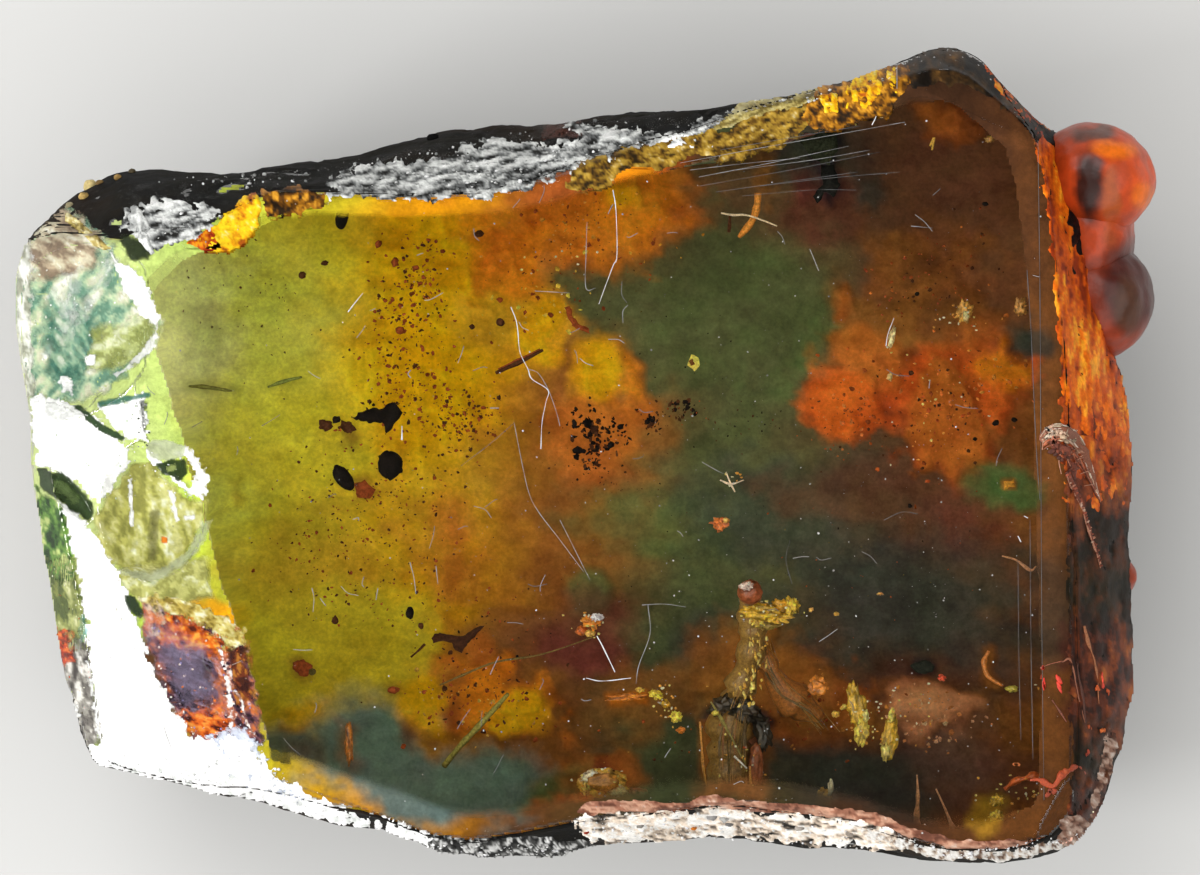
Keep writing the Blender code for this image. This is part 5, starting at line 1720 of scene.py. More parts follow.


# =============================================== films on the fractured end
# white of the frosted fracture faces and of the painted glare on them
FROST_AND_GLARE_WHITE = (252, 253, 250)
FILMS = (
    # outline, colour, strength, softness, raggedness, lift, settings
    # the shell-shaped scar
    (((18, 240), (36, 212), (60, 206), (84, 222), (112, 248), (122, 280), (132, 300), (145, 318),
      (162, 322), (156, 345), (140, 362), (118, 380), (98, 397), (60, 402), (30, 400), (16, 340)),
     ((0, (104, 146, 124)), (0.22, (158, 188, 156)), (0.42, (194, 212, 172)), (0.62, (216, 216, 186)),
      (0.84, (244, 246, 236))), 0.88, 5, 5, 0.010, dict(size=11, stretch=2.2, turn=-50)),
    (((24, 240), (60, 208), (102, 236), (98, 266), (60, 278), (24, 276)),
     ((0, (146, 124, 104)), (0.28, (190, 170, 142)), (0.55, (224, 214, 184)), (0.82, (250, 246, 230))),
     0.8, 7, 7, 0.016, dict(size=8, stretch=2.8, turn=24)),
    (((46, 292), (88, 300), (98, 352), (80, 380), (48, 372)),
     ((0, (62, 114, 98)), (0.38, (104, 152, 128)), (0.66, (150, 184, 152)), (0.88, (214, 226, 204))),
     0.72, 9, 8, 0.016, dict(size=9, stretch=2.0, turn=60)),
    (((92, 330), (150, 314), (161, 330), (140, 360), (112, 374), (90, 366)),
     ((0, (146, 154, 80)), (0.45, (194, 204, 126)), (0.8, (232, 238, 194))), 0.7, 6, 5, 0.018,
     dict(size=7, stretch=2.5, turn=-34)),
    (((16, 236), (32, 226), (30, 300), (34, 396), (22, 398), (14, 320)),
     ((0, (168, 170, 150)), (0.45, (222, 224, 208)), (0.75, (252, 252, 246))), 0.85, 3, 4, 0.020,
     dict(size=6, stretch=3.0, turn=86)),
    (((112, 568), (150, 566), (206, 560), (212, 596), (180, 604), (140, 600), (126, 592)),
     ((0, (150, 150, 80)), (0.4, (184, 184, 108)), (0.75, (214, 216, 166))), 0.9, 5, 4, 0.012,
     dict(size=10, stretch=1.5, turn=-30)),
    (((112, 250), (118, 262), (92, 310), (66, 340), (60, 330), (92, 286)), (234, 240, 228), 0.6, 6, 4,
     0.020, dict(fibre=0.75, turn=-52)),
    (((60, 268), (80, 280), (74, 320), (60, 316)), (236, 240, 232), 0.5, 5, 4, 0.020,
     dict(fibre=0.6, turn=-70)),
    (((112, 330), (150, 318), (158, 330), (140, 358), (112, 368)), (206, 216, 150), 0.45, 6, 4, 0.016,
     dict(fibre=0.3, turn=-30)),
    # white strips and spots on and along the rims of the scar: painted glare
    (((110, 252), (122, 264), (136, 267), (151, 290), (161, 318), (158, 326), (144, 318), (131, 300),
      (121, 280)), FROST_AND_GLARE_WHITE, 1.0, 1.6, 2.0, 0.026, dict(step=1.6)),
    (((158, 326), (156, 345), (140, 361), (118, 379), (114, 376), (136, 356), (151, 341)), FROST_AND_GLARE_WHITE, 0.7,
     1.5, 1.5, 0.024, dict(step=1.6)),
    (((30, 396), (60, 400), (100, 418), (98, 423), (58, 406), (30, 402)), FROST_AND_GLARE_WHITE, 0.9, 1.5, 2, 0.024,
     dict(step=1.6)),
    (((84, 356), (95, 355), (95, 365), (86, 366)), FROST_AND_GLARE_WHITE, 0.9, 1.5, 1, 0.024, dict(step=1.4)),
    (((60, 376), (74, 380), (74, 394), (62, 392)), FROST_AND_GLARE_WHITE, 0.85, 2, 2, 0.024, dict(step=1.4)),
    (((98, 402), (150, 392), (151, 396), (100, 408)), (66, 120, 104), 0.8, 1.6, 1.5, 0.026,
     dict(step=1.6)),
    # white facets: frosted fracture faces with painted glare
    (((37, 395), (60, 402), (95, 418), (120, 440), (131, 450), (131, 462), (118, 475), (112, 490),
      (100, 501), (88, 494), (75, 481), (50, 471), (38, 469), (33, 440), (30, 400)), FROST_AND_GLARE_WHITE, 1.0, 1.8,
     3.0, 0.018, dict(step=1.8)),
    (((98, 405), (125, 402), (142, 392), (146, 400), (148, 441), (135, 436), (125, 438), (110, 421)),
     FROST_AND_GLARE_WHITE, 1.0, 1.6, 2.0, 0.020, dict(step=1.6)),
    (((140, 445), (150, 460), (165, 475), (180, 485), (190, 497), (203, 499), (209, 480), (201, 462),
      (185, 446), (176, 452), (190, 462), (196, 478), (190, 486), (180, 478), (166, 466), (152, 450)),
     FROST_AND_GLARE_WHITE, 1.0, 1.6, 2.0, 0.024, dict(step=1.6)),
    (((60, 503), (74, 506), (91, 530), (115, 565), (130, 600), (143, 640), (160, 680), (175, 710),
      (190, 735), (202, 749), (150, 760), (100, 752), (92, 700), (88, 640), (80, 590), (70, 540)),
     FROST_AND_GLARE_WHITE, 1.0, 1.8, 3.0, 0.018, dict(step=2.0)),
    (((70, 404), (78, 405), (100, 422), (126, 438), (122, 442), (96, 428)), (48, 70, 40), 0.95, 1.3,
     1.5, 0.030, dict(step=1.5)),
    (((140, 398), (146, 400), (147, 438), (141, 430)), (44, 50, 40), 0.85, 1.4, 2.5, 0.030,
     dict(step=1.4, fibre=0.5, turn=80)),
    (((145, 444), (165, 440), (185, 446), (184, 457), (160, 461), (150, 456)), (206, 214, 176), 0.7,
     2, 2, 0.030, dict(step=1.6)),
    (((155, 463), (185, 458), (189, 474), (180, 481), (162, 473)), (44, 60, 30), 0.92, 1.6, 2, 0.034,
     dict(step=1.6)),
    (((166, 466), (176, 463), (178, 470), (168, 472)), (150, 164, 96), 0.8, 1.5, 1.5, 0.038,
     dict(step=1.4)),
    (((38, 469), (60, 472), (82, 487), (90, 500), (94, 506), (91, 526), (82, 516), (62, 503),
      (41, 486)), (46, 62, 34), 0.95, 1.8, 2.5, 0.026, dict(step=1.6, vary=0.35)),
    (((50, 478), (66, 482), (80, 498), (76, 504), (58, 494)), (96, 116, 66), 0.6, 2.5, 2.5, 0.030,
     dict(step=1.6)),
    # the round chip
    (((95, 520), (112, 490), (132, 464), (150, 462), (166, 478), (190, 500), (207, 502), (204, 524),
      (188, 556), (150, 579), (116, 570), (98, 546)),
     ((0, (148, 146, 72)), (0.32, (184, 182, 96)), (0.62, (208, 206, 134)), (0.88, (236, 238, 206))),
     0.82, 4, 4, 0.012, dict(size=10, stretch=1.8, turn=70)),
    (((205, 518), (212, 520), (196, 556), (154, 584), (113, 573), (112, 566), (150, 574), (186, 552)),
     (196, 204, 164), 0.55, 2.5, 2.5, 0.018, dict(step=1.8)),
    (((128, 480), (132, 478), (134, 526), (130, 526)), FROST_AND_GLARE_WHITE, 0.9, 1.3, 1.0, 0.024, dict(step=1.3)),
    (((168, 490), (173, 489), (180, 520), (176, 522)), FROST_AND_GLARE_WHITE, 0.8, 1.3, 1.0, 0.024, dict(step=1.3)),
    (((185, 516), (195, 515), (195, 519), (186, 520)), FROST_AND_GLARE_WHITE, 0.9, 1.2, 0.6, 0.024, dict(step=1.3)),
    (((162, 537), (168, 537), (168, 543), (162, 543)), (236, 130, 30), 0.9, 1.3, 0.8, 0.024,
     dict(step=1.3)),
    (((150, 512), (160, 510), (156, 560), (148, 562)), (110, 108, 66), 0.5, 3, 2, 0.020, dict()),
    # the narrow outer strip
    (((36, 486), (60, 503), (73, 545), (78, 576), (56, 582), (40, 556)),
     ((0, (30, 54, 26)), (0.34, (62, 100, 42)), (0.62, (108, 148, 64)), (0.86, (196, 210, 130))), 0.95,
     4, 5, 0.012, dict(size=7, stretch=2.4, turn=78, step=1.7)),
    (((42, 560), (78, 560), (86, 610), (92, 644), (60, 652), (48, 604)),
     ((0, (84, 96, 50)), (0.32, (134, 142, 74)), (0.58, (174, 180, 112)), (0.84, (226, 226, 176))),
     0.95, 5, 5, 0.012, dict(size=7, stretch=2.8, turn=80, step=1.7)),
    (((52, 644), (90, 638), (98, 700), (106, 726), (92, 756), (72, 748), (58, 700)),
     ((0, (66, 60, 56)), (0.26, (116, 110, 104)), (0.5, (160, 156, 146)), (0.76, (236, 232, 224))),
     0.95, 5, 5, 0.012, dict(size=6, stretch=2.4, turn=80, step=1.7)),
    (((54, 628), (70, 632), (72, 658), (60, 668), (54, 650)),
     ((0, (120, 36, 22)), (0.34, (200, 66, 28)), (0.7, (244, 130, 60))), 0.85, 4, 5, 0.018,
     dict(step=1.5, size=5, grainy=5)),
    (((80, 600), (84, 602), (86, 638), (82, 640)), (90, 190, 190), 0.5, 1.5, 3, 0.020,
     dict(step=1.5, fibre=0.7, turn=85)),
    (((70, 704), (80, 706), (80, 720), (72, 718)), FROST_AND_GLARE_WHITE, 0.9, 1.5, 4, 0.020, dict(step=1.4, grainy=4)),
    # the window chip
    (((138, 597), (180, 601), (212, 613), (235, 626), (245, 634), (250, 660), (258, 700), (262, 742),
      (204, 752), (186, 728), (164, 686), (146, 640)),
     ((0, (26, 15, 28)), (0.22, (62, 36, 50)), (0.42, (104, 66, 74)), (0.58, (146, 92, 80)),
      (0.74, (196, 106, 56)), (0.92, (238, 204, 196))), 0.95, 3, 4, 0.010,
     dict(size=6, stretch=2.2, turn=58, step=1.7)),
    (((140, 596), (180, 598), (212, 610), (236, 624), (245, 633), (240, 646), (228, 652), (220, 638),
      (196, 622), (160, 612)),
     ((0, (136, 116, 46)), (0.28, (186, 164, 78)), (0.56, (214, 202, 124)), (0.84, (244, 238, 200))),
     0.9, 3, 5, 0.016, dict(step=1.6, size=6, stretch=2.0, turn=24, grainy=6)),
    (((148, 610), (196, 622), (228, 642), (220, 656), (190, 654), (156, 642)),
     ((0, (84, 28, 16)), (0.2, (164, 66, 18)), (0.44, (224, 108, 24)), (0.76, (252, 176, 66))), 0.85,
     5, 7, 0.016, dict(step=1.7, size=5, stretch=1.6, turn=40, grainy=6)),
    (((158, 652), (202, 650), (212, 672), (206, 708), (188, 708), (168, 684)),
     ((0, (18, 11, 22)), (0.38, (42, 25, 38)), (0.66, (82, 48, 52)), (0.88, (150, 120, 150))), 0.8,
     8, 8, 0.018, dict(size=7, stretch=2.2, turn=58, grainy=7)),
    (((180, 706), (222, 704), (234, 728), (208, 744), (190, 732)),
     ((0, (76, 26, 14)), (0.24, (158, 58, 18)), (0.48, (222, 102, 28)), (0.8, (250, 156, 64))), 0.85,
     5, 8, 0.018, dict(step=1.7, size=5, stretch=2.0, turn=18, grainy=6)),
    (((226, 650), (246, 648), (254, 704), (240, 704)),
     ((0, (56, 24, 16)), (0.4, (118, 54, 26)), (0.76, (188, 120, 44))), 0.8, 4, 6, 0.018,
     dict(size=6, stretch=2.0, turn=78, grainy=6)),
    # violet painted sheen over the window chip
    (((150, 640), (214, 650), (222, 716), (190, 716), (164, 682)), (176, 166, 196), 0.34, 8, 8, 0.022,
     dict(step=1.2, fibre=0.9, turn=28)),
    (((140, 620), (200, 640), (216, 700), (180, 700)), (156, 142, 170), 0.28, 12, 8, 0.024, dict()),
    (((140, 600), (170, 604), (160, 640), (150, 636)), (250, 226, 200), 0.6, 3, 5, 0.022,
     dict(step=1.4, fibre=0.9, turn=64)),
    (((198, 738), (246, 730), (264, 768), (300, 800), (270, 790), (226, 772)), (222, 230, 248), 0.9, 7,
     12, 0.022, dict(step=1.6, grainy=4)),
    (((125, 595), (136, 596), (144, 612), (142, 620), (130, 612)), (40, 54, 32), 0.95, 1.5, 1.5, 0.024,
     dict(step=1.4)),
    (((217, 648), (223, 650), (231, 670), (233, 700), (236, 724), (231, 726), (227, 700), (225, 672)),
     ((0, (170, 96, 70)), (0.28, (232, 200, 186)), (0.5, (255, 250, 246))), 0.95, 1.2, 3.5, 0.026,
     dict(step=1.2, size=3, grainy=3)),
    (((232, 690), (235, 690), (244, 700), (245, 716), (256, 734), (253, 736), (242, 716), (241, 703)),
     ((0, (150, 110, 96)), (0.35, (226, 206, 196)), (0.6, (255, 250, 246))), 0.9, 1.0, 2.5, 0.026,
     dict(step=1.2, size=3, grainy=3)),
    # sparse grey fibres on the dark crust, and its browner patch
    (((110, 186), (200, 178), (330, 166), (450, 142), (560, 124), (700, 114), (690, 124), (560, 146),
      (440, 160), (330, 182), (230, 204), (126, 208)), (84, 84, 82), 0.28, 5, 5, 0.020,
     dict(step=2.0, fibre=0.97, turn=-12)),
    (((540, 116), (584, 114), (584, 136), (544, 138)), (80, 46, 36), 0.8, 4, 5, 0.024, dict()),
    (((115, 236), (150, 240), (150, 262), (130, 258)), (44, 54, 34), 0.9, 2.5, 3, 0.020, dict()),
)


def build_slope_skin():
    """Opaque skin over the sloping bevel and facets, in the resin's own tones a little darker, painted in place of the
    slopes' reflection of the pale floor.
    """
    u, v, rows, cols = sheet_grid(((14, 40), (1142, 40), (1142, 868), (14, 868)), 0, 2.5)
    near = (outline_distance(u, v, FACE) > -34) | (u < 290)
    spot, normal, hit = np.zeros((len(u), 3)), np.zeros((len(u), 3)), np.zeros(len(u), bool)
    bare, bare_hit = np.zeros((len(u), 3)), np.zeros(len(u), bool)
    spot[near], normal[near], hit[near] = project(u[near], v[near])
    bare[near], side, bare_hit[near] = project(u[near], v[near], surface_tree(body))
    glass = hit & bare_hit & (np.linalg.norm(spot - bare, axis=1) < 0.03)
    slope = np.degrees(np.arccos(np.clip(normal[:, 2], -1, 1)))
    # smooth shading turns a little before the face itself does, so the skin begins there
    wide = np.where(glass, np.minimum(slope, 4.4), 0.0).reshape(rows, cols)
    for axis, reach in ((0, 5), (1, 1)):
        wide = np.max([np.roll(wide, k, axis) for k in range(-reach, reach + 1)], axis=0)
    for axis in (0, 1):
        wide = np.mean([np.roll(wide, k, axis) for k in range(-2, 3)], axis=0)
    slope = np.where(u < 290, slope, np.maximum(slope, wide.ravel()))
    cover = 0.97 * ease((slope - 1.4) / 2.8)
    tone = 0.8 * resin_tone(u, v) * (1 + 0.16 * clouds(flat3(u / 9, v / 9), 4, 611)
                                     + 0.14 * clouds(flat3(u / 30, v / 24, 5.0), 3, 613))[:, None]
    corner = (np.exp(-((u - 955) / 62) ** 2 - ((v - 66) / 34) ** 2) * 0.8)[:, None]
    tone = tone * (1 - corner) + linear(56, 38, 24) * corner
    pile = Pile()
    add_cover_grid(pile, spot + normal * 0.005, rows, cols, np.clip(tone / DAY, 0.002, 0.93), cover,
                   near & glass & (slope > 1.2))
    pile.make("bevel_slope_skin", SLOPE_SKIN, closed=False)


SLOPE_SKIN = veil_material("bevel_slope_skin", 0.04, 0.6, 6.0, 1.6, 0.84, 1.14, 0.02)
build_slope_skin()


def build_films():
    pile = Pile()
    for i, (outline, colour, strength, soft, ragged, lift, settings) in enumerate(FILMS):
        if colour is FROST_AND_GLARE_WHITE and ragged < 4:
            settings = dict(settings, grainy=4.5)
            ragged = ragged * 1.7
        frost(pile, outline, colour, strength, soft, ragged, lift, seed=900 + i, **settings)
    pile.make("frosted_films", FILM, closed=False)
    grains = Pile()
    for outline, count, tones in (
            (((36, 396), (150, 400), (150, 440), (205, 490), (200, 500), (110, 500), (40, 472)), 110,
             ((250, 252, 248), (190, 206, 180))),
            (((136, 396), (150, 396), (150, 446), (138, 444)), 46, ((40, 48, 36), (250, 250, 246))),
            (((30, 250), (110, 250), (150, 320), (110, 380), (36, 384)), 60,
             ((250, 252, 248), (226, 232, 214))),
            (((60, 506), (92, 530), (146, 640), (204, 748), (190, 750), (130, 640), (84, 540)), 60,
             ((252, 252, 250), (226, 226, 214))),
            (((150, 606), (240, 634), (256, 734), (196, 740), (160, 660)), 90,
             ((240, 220, 210), (226, 120, 50), (150, 140, 190))),
            (((196, 736), (262, 740), (300, 800), (230, 780)), 120, ((252, 252, 252), (214, 222, 240))),
            (((50, 560), (84, 600), (98, 720), (70, 740), (50, 620)), 50,
             ((226, 226, 206), (90, 80, 60), (200, 84, 40)))):
        scatter(grains, outline, count, 0.5, 1.7, [outer(*t) for t in tones], 801 + count, 0.02)
    grains.make("end_grains", GRAINS)


FILM = veil_material("frosted_film", 0.06, 0.5, 7.0, 2.2, 0.88, 1.10, 0.06)
GRAINS = sealed_material("end_grains", 0.6, 0.15, 14.0, 0.85, 1.12, 0.02)
build_films()


# ============================================================ sealed debris
BLACK, UMBER, RUST, OLIVE = inner(14, 10, 7), inner(56, 30, 14), inner(118, 50, 20), inner(66, 58, 24)
LUMPS = (
    # u, v, height, half sizes and turn, colour, detail, roughness
    (342, 216, 17.2, 6.4, 13.5, 5.5, 8, BLACK, 4, 0.07), (343, 478, 16.8, 14.5, 7.5, 6.5, 54, BLACK, 4, 0.10),
    (390, 465, 16.8, 12.0, 13.5, 7.0, 10, BLACK, 3, 0.10), (326, 425, 16.6, 6.5, 5.0, 4.0, 10, UMBER, 3, 0.45),
    (336, 420, 16.6, 4.5, 3.5, 3.0, 0, BLACK, 2, 0.4), (410, 613, 16.8, 4.2, 6.2, 4.0, 0, BLACK, 3, 0.12),
    (335, 620, 16.5, 3.2, 4.0, 3.0, 0, UMBER, 2, 0.3), (421, 626, 16.5, 2.5, 3.0, 2.5, 0, UMBER, 2, 0.3),
    (500, 322, 16.2, 4.2, 3.8, 3.5, 0, UMBER, 2, 0.3), (472, 327, 16.2, 2.8, 2.4, 2.4, 0, UMBER, 2, 0.3),
    (400, 330, 14.5, 5.0, 3.6, 3.0, 0, RUST, 2, 0.3), (302, 275, 15.5, 4.0, 3.6, 3.0, 0, UMBER, 2, 0.4),
    (325, 263, 15.5, 3.6, 2.6, 2.6, 0, UMBER, 2, 0.4), (302, 668, 14.0, 10.0, 8.0, 4.0, 0, RUST, 3, 0.35),
    (312, 672, 14.6, 4.0, 3.6, 3.0, 0, OLIVE, 2, 0.3), (393, 690, 14.0, 5.5, 3.8, 3.0, 0, RUST, 2, 0.3),
    (985, 204, 16.5, 3.4, 2.2, 2.2, 10, BLACK, 2, 0.2), (917, 294, 16.5, 2.4, 2.2, 2.0, 0, BLACK, 2, 0.2),
    (996, 423, 16.5, 3.4, 3.0, 2.6, 0, BLACK, 2, 0.3), (1014, 420, 16.5, 2.8, 2.4, 2.2, 0, BLACK, 2, 0.3),
    (975, 439, 16.5, 2.2, 2.0, 2.0, 0, BLACK, 2, 0.3), (910, 506, 16.5, 2.4, 2.2, 2.0, 0, BLACK, 2, 0.3),
    (911, 373, 16.5, 2.6, 2.4, 2.2, 0, UMBER, 2, 0.3), (424, 831, 15.5, 4.0, 3.0, 2.5, 0, OLIVE, 2, 0.3),
    (923, 667, 15.5, 10.5, 6.2, 3.0, 4, inner(22, 24, 18), 3, 0.25),
    (479, 234, 15.5, 4.2, 3.4, 3.0, 0, UMBER, 2, 0.4), (395, 262, 15.2, 4.0, 5.0, 3.0, 20, RUST, 2, 0.4),
    (378, 244, 15.2, 3.0, 4.0, 3.0, 20, RUST, 2, 0.4), (416, 268, 15.2, 3.0, 2.6, 2.6, 0, RUST, 2, 0.4),
)
PLATES = (
    # outline, height, thickness, colour, lean
    (((352, 417), (366, 410), (384, 407), (394, 401), (399, 407), (402, 414), (396, 423), (390, 431),
      (386, 433), (382, 422), (372, 423), (361, 422)), 16.9, 0.10, BLACK, (0.02, 0.04)),
    (((340, 420), (352, 424), (356, 430), (348, 434), (340, 428)), 16.4, 0.08, UMBER, (0.03, 0.0)),
    (((378, 455), (387, 450), (398, 454), (403, 462), (402, 473), (390, 480), (378, 472)), 17.3, 0.16,
     BLACK, (0.01, 0.02)),
    (((354, 484), (366, 481), (376, 490), (370, 500), (358, 497)), 16.2, 0.10, RUST, (0.04, 0.02)),
    (((431, 638), (440, 632), (455, 635), (463, 635), (477, 628), (484, 625), (477, 635), (468, 643),
      (462, 653), (456, 650), (452, 643), (443, 641), (433, 643)), 15.8, 0.08, inner(48, 26, 14),
     (0.02, 0.03)),
    (((564, 307), (570, 306), (576, 322), (590, 328), (590, 333), (572, 327)), 15.0, 0.08, RUST,
     (0.02, 0.0)),
    (((692, 355), (698, 358), (699, 368), (694, 371), (688, 366)), 16.8, 0.08, inner(240, 200, 70),
     (0.05, 0.0)),
    (((689, 360), (693, 358), (694, 364), (690, 366)), 17.0, 0.06, inner(90, 50, 20), (0.0, 0.0)),
    (((820, 165), (834, 164), (840, 184), (834, 198), (824, 192), (818, 204), (814, 196), (822, 184)),
     15.5, 0.12, inner(18, 18, 15), (0.05, 0.02)),
    (((809, 128), (836, 128), (839, 150), (828, 166), (812, 158), (800, 142)), 13.0, 0.10,
     inner(34, 38, 26), (0.04, 0.02)),
    (((1003, 481), (1014, 480), (1015, 487), (1004, 489)), 15.5, 0.08, inner(226, 130, 40), (0, 0)),
    (((1010, 149), (1024, 147), (1026, 168), (1014, 171)), 15.0, 0.10, inner(206, 96, 36), (0.03, 0)),
    (((1004, 120), (1010, 118), (1011, 128), (1005, 128)), 16.0, 0.08, inner(190, 50, 30), (0, 0)),
)
FRAGMENTS = (
    # u, v, half spread along and across, turn, count, small, large, colours, heights
    (588, 428, 13, 15, 0, 46, 2.0, 6.0, (BLACK, BLACK, UMBER), (15.5, 17.2)),
    (612, 436, 14, 18, 0, 46, 1.6, 5.0, (BLACK, UMBER), (15.5, 17.2)),
    (594, 458, 12, 13, 0, 30, 1.5, 4.5, (BLACK, UMBER), (15.5, 17.0)),
    (576, 420, 10, 8, 0, 18, 1.6, 4.5, (BLACK,), (15.8, 17.0)),
    (652, 420, 10, 10, 0, 26, 1.4, 4.2, (BLACK, UMBER), (15.5, 17.0)),
    (682, 408, 11, 8, -12, 24, 1.4, 4.5, (BLACK, UMBER), (15.5, 17.0)),
    (668, 415, 26, 12, -12, 30, 0.8, 2.2, (UMBER, RUST), (15.0, 17.0)),
    (378, 408, 22, 10, -10, 12, 1.4, 3.2, (BLACK, UMBER), (15.8, 17.0)),
    (345, 428, 16, 8, 10, 12, 1.2, 3.0, (UMBER, RUST), (15.8, 16.8)),
    (366, 490, 14, 9, 10, 12, 1.2, 3.0, (UMBER, RUST), (15.8, 16.8)),
    (410, 300, 34, 70, 14, 300, 0.9, 3.2, (UMBER, RUST, RUST), (10.0, 17.0)),
    (420, 390, 42, 46, 0, 210, 0.9, 3.2, (UMBER, RUST, RUST), (10.0, 17.0)),
    (470, 420, 26, 26, 0, 130, 0.9, 3.2, (UMBER, RUST), (10.0, 17.0)),
    (400, 500, 60, 60, 0, 200, 0.8, 2.6, (UMBER, RUST), (10.0, 17.0)),
    (330, 540, 60, 60, 30, 130, 0.8, 2.4, (UMBER, RUST), (10.0, 17.0)),
    (250, 300, 60, 60, 0, 60, 0.7, 1.8, (UMBER, OLIVE), (10.0, 17.0)),
    (400, 600, 90, 30, 0, 120, 0.7, 2.4, (UMBER, RUST), (10.0, 17.0)),
    (850, 410, 40, 40, 0, 70, 1.0, 3.4, (inner(206, 96, 44), inner(176, 74, 30), RUST), (8.0, 12.0)),
    (950, 400, 50, 60, 0, 110, 1.0, 3.6, (inner(196, 88, 36), inner(160, 62, 26), RUST), (8.0, 12.0)),
    (1000, 370, 36, 26, 0, 40, 1.0, 3.2, (inner(214, 118, 44), inner(186, 88, 34)), (8.0, 12.0)),
    (930, 270, 60, 44, -40, 60, 1.0, 3.2, (inner(140, 58, 32), RUST, UMBER), (8.0, 12.0)),
    (600, 230, 60, 40, 0, 90, 1.0, 3.6, (inner(226, 130, 40), RUST), (8.0, 13.0)),
    (540, 300, 40, 30, -20, 70, 1.0, 3.6, (inner(240, 170, 50), RUST), (8.0, 13.0)),
    (480, 700, 60, 34, 0, 110, 1.0, 3.8, (inner(206, 140, 50), RUST, UMBER), (8.0, 13.0)),
    (820, 710, 60, 30, 0, 80, 1.0, 3.6, (inner(196, 110, 44), RUST), (8.0, 13.0)),
    (930, 720, 40, 26, 0, 80, 1.0, 4.0, (inner(226, 140, 100), inner(206, 110, 60)), (8.0, 13.0)),
    (600, 470, 60, 30, 20, 70, 0.6, 1.8, (BLACK, UMBER), (13.0, 17.0)),
    (740, 430, 60, 30, 0, 46, 0.6, 1.7, (BLACK, UMBER), (13.0, 17.0)),
    (560, 250, 60, 36, 0, 46, 0.6, 1.8, (RUST, UMBER), (12.0, 16.0)),
    (640, 340, 70, 50, 0, 40, 0.6, 1.5, (BLACK, OLIVE), (12.0, 17.0)),
    (860, 420, 50, 40, 0, 60, 0.7, 2.2, (RUST, RUST, UMBER), (12.0, 16.0)),
    (950, 410, 40, 46, 0, 80, 0.7, 2.6, (RUST, UMBER, inner(222, 110, 40)), (11.0, 16.0)),
    (930, 280, 50, 40, -30, 60, 0.7, 2.2, (RUST, UMBER, inner(200, 90, 36)), (11.0, 16.0)),
    (460, 690, 44, 26, 10, 60, 0.8, 2.6, (RUST, UMBER), (12.0, 16.0)),
    (500, 640, 60, 30, 0, 60, 0.7, 2.2, (RUST, UMBER, BLACK), (12.0, 16.5)),
    (800, 560, 200, 60, 0, 90, 0.5, 1.5, (OLIVE, BLACK, RUST), (12.0, 17.0)),
    (700, 740, 110, 40, 0, 70, 0.7, 2.4, (RUST, UMBER, inner(210, 130, 50)), (11.0, 16.0)),
)


def chip(pile, rng, u, v, z, size, stretch, turn, colour):
    """Small flat fragment with a broken outline."""
    n = rng.randint(6, 10)
    a = 2 * math.pi * (np.arange(n) + rng.uniform(-0.3, 0.3, n)) / n
    r = size * rng.uniform(0.55, 1.1, n)
    t = math.radians(turn)
    x, y = r * np.cos(a), r * np.sin(a) * stretch
    line = np.stack([u + x * math.cos(t) - y * math.sin(t), v + x * math.sin(t) + y * math.cos(t)], 1)
    lean = rng.uniform(-0.25, 0.25, 2)
    top = np.array([deep(p[0], p[1], z + ((p[0] - u) * lean[0] + (p[1] - v) * lean[1]) * UNIT)
                    for p in line])
    verts = np.concatenate([top, top - [0, 0, 0.08 + size * 0.012]])
    faces = [tuple(reversed(range(n))), tuple(range(n, 2 * n))]
    faces += [(i, (i + 1) % n, n + (i + 1) % n, n + i) for i in range(n)]
    pile.add(verts, faces, np.clip(np.asarray(colour) * rng.uniform(0.7, 1.4), 0, 0.9))


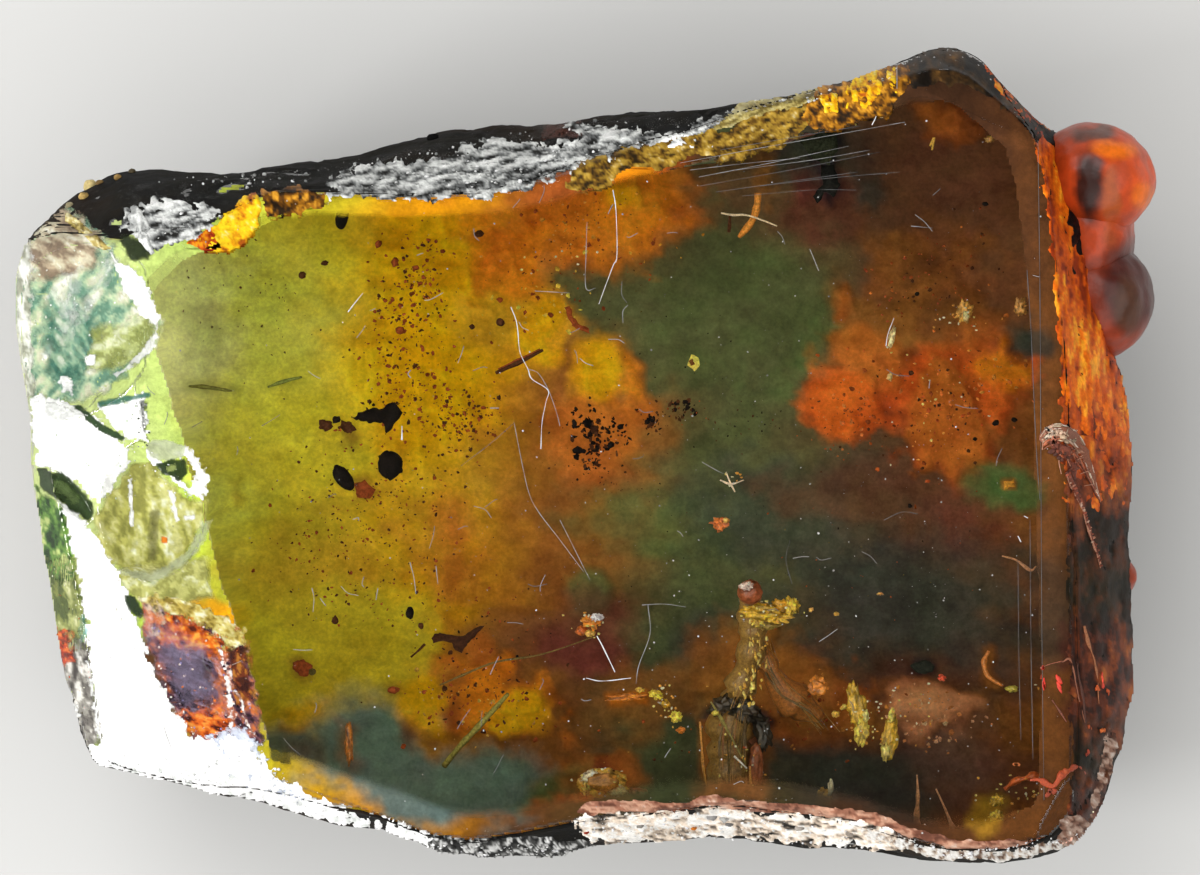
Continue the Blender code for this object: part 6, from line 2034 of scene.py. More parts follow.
def build_debris():
    dark = Pile()
    for i, (u, v, z, ru, rv, rz, turn, colour, detail, rough) in enumerate(LUMPS):
        lump(dark, u, v, z, ru, rv, rz, colour, 30 + i, rough, detail, turn)
    for i, (outline, z, thick, colour, lean) in enumerate(PLATES):
        flake(dark, outline, z, thick, colour, 60 + i, 1.2, lean)
    rng = np.random.RandomState(17)
    for u, v, ru, rv, turn, count, small, large, colours, heights in FRAGMENTS:
        t = math.radians(turn)
        for i in range(count):
            a, b = rng.normal(0, 0.62, 2)
            du = a * ru * math.cos(t) - b * rv * math.sin(t)
            dv = a * ru * math.sin(t) + b * rv * math.cos(t)
            size = small + (large - small) * rng.rand() ** 2.2
            chip(dark, rng, u + du, v + dv, rng.uniform(*heights), size, rng.uniform(0.35, 1.0),
                 rng.uniform(0, 180), colours[rng.randint(len(colours))])
    for points, width, colour in (
            (((496, 373, 16.5), (518, 362, 16.8), (543, 350, 16.9)), (4.5, 6.5, 3.0), UMBER),
            (((498, 369, 16.6), (520, 359, 16.9), (540, 349, 16.9)), (1.5, 2.5, 1.5), RUST),
            (((440, 685, 16.2), (463, 675, 16.6), (496, 662, 17.0), (543, 654, 17.2), (599, 635, 17.4)),
             (1.6, 2.4, 2.2, 1.8, 1.0), inner(92, 74, 36)),
            (((444, 766, 14.0), (460, 746, 14.6), (477, 728, 15.2), (508, 694, 16.4)),
             (6.5, 6.0, 6.5, 4.0), inner(112, 104, 44)),
            (((411, 657, 15.2), (418, 651, 15.3), (425, 644, 15.3)), 2.4, UMBER),
            (((758, 193, 16.2), (757, 206, 16.2), (752, 221, 16.0), (739, 237, 15.6)), (7, 8, 9, 4),
             inner(206, 112, 40)),
            (((730, 216, 16.4), (729, 232, 16.2)), (3.0, 3.5), UMBER),
            (((721, 213, 17.6), (733, 215, 17.6), (746, 215, 17.6), (762, 220, 17.6), (777, 226, 17.5)),
             (1.4, 2.4, 2.2, 1.6, 1.0), inner(226, 190, 140)),
            (((190, 386, 15.0), (205, 387, 15.2), (232, 391, 15.2)), (2, 5, 2), inner(104, 104, 44)),
            (((268, 387, 15.0), (285, 381, 15.2), (302, 377, 15.2)), (2, 5, 2), inner(96, 106, 44)),
            (((930, 146, 15.6), (934, 138, 15.8), (932, 150, 15.6)), (2, 3, 2), inner(232, 160, 60))):
        rod(dark, points, width, colour, wobble=0.25)
    dark.make("sealed_debris", DEBRIS)


DEBRIS = sealed_material("plant_debris", 0.7, 0.1, 9.0, 0.6, 1.3, 0.03)
build_debris()


# ===================================================== golden resin bodies
GOLD_LUMPS = (
    # the tall figure of brown resin and its cap
    # the small pale lump on the brown ball is a painted highlight
    (750, 592, 15.6, 12, 12, 10, 0, (128, 62, 34), 4, 0.10), (746, 586, 16.2, 6, 4, 4, 0, (206, 178, 150), 3, 0.3),
    (760, 612, 15.2, 17, 7, 6, 4, (196, 150, 34), 3, 0.30), (780, 606, 15.0, 9, 6, 5, 0, (176, 124, 26), 3, 0.3),
    (792, 606, 15.2, 6, 8, 5, 0, (214, 164, 40), 3, 0.35), (766, 624, 14.6, 14, 6, 6, 0, (118, 96, 40), 3, 0.3),
    (775, 617, 15.0, 12, 5, 4, 0, (206, 150, 40), 3, 0.5), (758, 620, 15.0, 6, 5, 4, 0, (226, 176, 60), 3, 0.5),
    # dark lumps in the hollow beside the skirt: painted shade
    (722, 706, 13.6, 12, 8, 4, -24, (44, 36, 24), 4, 0.55), (746, 712, 13.6, 15, 9, 4, 12, (36, 30, 20), 4, 0.55),
    (763, 733, 13.3, 7, 15, 4, -8, (36, 30, 20), 4, 0.55),
    (715, 713, 15.4, 3.5, 2.5, 2.5, 0, (240, 200, 60), 2, 0.3), (753, 686, 15.4, 3.0, 4.5, 3.0, 0, (236, 190, 70), 2, 0.4),
    (756, 803, 15.0, 4.5, 4.5, 3.5, 0, (226, 180, 80), 2, 0.5), (756, 766, 13.4, 7, 22, 6, 0, (120, 62, 34), 3, 0.2),
    # the crater
    (603, 784, 15.0, 24, 14, 5, 4, (214, 150, 44), 4, 0.16), (603, 782, 15.8, 15, 8, 3, 4, (150, 92, 30), 3, 0.2),
    (590, 776, 15.4, 8, 5, 4, -20, (246, 220, 150), 3, 0.3), (618, 790, 15.4, 9, 5, 4, 10, (244, 204, 110), 3, 0.3),
    (586, 786, 15.2, 4, 7, 4, 0, (236, 180, 70), 3, 0.3), (640, 794, 14.0, 12, 7, 5, 10, (150, 62, 30), 3, 0.3),
    (660, 798, 14.0, 12, 6, 5, 0, (132, 52, 28), 3, 0.3), (680, 796, 14.0, 9, 5, 5, 0, (160, 80, 36), 3, 0.3),
    # the two flakes and the lit bits around them
    (856, 706, 14.8, 8, 20, 4, -6, (176, 138, 34), 4, 0.30), (862, 732, 15.0, 6, 13, 4, 8, (214, 180, 56), 3, 0.35),
    (866, 716, 15.4, 3, 6, 3, 0, (246, 222, 96), 2, 0.4), (890, 736, 14.8, 7, 21, 4, 8, (184, 142, 36), 4, 0.30),
    (886, 752, 15.2, 4, 8, 3, 0, (240, 206, 84), 2, 0.4), (892, 716, 15.2, 3, 7, 3, 10, (226, 190, 70), 2, 0.4),
    (818, 686, 14.6, 9, 9, 4, 0, (190, 104, 32), 3, 0.25), (836, 714, 14.8, 4, 3, 3, 0, (224, 160, 50), 2, 0.4),
    (844, 707, 14.8, 3, 3, 2, 0, (230, 176, 60), 2, 0.4), (836, 614, 16.0, 3, 2, 2, 0, (232, 150, 50), 2, 0.4),
    (880, 594, 16.0, 3, 1.6, 2, 0, (226, 140, 60), 2, 0.4), (811, 610, 16.0, 2.4, 2, 2, 0, (226, 150, 60), 2, 0.4),
    # the chain of golden beads
    (655, 694, 15.4, 6.0, 4.0, 3.5, 20, (240, 190, 40), 3, 0.4), (666, 704, 15.2, 4.5, 3.5, 3.0, 40, (220, 150, 30), 2, 0.4),
    (676, 717, 15.4, 5.0, 5.0, 3.5, 30, (244, 200, 50), 3, 0.4), (681, 730, 15.0, 4.0, 3.0, 3.0, 0, (226, 110, 26), 2, 0.4),
    (627, 697, 15.0, 17, 3.0, 3.0, -4, (226, 112, 28), 3, 0.4), (640, 690, 15.2, 4.0, 2.5, 2.5, 0, (240, 170, 50), 2, 0.4),
    (592, 622, 15.6, 7, 6, 4, 0, (222, 112, 28), 3, 0.45), (582, 630, 15.4, 5, 4, 3, 0, (190, 84, 24), 2, 0.45),
    (590, 633, 15.5, 4, 3, 3, 0, (240, 160, 60), 2, 0.45), (597, 617, 17.2, 5.5, 3.8, 3.0, 0, (250, 246, 236), 3, 0.3),
    (720, 524, 16.2, 7, 5, 3, 0, (206, 96, 36), 3, 0.5), (726, 520, 16.5, 3, 2.4, 2, 0, (240, 150, 60), 2, 0.4),
    (331, 788, 13.6, 8, 8, 4, 0, (104, 84, 40), 3, 0.2), (341, 803, 15.4, 3.0, 2.2, 2, 0, (226, 170, 80), 2, 0.4),
    (368, 813, 15.4, 3.0, 2.2, 2, 0, (230, 190, 110), 2, 0.4), (349, 743, 13.5, 4.0, 18, 4, 0, (196, 110, 40), 3, 0.3),
    # right: red and golden glints
    (942, 678, 15.6, 3.4, 3.0, 2.5, 0, (220, 70, 40), 2, 0.4), (1043, 674, 16.2, 2.8, 7, 2.5, 10, (232, 60, 34), 2, 0.3),
    (1043, 697, 16.2, 2.2, 5, 2.5, 0, (226, 70, 40), 2, 0.3), (1061, 693, 16.4, 3.0, 7.5, 2.5, -28, (240, 66, 44), 3, 0.3),
    (1012, 689, 15.8, 6, 3, 2.5, 0, (170, 150, 50), 2, 0.4), (997, 800, 14.6, 6, 5, 4, 0, (206, 160, 40), 3, 0.4),
    (996, 816, 14.6, 6, 5, 4, 0, (222, 176, 50), 3, 0.4), (1052, 812, 15.0, 6.5, 4.5, 4, 0, (236, 150, 50), 3, 0.35),
    (1032, 834, 15.6, 8.0, 7, 5, 0, (238, 150, 60), 3, 0.3), (1068, 831, 15.8, 8, 11, 5, 10, (196, 140, 110), 3, 0.35),
    (825, 800, 14.0, 9, 12, 5, 0, (200, 150, 44), 3, 0.35), (831, 786, 15.0, 3.0, 7, 3, 0, (250, 226, 150), 2, 0.3),
    (815, 806, 14.0, 7, 5, 4, 0, (150, 104, 34), 3, 0.3), (922, 833, 15.6, 10, 8, 5, 10, (222, 140, 60), 3, 0.35),
    (957, 835, 15.6, 8, 9, 5, 0, (226, 150, 74), 3, 0.35), (1083, 626, 16.4, 8.5, 8, 4, 0, (196, 112, 44), 3, 0.25),
    (1080, 640, 16.2, 3.5, 9, 3, -8, (176, 90, 36), 3, 0.3), (1086, 742, 15.0, 3, 3, 2, 0, (226, 96, 40), 2, 0.3),
    (1097, 744, 15.0, 3, 4, 2, 0, (236, 110, 50), 2, 0.3),
    (964, 312, 15.6, 6, 8, 3, 20, (206, 140, 50), 3, 0.5), (1020, 307, 15.2, 5, 7, 3, 0, (176, 120, 50), 3, 0.5),
    (892, 337, 16.2, 2.6, 10, 2, 14, (240, 200, 110), 3, 0.4), (890, 377, 16.0, 3.0, 4, 2, 0, (236, 180, 90), 2, 0.4),
    (966, 316, 16.0, 3, 4, 2, 0, (246, 206, 110), 2, 0.5), (989, 140, 15.6, 4, 3, 2, 20, (230, 150, 60), 2, 0.4),
)
GOLD_RODS = (
    # points, widths, colour
    (((750, 598, 14.4), (752, 622, 14.2), (752, 646, 13.8), (744, 676, 13.2), (734, 704, 12.8),
      (730, 740, 12.4), (731, 772, 12.2), (732, 802, 12.0)), (20, 26, 26, 24, 32, 46, 50, 40), (122, 90, 42)),
    (((762, 650, 13.2), (778, 684, 12.8), (798, 704, 12.2), (822, 718, 12.0)), (12, 30, 34, 14),
     (156, 88, 38)),
    (((917, 775, 16.2), (918, 796, 16.0), (917, 818, 15.6), (920, 830, 15.4)), (1.6, 3.5, 6, 12), (170, 110, 70)),
    (((936, 789, 16.0), (944, 806, 15.8), (952, 824, 15.6), (956, 832, 15.4)), (1.4, 2.2, 5, 9), (190, 120, 80)),
    (((1086, 642, 16.4), (1094, 672, 16.6), (1098, 704, 16.6)), (2.4, 2.6, 1.2), (176, 116, 84)),
    (((1062, 662, 16.6), (1069, 659, 16.6), (1073, 672, 16.6), (1076, 690, 16.6), (1084, 723, 16.4)),
     (1.4, 1.8, 1.6, 1.4, 1.0), (180, 110, 84)),
    (((1040, 668, 16.4), (1050, 664, 16.5), (1062, 661, 16.6)), (1.2, 1.6, 1.2), (170, 96, 70)),
    (((1005, 789, 14.6), (1015, 781, 14.8), (1026, 778, 15.0), (1036, 776, 15.0), (1043, 783, 15.0),
      (1053, 786, 15.0), (1062, 774, 15.2), (1074, 767, 15.2), (1086, 776, 15.2)),
     (6, 8, 7, 9, 7, 9, 8, 9, 5), (190, 76, 32)),
    (((711, 702, 15.4), (722, 720, 15.0), (735, 744, 14.8), (746, 764, 14.6)), (2, 3, 2.4, 1.2), (124, 112, 52)),
    # a short white curve on the tall figure: painted highlight
    (((734, 756, 14.8), (747, 768, 14.8)), (3, 2), (246, 236, 210)),
    (((700, 722, 14.6), (702, 750, 14.4), (704, 772, 14.2), (711, 800, 14.0)), (2, 2.6, 2.4, 2), (208, 124, 50)),
    (((750, 766, 14.4), (751, 784, 14.2), (751, 800, 14.0)), (2.0, 2.6, 2.0), (214, 130, 56)),
    (((989, 651, 14.8), (984, 662, 14.8), (988, 676, 14.8), (1003, 686, 14.8)), (3, 5, 6, 3), (190, 96, 34)),
    (((1040, 560, 16.6), (1054, 554, 16.6)), (3.0, 1.4), (170, 100, 60)),
    (((1002, 556, 16.6), (1016, 560, 16.6), (1030, 570, 16.6), (1036, 566, 16.6)), (1.4, 2.4, 3.4, 1.6),
     (176, 110, 70)),
    (((726, 472, 17.2), (730, 482, 17.2), (735, 492, 17.2)), (1.2, 2.4, 1.2), (226, 190, 150)),
    (((720, 480, 17.2), (731, 484, 17.2), (744, 480, 17.2)), (1.0, 2.2, 1.0), (226, 190, 150)),
)


def build_gold():
    pile = Pile()
    for i, (u, v, z, ru, rv, rz, turn, colour, detail, rough) in enumerate(GOLD_LUMPS):
        bright = colour[0] > 170
        shade = (colour[0], colour[1] * 0.93, colour[2]) if bright else colour
        lump(pile, u, v, z, ru, rv, rz, inner(*shade), 130 + i, rough * (1.4 if bright else 1.0),
             min(detail + 1, 4) if ru > 3 else detail, turn, vary=0.85 if bright else 0.5, freq=2.8)
    for i, (points, widths, colour) in enumerate(GOLD_RODS):
        rod(pile, points, widths, inner(*colour), sides=12 if np.max(widths) > 12 else 7,
            wobble=0.35, seed=i)
    rng = np.random.RandomState(29)
    # streaks that run down the tall figure and its skirts
    flows = (((752, 604), (754, 632), (752, 658), (744, 684), (735, 706)),
             ((735, 712), (730, 740), (731, 770), (732, 800)),
             ((760, 640), (770, 668), (786, 694), (812, 712), (830, 730)))
    for k, (line, half, count) in enumerate(zip(flows, (9, 16, 12), (26, 34, 26))):
        for i in range(count):
            across = rng.uniform(-1, 1) * half
            points = [(u + across + rng.normal(0, 1.3), v + rng.normal(0, 3),
                       14.6 - 0.4 * k + rng.uniform(-0.4, 0.5) - abs(across) * 0.03) for u, v in line]
            start = rng.randint(0, len(points) - 1)
            part = points[start:start + rng.randint(2, 4)]
            if len(part) < 2:
                part = points[-2:]
            tint = ((148, 108, 50), (104, 76, 36), (176, 130, 56), (82, 64, 34), (134, 80, 38))[rng.randint(5)]
            width = rng.uniform(1.0, 3.0)
            rod(pile, part, (0.5,) + (width,) * (len(part) - 2) + (0.5,), inner(*tint), sides=5,
                wobble=0.5, seed=i)
    for i in range(60):
        v = rng.uniform(618, 706)
        u = np.interp(v, (618, 650, 684, 706), (757, 755, 748, 744)) + rng.normal(0, 7)
        tint = ((226, 168, 58), (190, 130, 44), (240, 196, 90))[rng.randint(3)]
        lump(pile, u, v, 15.2, rng.uniform(0.5, 1.6), rng.uniform(0.8, 3.2), 1.4, inner(*tint),
             700 + i, 0.5, 2, rng.uniform(-30, 30))
    spark = [inner(246, 206, 90), inner(226, 130, 40), inner(250, 232, 170)]
    for u, v, ru, rv, count in ((770, 612, 26, 12, 26), (664, 704, 20, 16, 22), (603, 784, 26, 14, 22),
                                (870, 724, 26, 24, 26), (590, 626, 16, 12, 16), (1030, 790, 40, 20, 30),
                                (960, 316, 26, 14, 18), (730, 480, 14, 10, 8), (900, 710, 40, 16, 24),
                                (1030, 820, 50, 16, 30), (740, 770, 30, 30, 20), (1060, 680, 24, 30, 20),
                                (560, 250, 50, 36, 20), (930, 400, 50, 50, 30), (850, 110, 40, 14, 18)):
        for i in range(count):
            a, b = rng.normal(0, 0.6, 2)
            lump(pile, u + a * ru, v + b * rv, rng.uniform(14.5, 16.8), rng.uniform(0.6, 2.0),
                 rng.uniform(0.6, 1.6), rng.uniform(0.5, 1.2), spark[rng.randint(3)], 200 + i, 0.35, 1)
    pile.make("golden_resin", GOLD)


GOLD = sealed_material("golden_resin", 0.32, 0.5, 8.0, 0.62, 1.32, 0.05)
build_gold()


# ================================================ sealed insect, threads, dust
def build_insect():
    """The pale curled insect near the right edge."""
    pile = Pile()
    pale, rosy, brown = (206, 172, 146), (170, 98, 72), (104, 46, 24)
    rng = np.random.RandomState(53)
    arc = ((1040, 434), (1046, 427), (1055, 423), (1066, 425), (1075, 432), (1083, 444), (1088, 458),
           (1092, 474), (1096, 490), (1098, 500))
    heel = ((1043, 450), (1048, 446), (1055, 446), (1063, 448), (1070, 454), (1076, 463), (1083, 474),
            (1089, 485), (1094, 495), (1099, 503))
    middle = [((a[0] + b[0]) / 2, (a[1] + b[1]) / 2, 0.02) for a, b in zip(arc, heel)]
    rod(pile, middle, (6, 14, 18, 20, 19, 16, 13, 10, 6, 2), outer(140, 84, 60), by=on_skin, sides=12,
        flat=0.10, wobble=0.3)
    rod(pile, ((1052, 440, 0.02), (1060, 454, 0.02), (1068, 468, 0.02), (1074, 480, 0.02)),
        (8, 20, 17, 5), outer(112, 50, 28), by=on_skin, sides=12, flat=0.10, wobble=0.4)
    for i in range(120):
        # streaks that follow the curl from the head to its tip
        across = rng.uniform(0, 1) ** 1.2
        start = rng.uniform(0, len(arc) - 2.2)
        along = np.linspace(start, min(start + rng.uniform(0.8, 2.6), len(arc) - 1.0), 4)
        points = []
        for t in along:
            k = int(np.clip(t, 0, len(arc) - 2))
            ends = [np.array(line[k]) * (1 - t + k) + np.array(line[k + 1]) * (t - k)
                    for line in (arc, heel)]
            spot = ends[0] * (1 - across) + ends[1] * across + rng.normal(0, 0.35, 2)
            points.append((spot[0], spot[1], 0.05 + 0.03 * rng.uniform()))
        tint = (pale, (232, 212, 194), (190, 140, 112), (206, 186, 156), rosy)[rng.randint(5)] \
            if across < 0.62 else (rosy, (190, 96, 58), brown, (206, 130, 92))[rng.randint(4)]
        rod(pile, points, (0.7, rng.uniform(1.2, 2.4), rng.uniform(1.0, 2.2), 0.6),
            outer(*tint) * rng.uniform(0.7, 1.15), by=on_skin, sides=5, flat=0.5, wobble=0.4, seed=i)
    for i, (u, v, ru, rv, colour) in enumerate((
            (1056, 432, 9, 4, pale), (1064, 438, 9, 5, (200, 170, 140)), (1050, 440, 6, 5, rosy),
            (1058, 446, 8, 5, brown), (1066, 452, 7, 6, (150, 70, 36)), (1072, 462, 5, 8, rosy),
            (1060, 456, 6, 5, (84, 40, 22)), (1068, 470, 4, 7, brown), (1078, 452, 3, 8, (206, 150, 120)),
            (1048, 430, 5, 3, (226, 206, 186)), (1070, 432, 6, 3, (214, 186, 162)))):
        for j in range(7):
            a, b = rng.normal(0, 0.55, 2)
            lump(pile, u + a * ru, v + b * rv, 0.09, ru * rng.uniform(0.15, 0.5),
                 rv * rng.uniform(0.15, 0.5), 1.4, outer(*colour) * rng.uniform(0.5, 1.25),
                 400 + 9 * i + j, 0.45, 2, rng.uniform(0, 180), by=on_skin)
    tail = ((1066, 474), (1072, 486), (1076, 498), (1082, 510), (1086, 524), (1092, 542), (1097, 556),
            (1100, 568))
    rod(pile, [(u, v, 0.03) for u, v in tail], (8, 7, 6, 5.5, 5, 4, 3, 1.6), outer(126, 62, 40), by=on_skin,
        sides=8, flat=0.3, wobble=0.3)
    rod(pile, [(u - 1, v, 0.06) for u, v in tail], 1.6, outer(190, 132, 104), by=on_skin, flat=0.5, wobble=0.7)
    for i in range(len(tail) - 1):
        for s in range(5):
            t = s / 5
            u = tail[i][0] + (tail[i + 1][0] - tail[i][0]) * t
            v = tail[i][1] + (tail[i + 1][1] - tail[i][1]) * t
            size = 3.2 * (1 - 0.6 * i / len(tail))
            colour = ((190, 130, 104), (156, 76, 50), (206, 168, 144), (120, 56, 34))[rng.randint(4)]
            lump(pile, u + rng.normal(0, 0.7), v, 0.09, size * rng.uniform(0.3, 0.8),
                 size * rng.uniform(0.5, 1.1), 1.2, outer(*colour), i * 5 + s, 0.35, 2,
                 rng.uniform(50, 90), by=on_skin)
    for points in (((1052, 424), (1044, 436), (1042, 450)), ((1062, 446), (1058, 460), (1060, 474)),
                   ((1074, 448), (1066, 458), (1070, 470)), ((1084, 456), (1074, 460)),
                   ((1088, 470), (1078, 474)), ((1092, 484), (1082, 486))):
        rod(pile, [(u, v, 0.10) for u, v in points], 0.9, outer(190, 132, 104), by=on_skin, wobble=0.3)
    # the twigs, sparks and russet chain below it
    for points, widths, colour in (
            (((1083, 626), (1085, 640), (1092, 656), (1096, 676), (1098, 704)), (3, 7, 3, 2.6, 1), (166, 104, 66)),
            (((1062, 662), (1069, 659), (1073, 672), (1076, 690), (1084, 723)), (1.4, 2, 2, 1.6, 1), (150, 92, 66)),
            (((1040, 668), (1050, 664), (1062, 661)), (1.2, 1.8, 1.2), (146, 84, 60)),
            (((1052, 700), (1060, 712), (1066, 722)), (1.0, 1.6, 1.0), (120, 66, 48)),
            (((1078, 640), (1078, 668), (1082, 700), (1086, 740)), (1.4, 3, 3, 1), (84, 44, 28)),
            (((1030, 780), (1040, 780), (1053, 786), (1062, 774), (1074, 767), (1084, 774)),
             (3, 6, 6, 7, 7, 3), (166, 66, 28))):
        rod(pile, [(u, v, 0.04) for u, v in points], widths, outer(*colour), by=on_skin, flat=0.4, wobble=0.5)
    for i, (u, v, ru, rv, turn, colour) in enumerate((
            (1043, 668, 1.6, 3.5, 0, (236, 60, 34)), (1044, 686, 1.5, 5.5, 0, (240, 56, 36)),
            (1060, 682, 2.4, 7, -28, (244, 70, 48)), (1101, 680, 2.4, 7, -8, (250, 84, 60)),
            (1107, 692, 2.0, 3, 0, (226, 96, 40)), (1096, 690, 2.4, 3, 0, (214, 96, 38)),
            (1088, 727, 2.6, 3.4, 0, (206, 92, 36)), (1100, 730, 3.2, 3.4, 20, (220, 110, 44)),
            (1016, 764, 4, 2.4, 20, (190, 100, 36)), (1086, 752, 2, 4, 0, (170, 60, 30)),
            (1050, 790, 4, 4, 0, (150, 58, 26)), (1066, 772, 5, 4, 0, (186, 80, 30)))):
        for j in range(4):
            a, b = rng.normal(0, 0.4, 2)
            lump(pile, u + a * ru, v + b * rv, 0.05, ru * rng.uniform(0.4, 0.8), rv * rng.uniform(0.4, 0.8),
                 1.0, outer(*colour) * rng.uniform(0.6, 1.1), 800 + 5 * i + j, 0.4, 2,
                 turn + rng.uniform(-12, 12), by=on_skin)
    pile.make("sealed_insect", INSECT)


def on_face(u, v, z):
    return place(u, v, z)


def build_threads():
    """Hairs, scratches and dust on and just under the polished face."""
    pile = Pile()
    white, soft, grey = np.array([0.48] * 3), np.array([0.20] * 3), np.array([0.08] * 3)
    hair = (
        (((511, 307), (516, 320), (518, 332), (520, 352), (528, 369), (532, 379), (548, 390), (546, 402),
          (542, 423), (541, 449)), 1.3, white), (((528, 369), (538, 373), (547, 387), (552, 399),
          (557, 414), (560, 426)), 1.0, soft),
        (((613, 190), (616, 211), (617, 255), (613, 266), (604, 290), (599, 304)), 1.2, white),
        (((613, 204), (608, 214)), 1.0, soft), (((587, 222), (586, 256), (586, 288), (596, 288)), 0.9, soft),
        (((535, 291), (554, 292), (570, 293)), 0.9, soft), (((628, 305), (623, 311), (623, 323)), 1.0, soft),
        (((514, 422), (522, 463), (529, 493), (538, 511), (560, 540), (584, 572)), 0.9, soft),
        (((514, 423), (491, 443), (461, 466)), 0.8, grey), (((402, 426), (402, 440)), 2.6, white),
        (((348, 312), (354, 304), (363, 293)), 1.4, white), (((411, 370), (408, 374), (411, 378)), 1.4, soft),
        (((490, 408), (499, 408)), 1.2, soft), (((597, 636), (603, 647), (615, 672)), 1.8, white),
        (((586, 678), (602, 681), (631, 678)), 1.5, white), (((648, 605), (650, 634), (639, 665), (636, 684)),
         1.0, soft), (((642, 605), (664, 604), (686, 607)), 0.9, soft),
        (((1027, 270), (1031, 330), (1034, 400), (1037, 460), (1040, 500)), 1.0, grey),
        (((1038, 140), (1040, 300), (1041, 480), (1042, 640), (1044, 800)), 0.9, grey),
        (((1030, 520), (1031, 640), (1033, 760)), 0.8, grey), (((1018, 560), (1019, 660), (1021, 740)), 0.7, grey),
        (((897, 63), (897, 78), (897, 93)), 1.0, soft), (((911, 226), (922, 227), (933, 228)), 0.9, soft),
        (((868, 105), (873, 108), (876, 116), (872, 125)), 1.6, white),
        (((680, 163), (760, 148), (850, 132), (905, 122)), 0.8, soft),
        (((699, 177), (770, 163), (849, 146)), 0.8, soft), (((700, 186), (790, 170), (880, 152)), 0.7, grey),
        (((720, 150), (800, 136), (860, 126)), 0.7, grey), (((736, 170), (812, 160), (870, 150)), 0.7, soft),
        (((716, 192), (800, 180), (858, 172)), 0.7, grey), (((760, 186), (830, 178), (900, 172)), 0.7, grey),
        (((690, 170), (740, 164), (800, 158)), 0.8, soft), (((742, 196), (812, 190), (856, 190)), 0.6, grey),
        (((312, 588), (314, 598), (313, 612)), 1.4, soft), (((378, 588), (376, 600)), 1.2, soft),
        (((410, 562), (414, 578), (416, 594)), 1.2, soft), (((436, 566), (438, 584)), 1.0, soft),
        (((560, 520), (574, 548), (590, 580)), 0.9, soft), (((320, 598), (326, 606)), 1.2, soft),
        (((790, 540), (786, 560), (792, 584)), 0.8, grey), (((884, 520), (902, 512), (918, 514)), 0.9, grey),
        (((702, 462), (716, 470), (724, 474)), 1.1, soft), (((894, 318), (888, 334), (886, 346)), 1.2, white),
        (((1018, 536), (1021, 542)), 1.6, white), (((1024, 516), (1028, 518)), 1.6, white),
    )
    for points, width, colour in hair:
        z = 18.972
        rod(pile, [(u, v, z) for u, v in points], width * 0.62, colour, sides=5, by=on_face, steps=6,
            flat=0.7, wobble=0.5)
    rng = np.random.RandomState(41)
    for i in range(760):
        u, v = rng.uniform(110, 1062), rng.uniform(120, 836)
        if i % 2:
            u, v = rng.normal(780, 190), rng.normal(590, 150)
        if outline_distance(np.array([u]), np.array([v]), FACE)[0] > -6:
            continue
        size = 0.35 + 0.9 * rng.rand() ** 3
        tone = rng.uniform(0.1, 0.55)
        lump(pile, u, v, 18.975, size, size * rng.uniform(0.6, 1), 0.35, np.array([tone] * 3), i, 0.2, 1,
             rng.uniform(0, 180), by=on_face, unit_mm=UNIT)
    for i in range(70):
        u, v = rng.uniform(150, 1050), rng.uniform(180, 800)
        if outline_distance(np.array([u]), np.array([v]), FACE)[0] > -12:
            continue
        turn, reach = rng.uniform(0, math.pi), rng.uniform(3, 12)
        du, dv = math.cos(turn) * reach, math.sin(turn) * reach
        bend = rng.uniform(-3, 3)
        rod(pile, [(u - du, v - dv, 18.972), (u + bend, v - bend, 18.972), (u + du, v + dv, 18.972)], 0.6,
            np.array([rng.uniform(0.10, 0.3)] * 3), sides=4, by=on_face, flat=0.7)
    for i, (u, v) in enumerate(((925, 52), (934, 58), (948, 50), (955, 62), (940, 64), (930, 46), (922, 62),
                                (950, 56), (962, 58), (978, 66), (990, 80), (914, 66))):
        lump(pile, u, v, 0.02, 1.2, 1.0, 0.8, white, i, 0.3, 1, by=on_skin)
    pile.make("threads_and_dust", PALE)


INSECT = sealed_material("insect", 0.55, 0.3, 12.0, 0.7, 1.25, 0.03)
PALE = sealed_material("pale_threads", 0.6, 0.2, 14.0, 0.85, 1.12, 0.01)
build_insect()
build_threads()


# ======================================================== floor and lights
def build_floor():
    mesh = bpy.data.meshes.new("floor")
    size = 1.5
    mesh.from_pydata([(-size, -size, -0.0001), (size, -size, -0.0001),
                      (size, size, -0.0001), (-size, size, -0.0001)], [], [(0, 1, 2, 3)])
    floor = bpy.data.objects.new("floor", mesh)
    scene.collection.objects.link(floor)
    n = Nodes("floor")
    n.shader(Base_Color=n.mix(n.noise(0.02, 2, 0.5), (0.42, 0.42, 0.415), (0.44, 0.44, 0.435)),
             Roughness=0.85)
    n.bsdf.inputs["Specular IOR Level"].default_value = 0.1
    mesh.materials.append(n.mat)


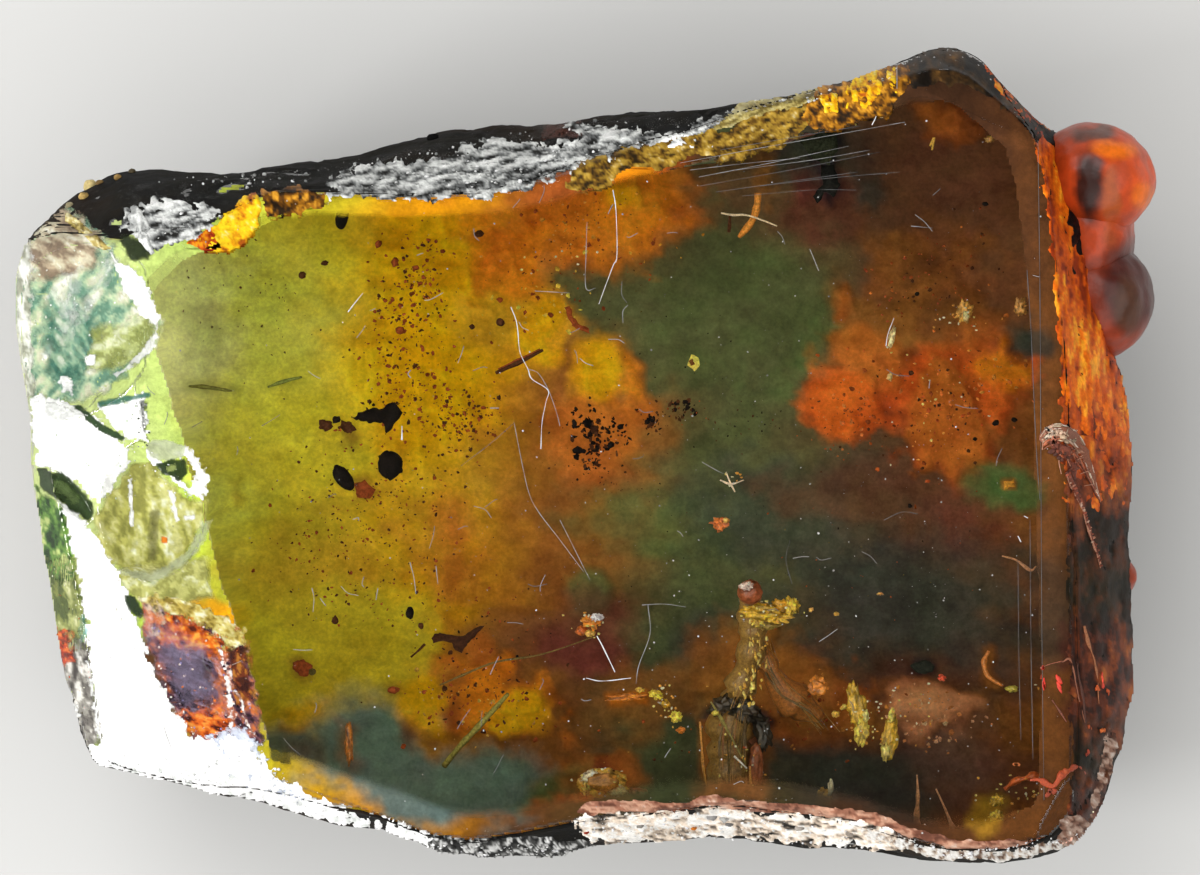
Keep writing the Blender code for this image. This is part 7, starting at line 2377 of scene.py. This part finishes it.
def build_world():
    """Soft overhead ring, dark straight above, dim low down on the right."""
    world = bpy.data.worlds.new("studio")
    scene.world = world
    world.use_nodes = True
    tree = world.node_tree
    tree.nodes.clear()

    def step(socket, a, b, low, high):
        node = tree.nodes.new("ShaderNodeMapRange")
        node.interpolation_type = 'SMOOTHSTEP'
        tree.links.new(socket, node.inputs["Value"])
        for key, value in (("From Min", a), ("From Max", b), ("To Min", low), ("To Max", high)):
            node.inputs[key].default_value = value
        return node.outputs[0]

    def blend(operation, a, b, c=0.0):
        node = tree.nodes.new("ShaderNodeMath")
        node.operation = operation
        for socket, value in zip(node.inputs, (a, b, c)):
            if hasattr(value, "is_output"):
                tree.links.new(value, socket)
            else:
                socket.default_value = value
        return node.outputs[0]

    out = tree.nodes.new("ShaderNodeOutputWorld")
    back = tree.nodes.new("ShaderNodeBackground")
    coord = tree.nodes.new("ShaderNodeTexCoord")
    parts = tree.nodes.new("ShaderNodeSeparateXYZ")
    tree.links.new(coord.outputs["Generated"], parts.inputs[0])
    x, y, z = parts.outputs
    cone = step(z, math.cos(math.radians(22)), math.cos(math.radians(12)), 1.0, 0.01)
    high = step(z, math.cos(math.radians(74)), math.cos(math.radians(50)), 0.0, 1.0)
    leftness = blend('ADD', blend('MULTIPLY', x, -0.97), blend('MULTIPLY', y, -0.26))
    low = step(leftness, 0.1, 0.9, 0.22, 1.1)
    strength = blend('ADD', blend('MULTIPLY', high, 2.3), blend('MULTIPLY', blend('SUBTRACT', 1.0, high), low))
    # a black flag that the slanted upper right corner mirrors
    flag = blend('ADD', blend('ADD', blend('MULTIPLY', x, 0.407), blend('MULTIPLY', y, 0.765)),
                 blend('MULTIPLY', z, 0.5))
    flag = step(flag, math.cos(math.radians(30)), math.cos(math.radians(18)), 1.0, 0.03)
    back.inputs["Color"].default_value = (1.0, 0.99, 0.97, 1.0)
    tree.links.new(blend('MULTIPLY', blend('MULTIPLY', strength, cone), flag), back.inputs["Strength"])
    tree.links.new(back.outputs[0], out.inputs["Surface"])
    world.cycles.sampling_method = 'NONE'


def softbox(name, azimuth, elevation, distance, wide, tall, radiance, aim=(0, 0, 0.01)):
    data = bpy.data.lights.new(name, 'AREA')
    data.shape = 'RECTANGLE'
    data.size, data.size_y = wide, tall
    data.energy = radiance * math.pi * wide * tall
    lamp = bpy.data.objects.new(name, data)
    scene.collection.objects.link(lamp)
    a, e = math.radians(azimuth), math.radians(elevation)
    spot = Vector((math.cos(e) * math.cos(a), math.cos(e) * math.sin(a), math.sin(e))) * distance
    lamp.location = spot + Vector(aim)
    lamp.rotation_euler = (-spot).to_track_quat('-Z', 'Y').to_euler()
    return lamp


build_floor()
build_world()
softbox("softbox_left", 196, 27, 0.55, 0.20, 0.15, 22.0)
softbox("softbox_key", 120, 52, 0.8, 0.45, 0.40, 2.6)

scene.cycles.transparent_max_bounces = 16
scene.cycles.max_bounces = 9
scene.cycles.transmission_bounces = 9
scene.cycles.glossy_bounces = 3
scene.cycles.diffuse_bounces = 4
scene.view_settings.view_transform = 'Standard'
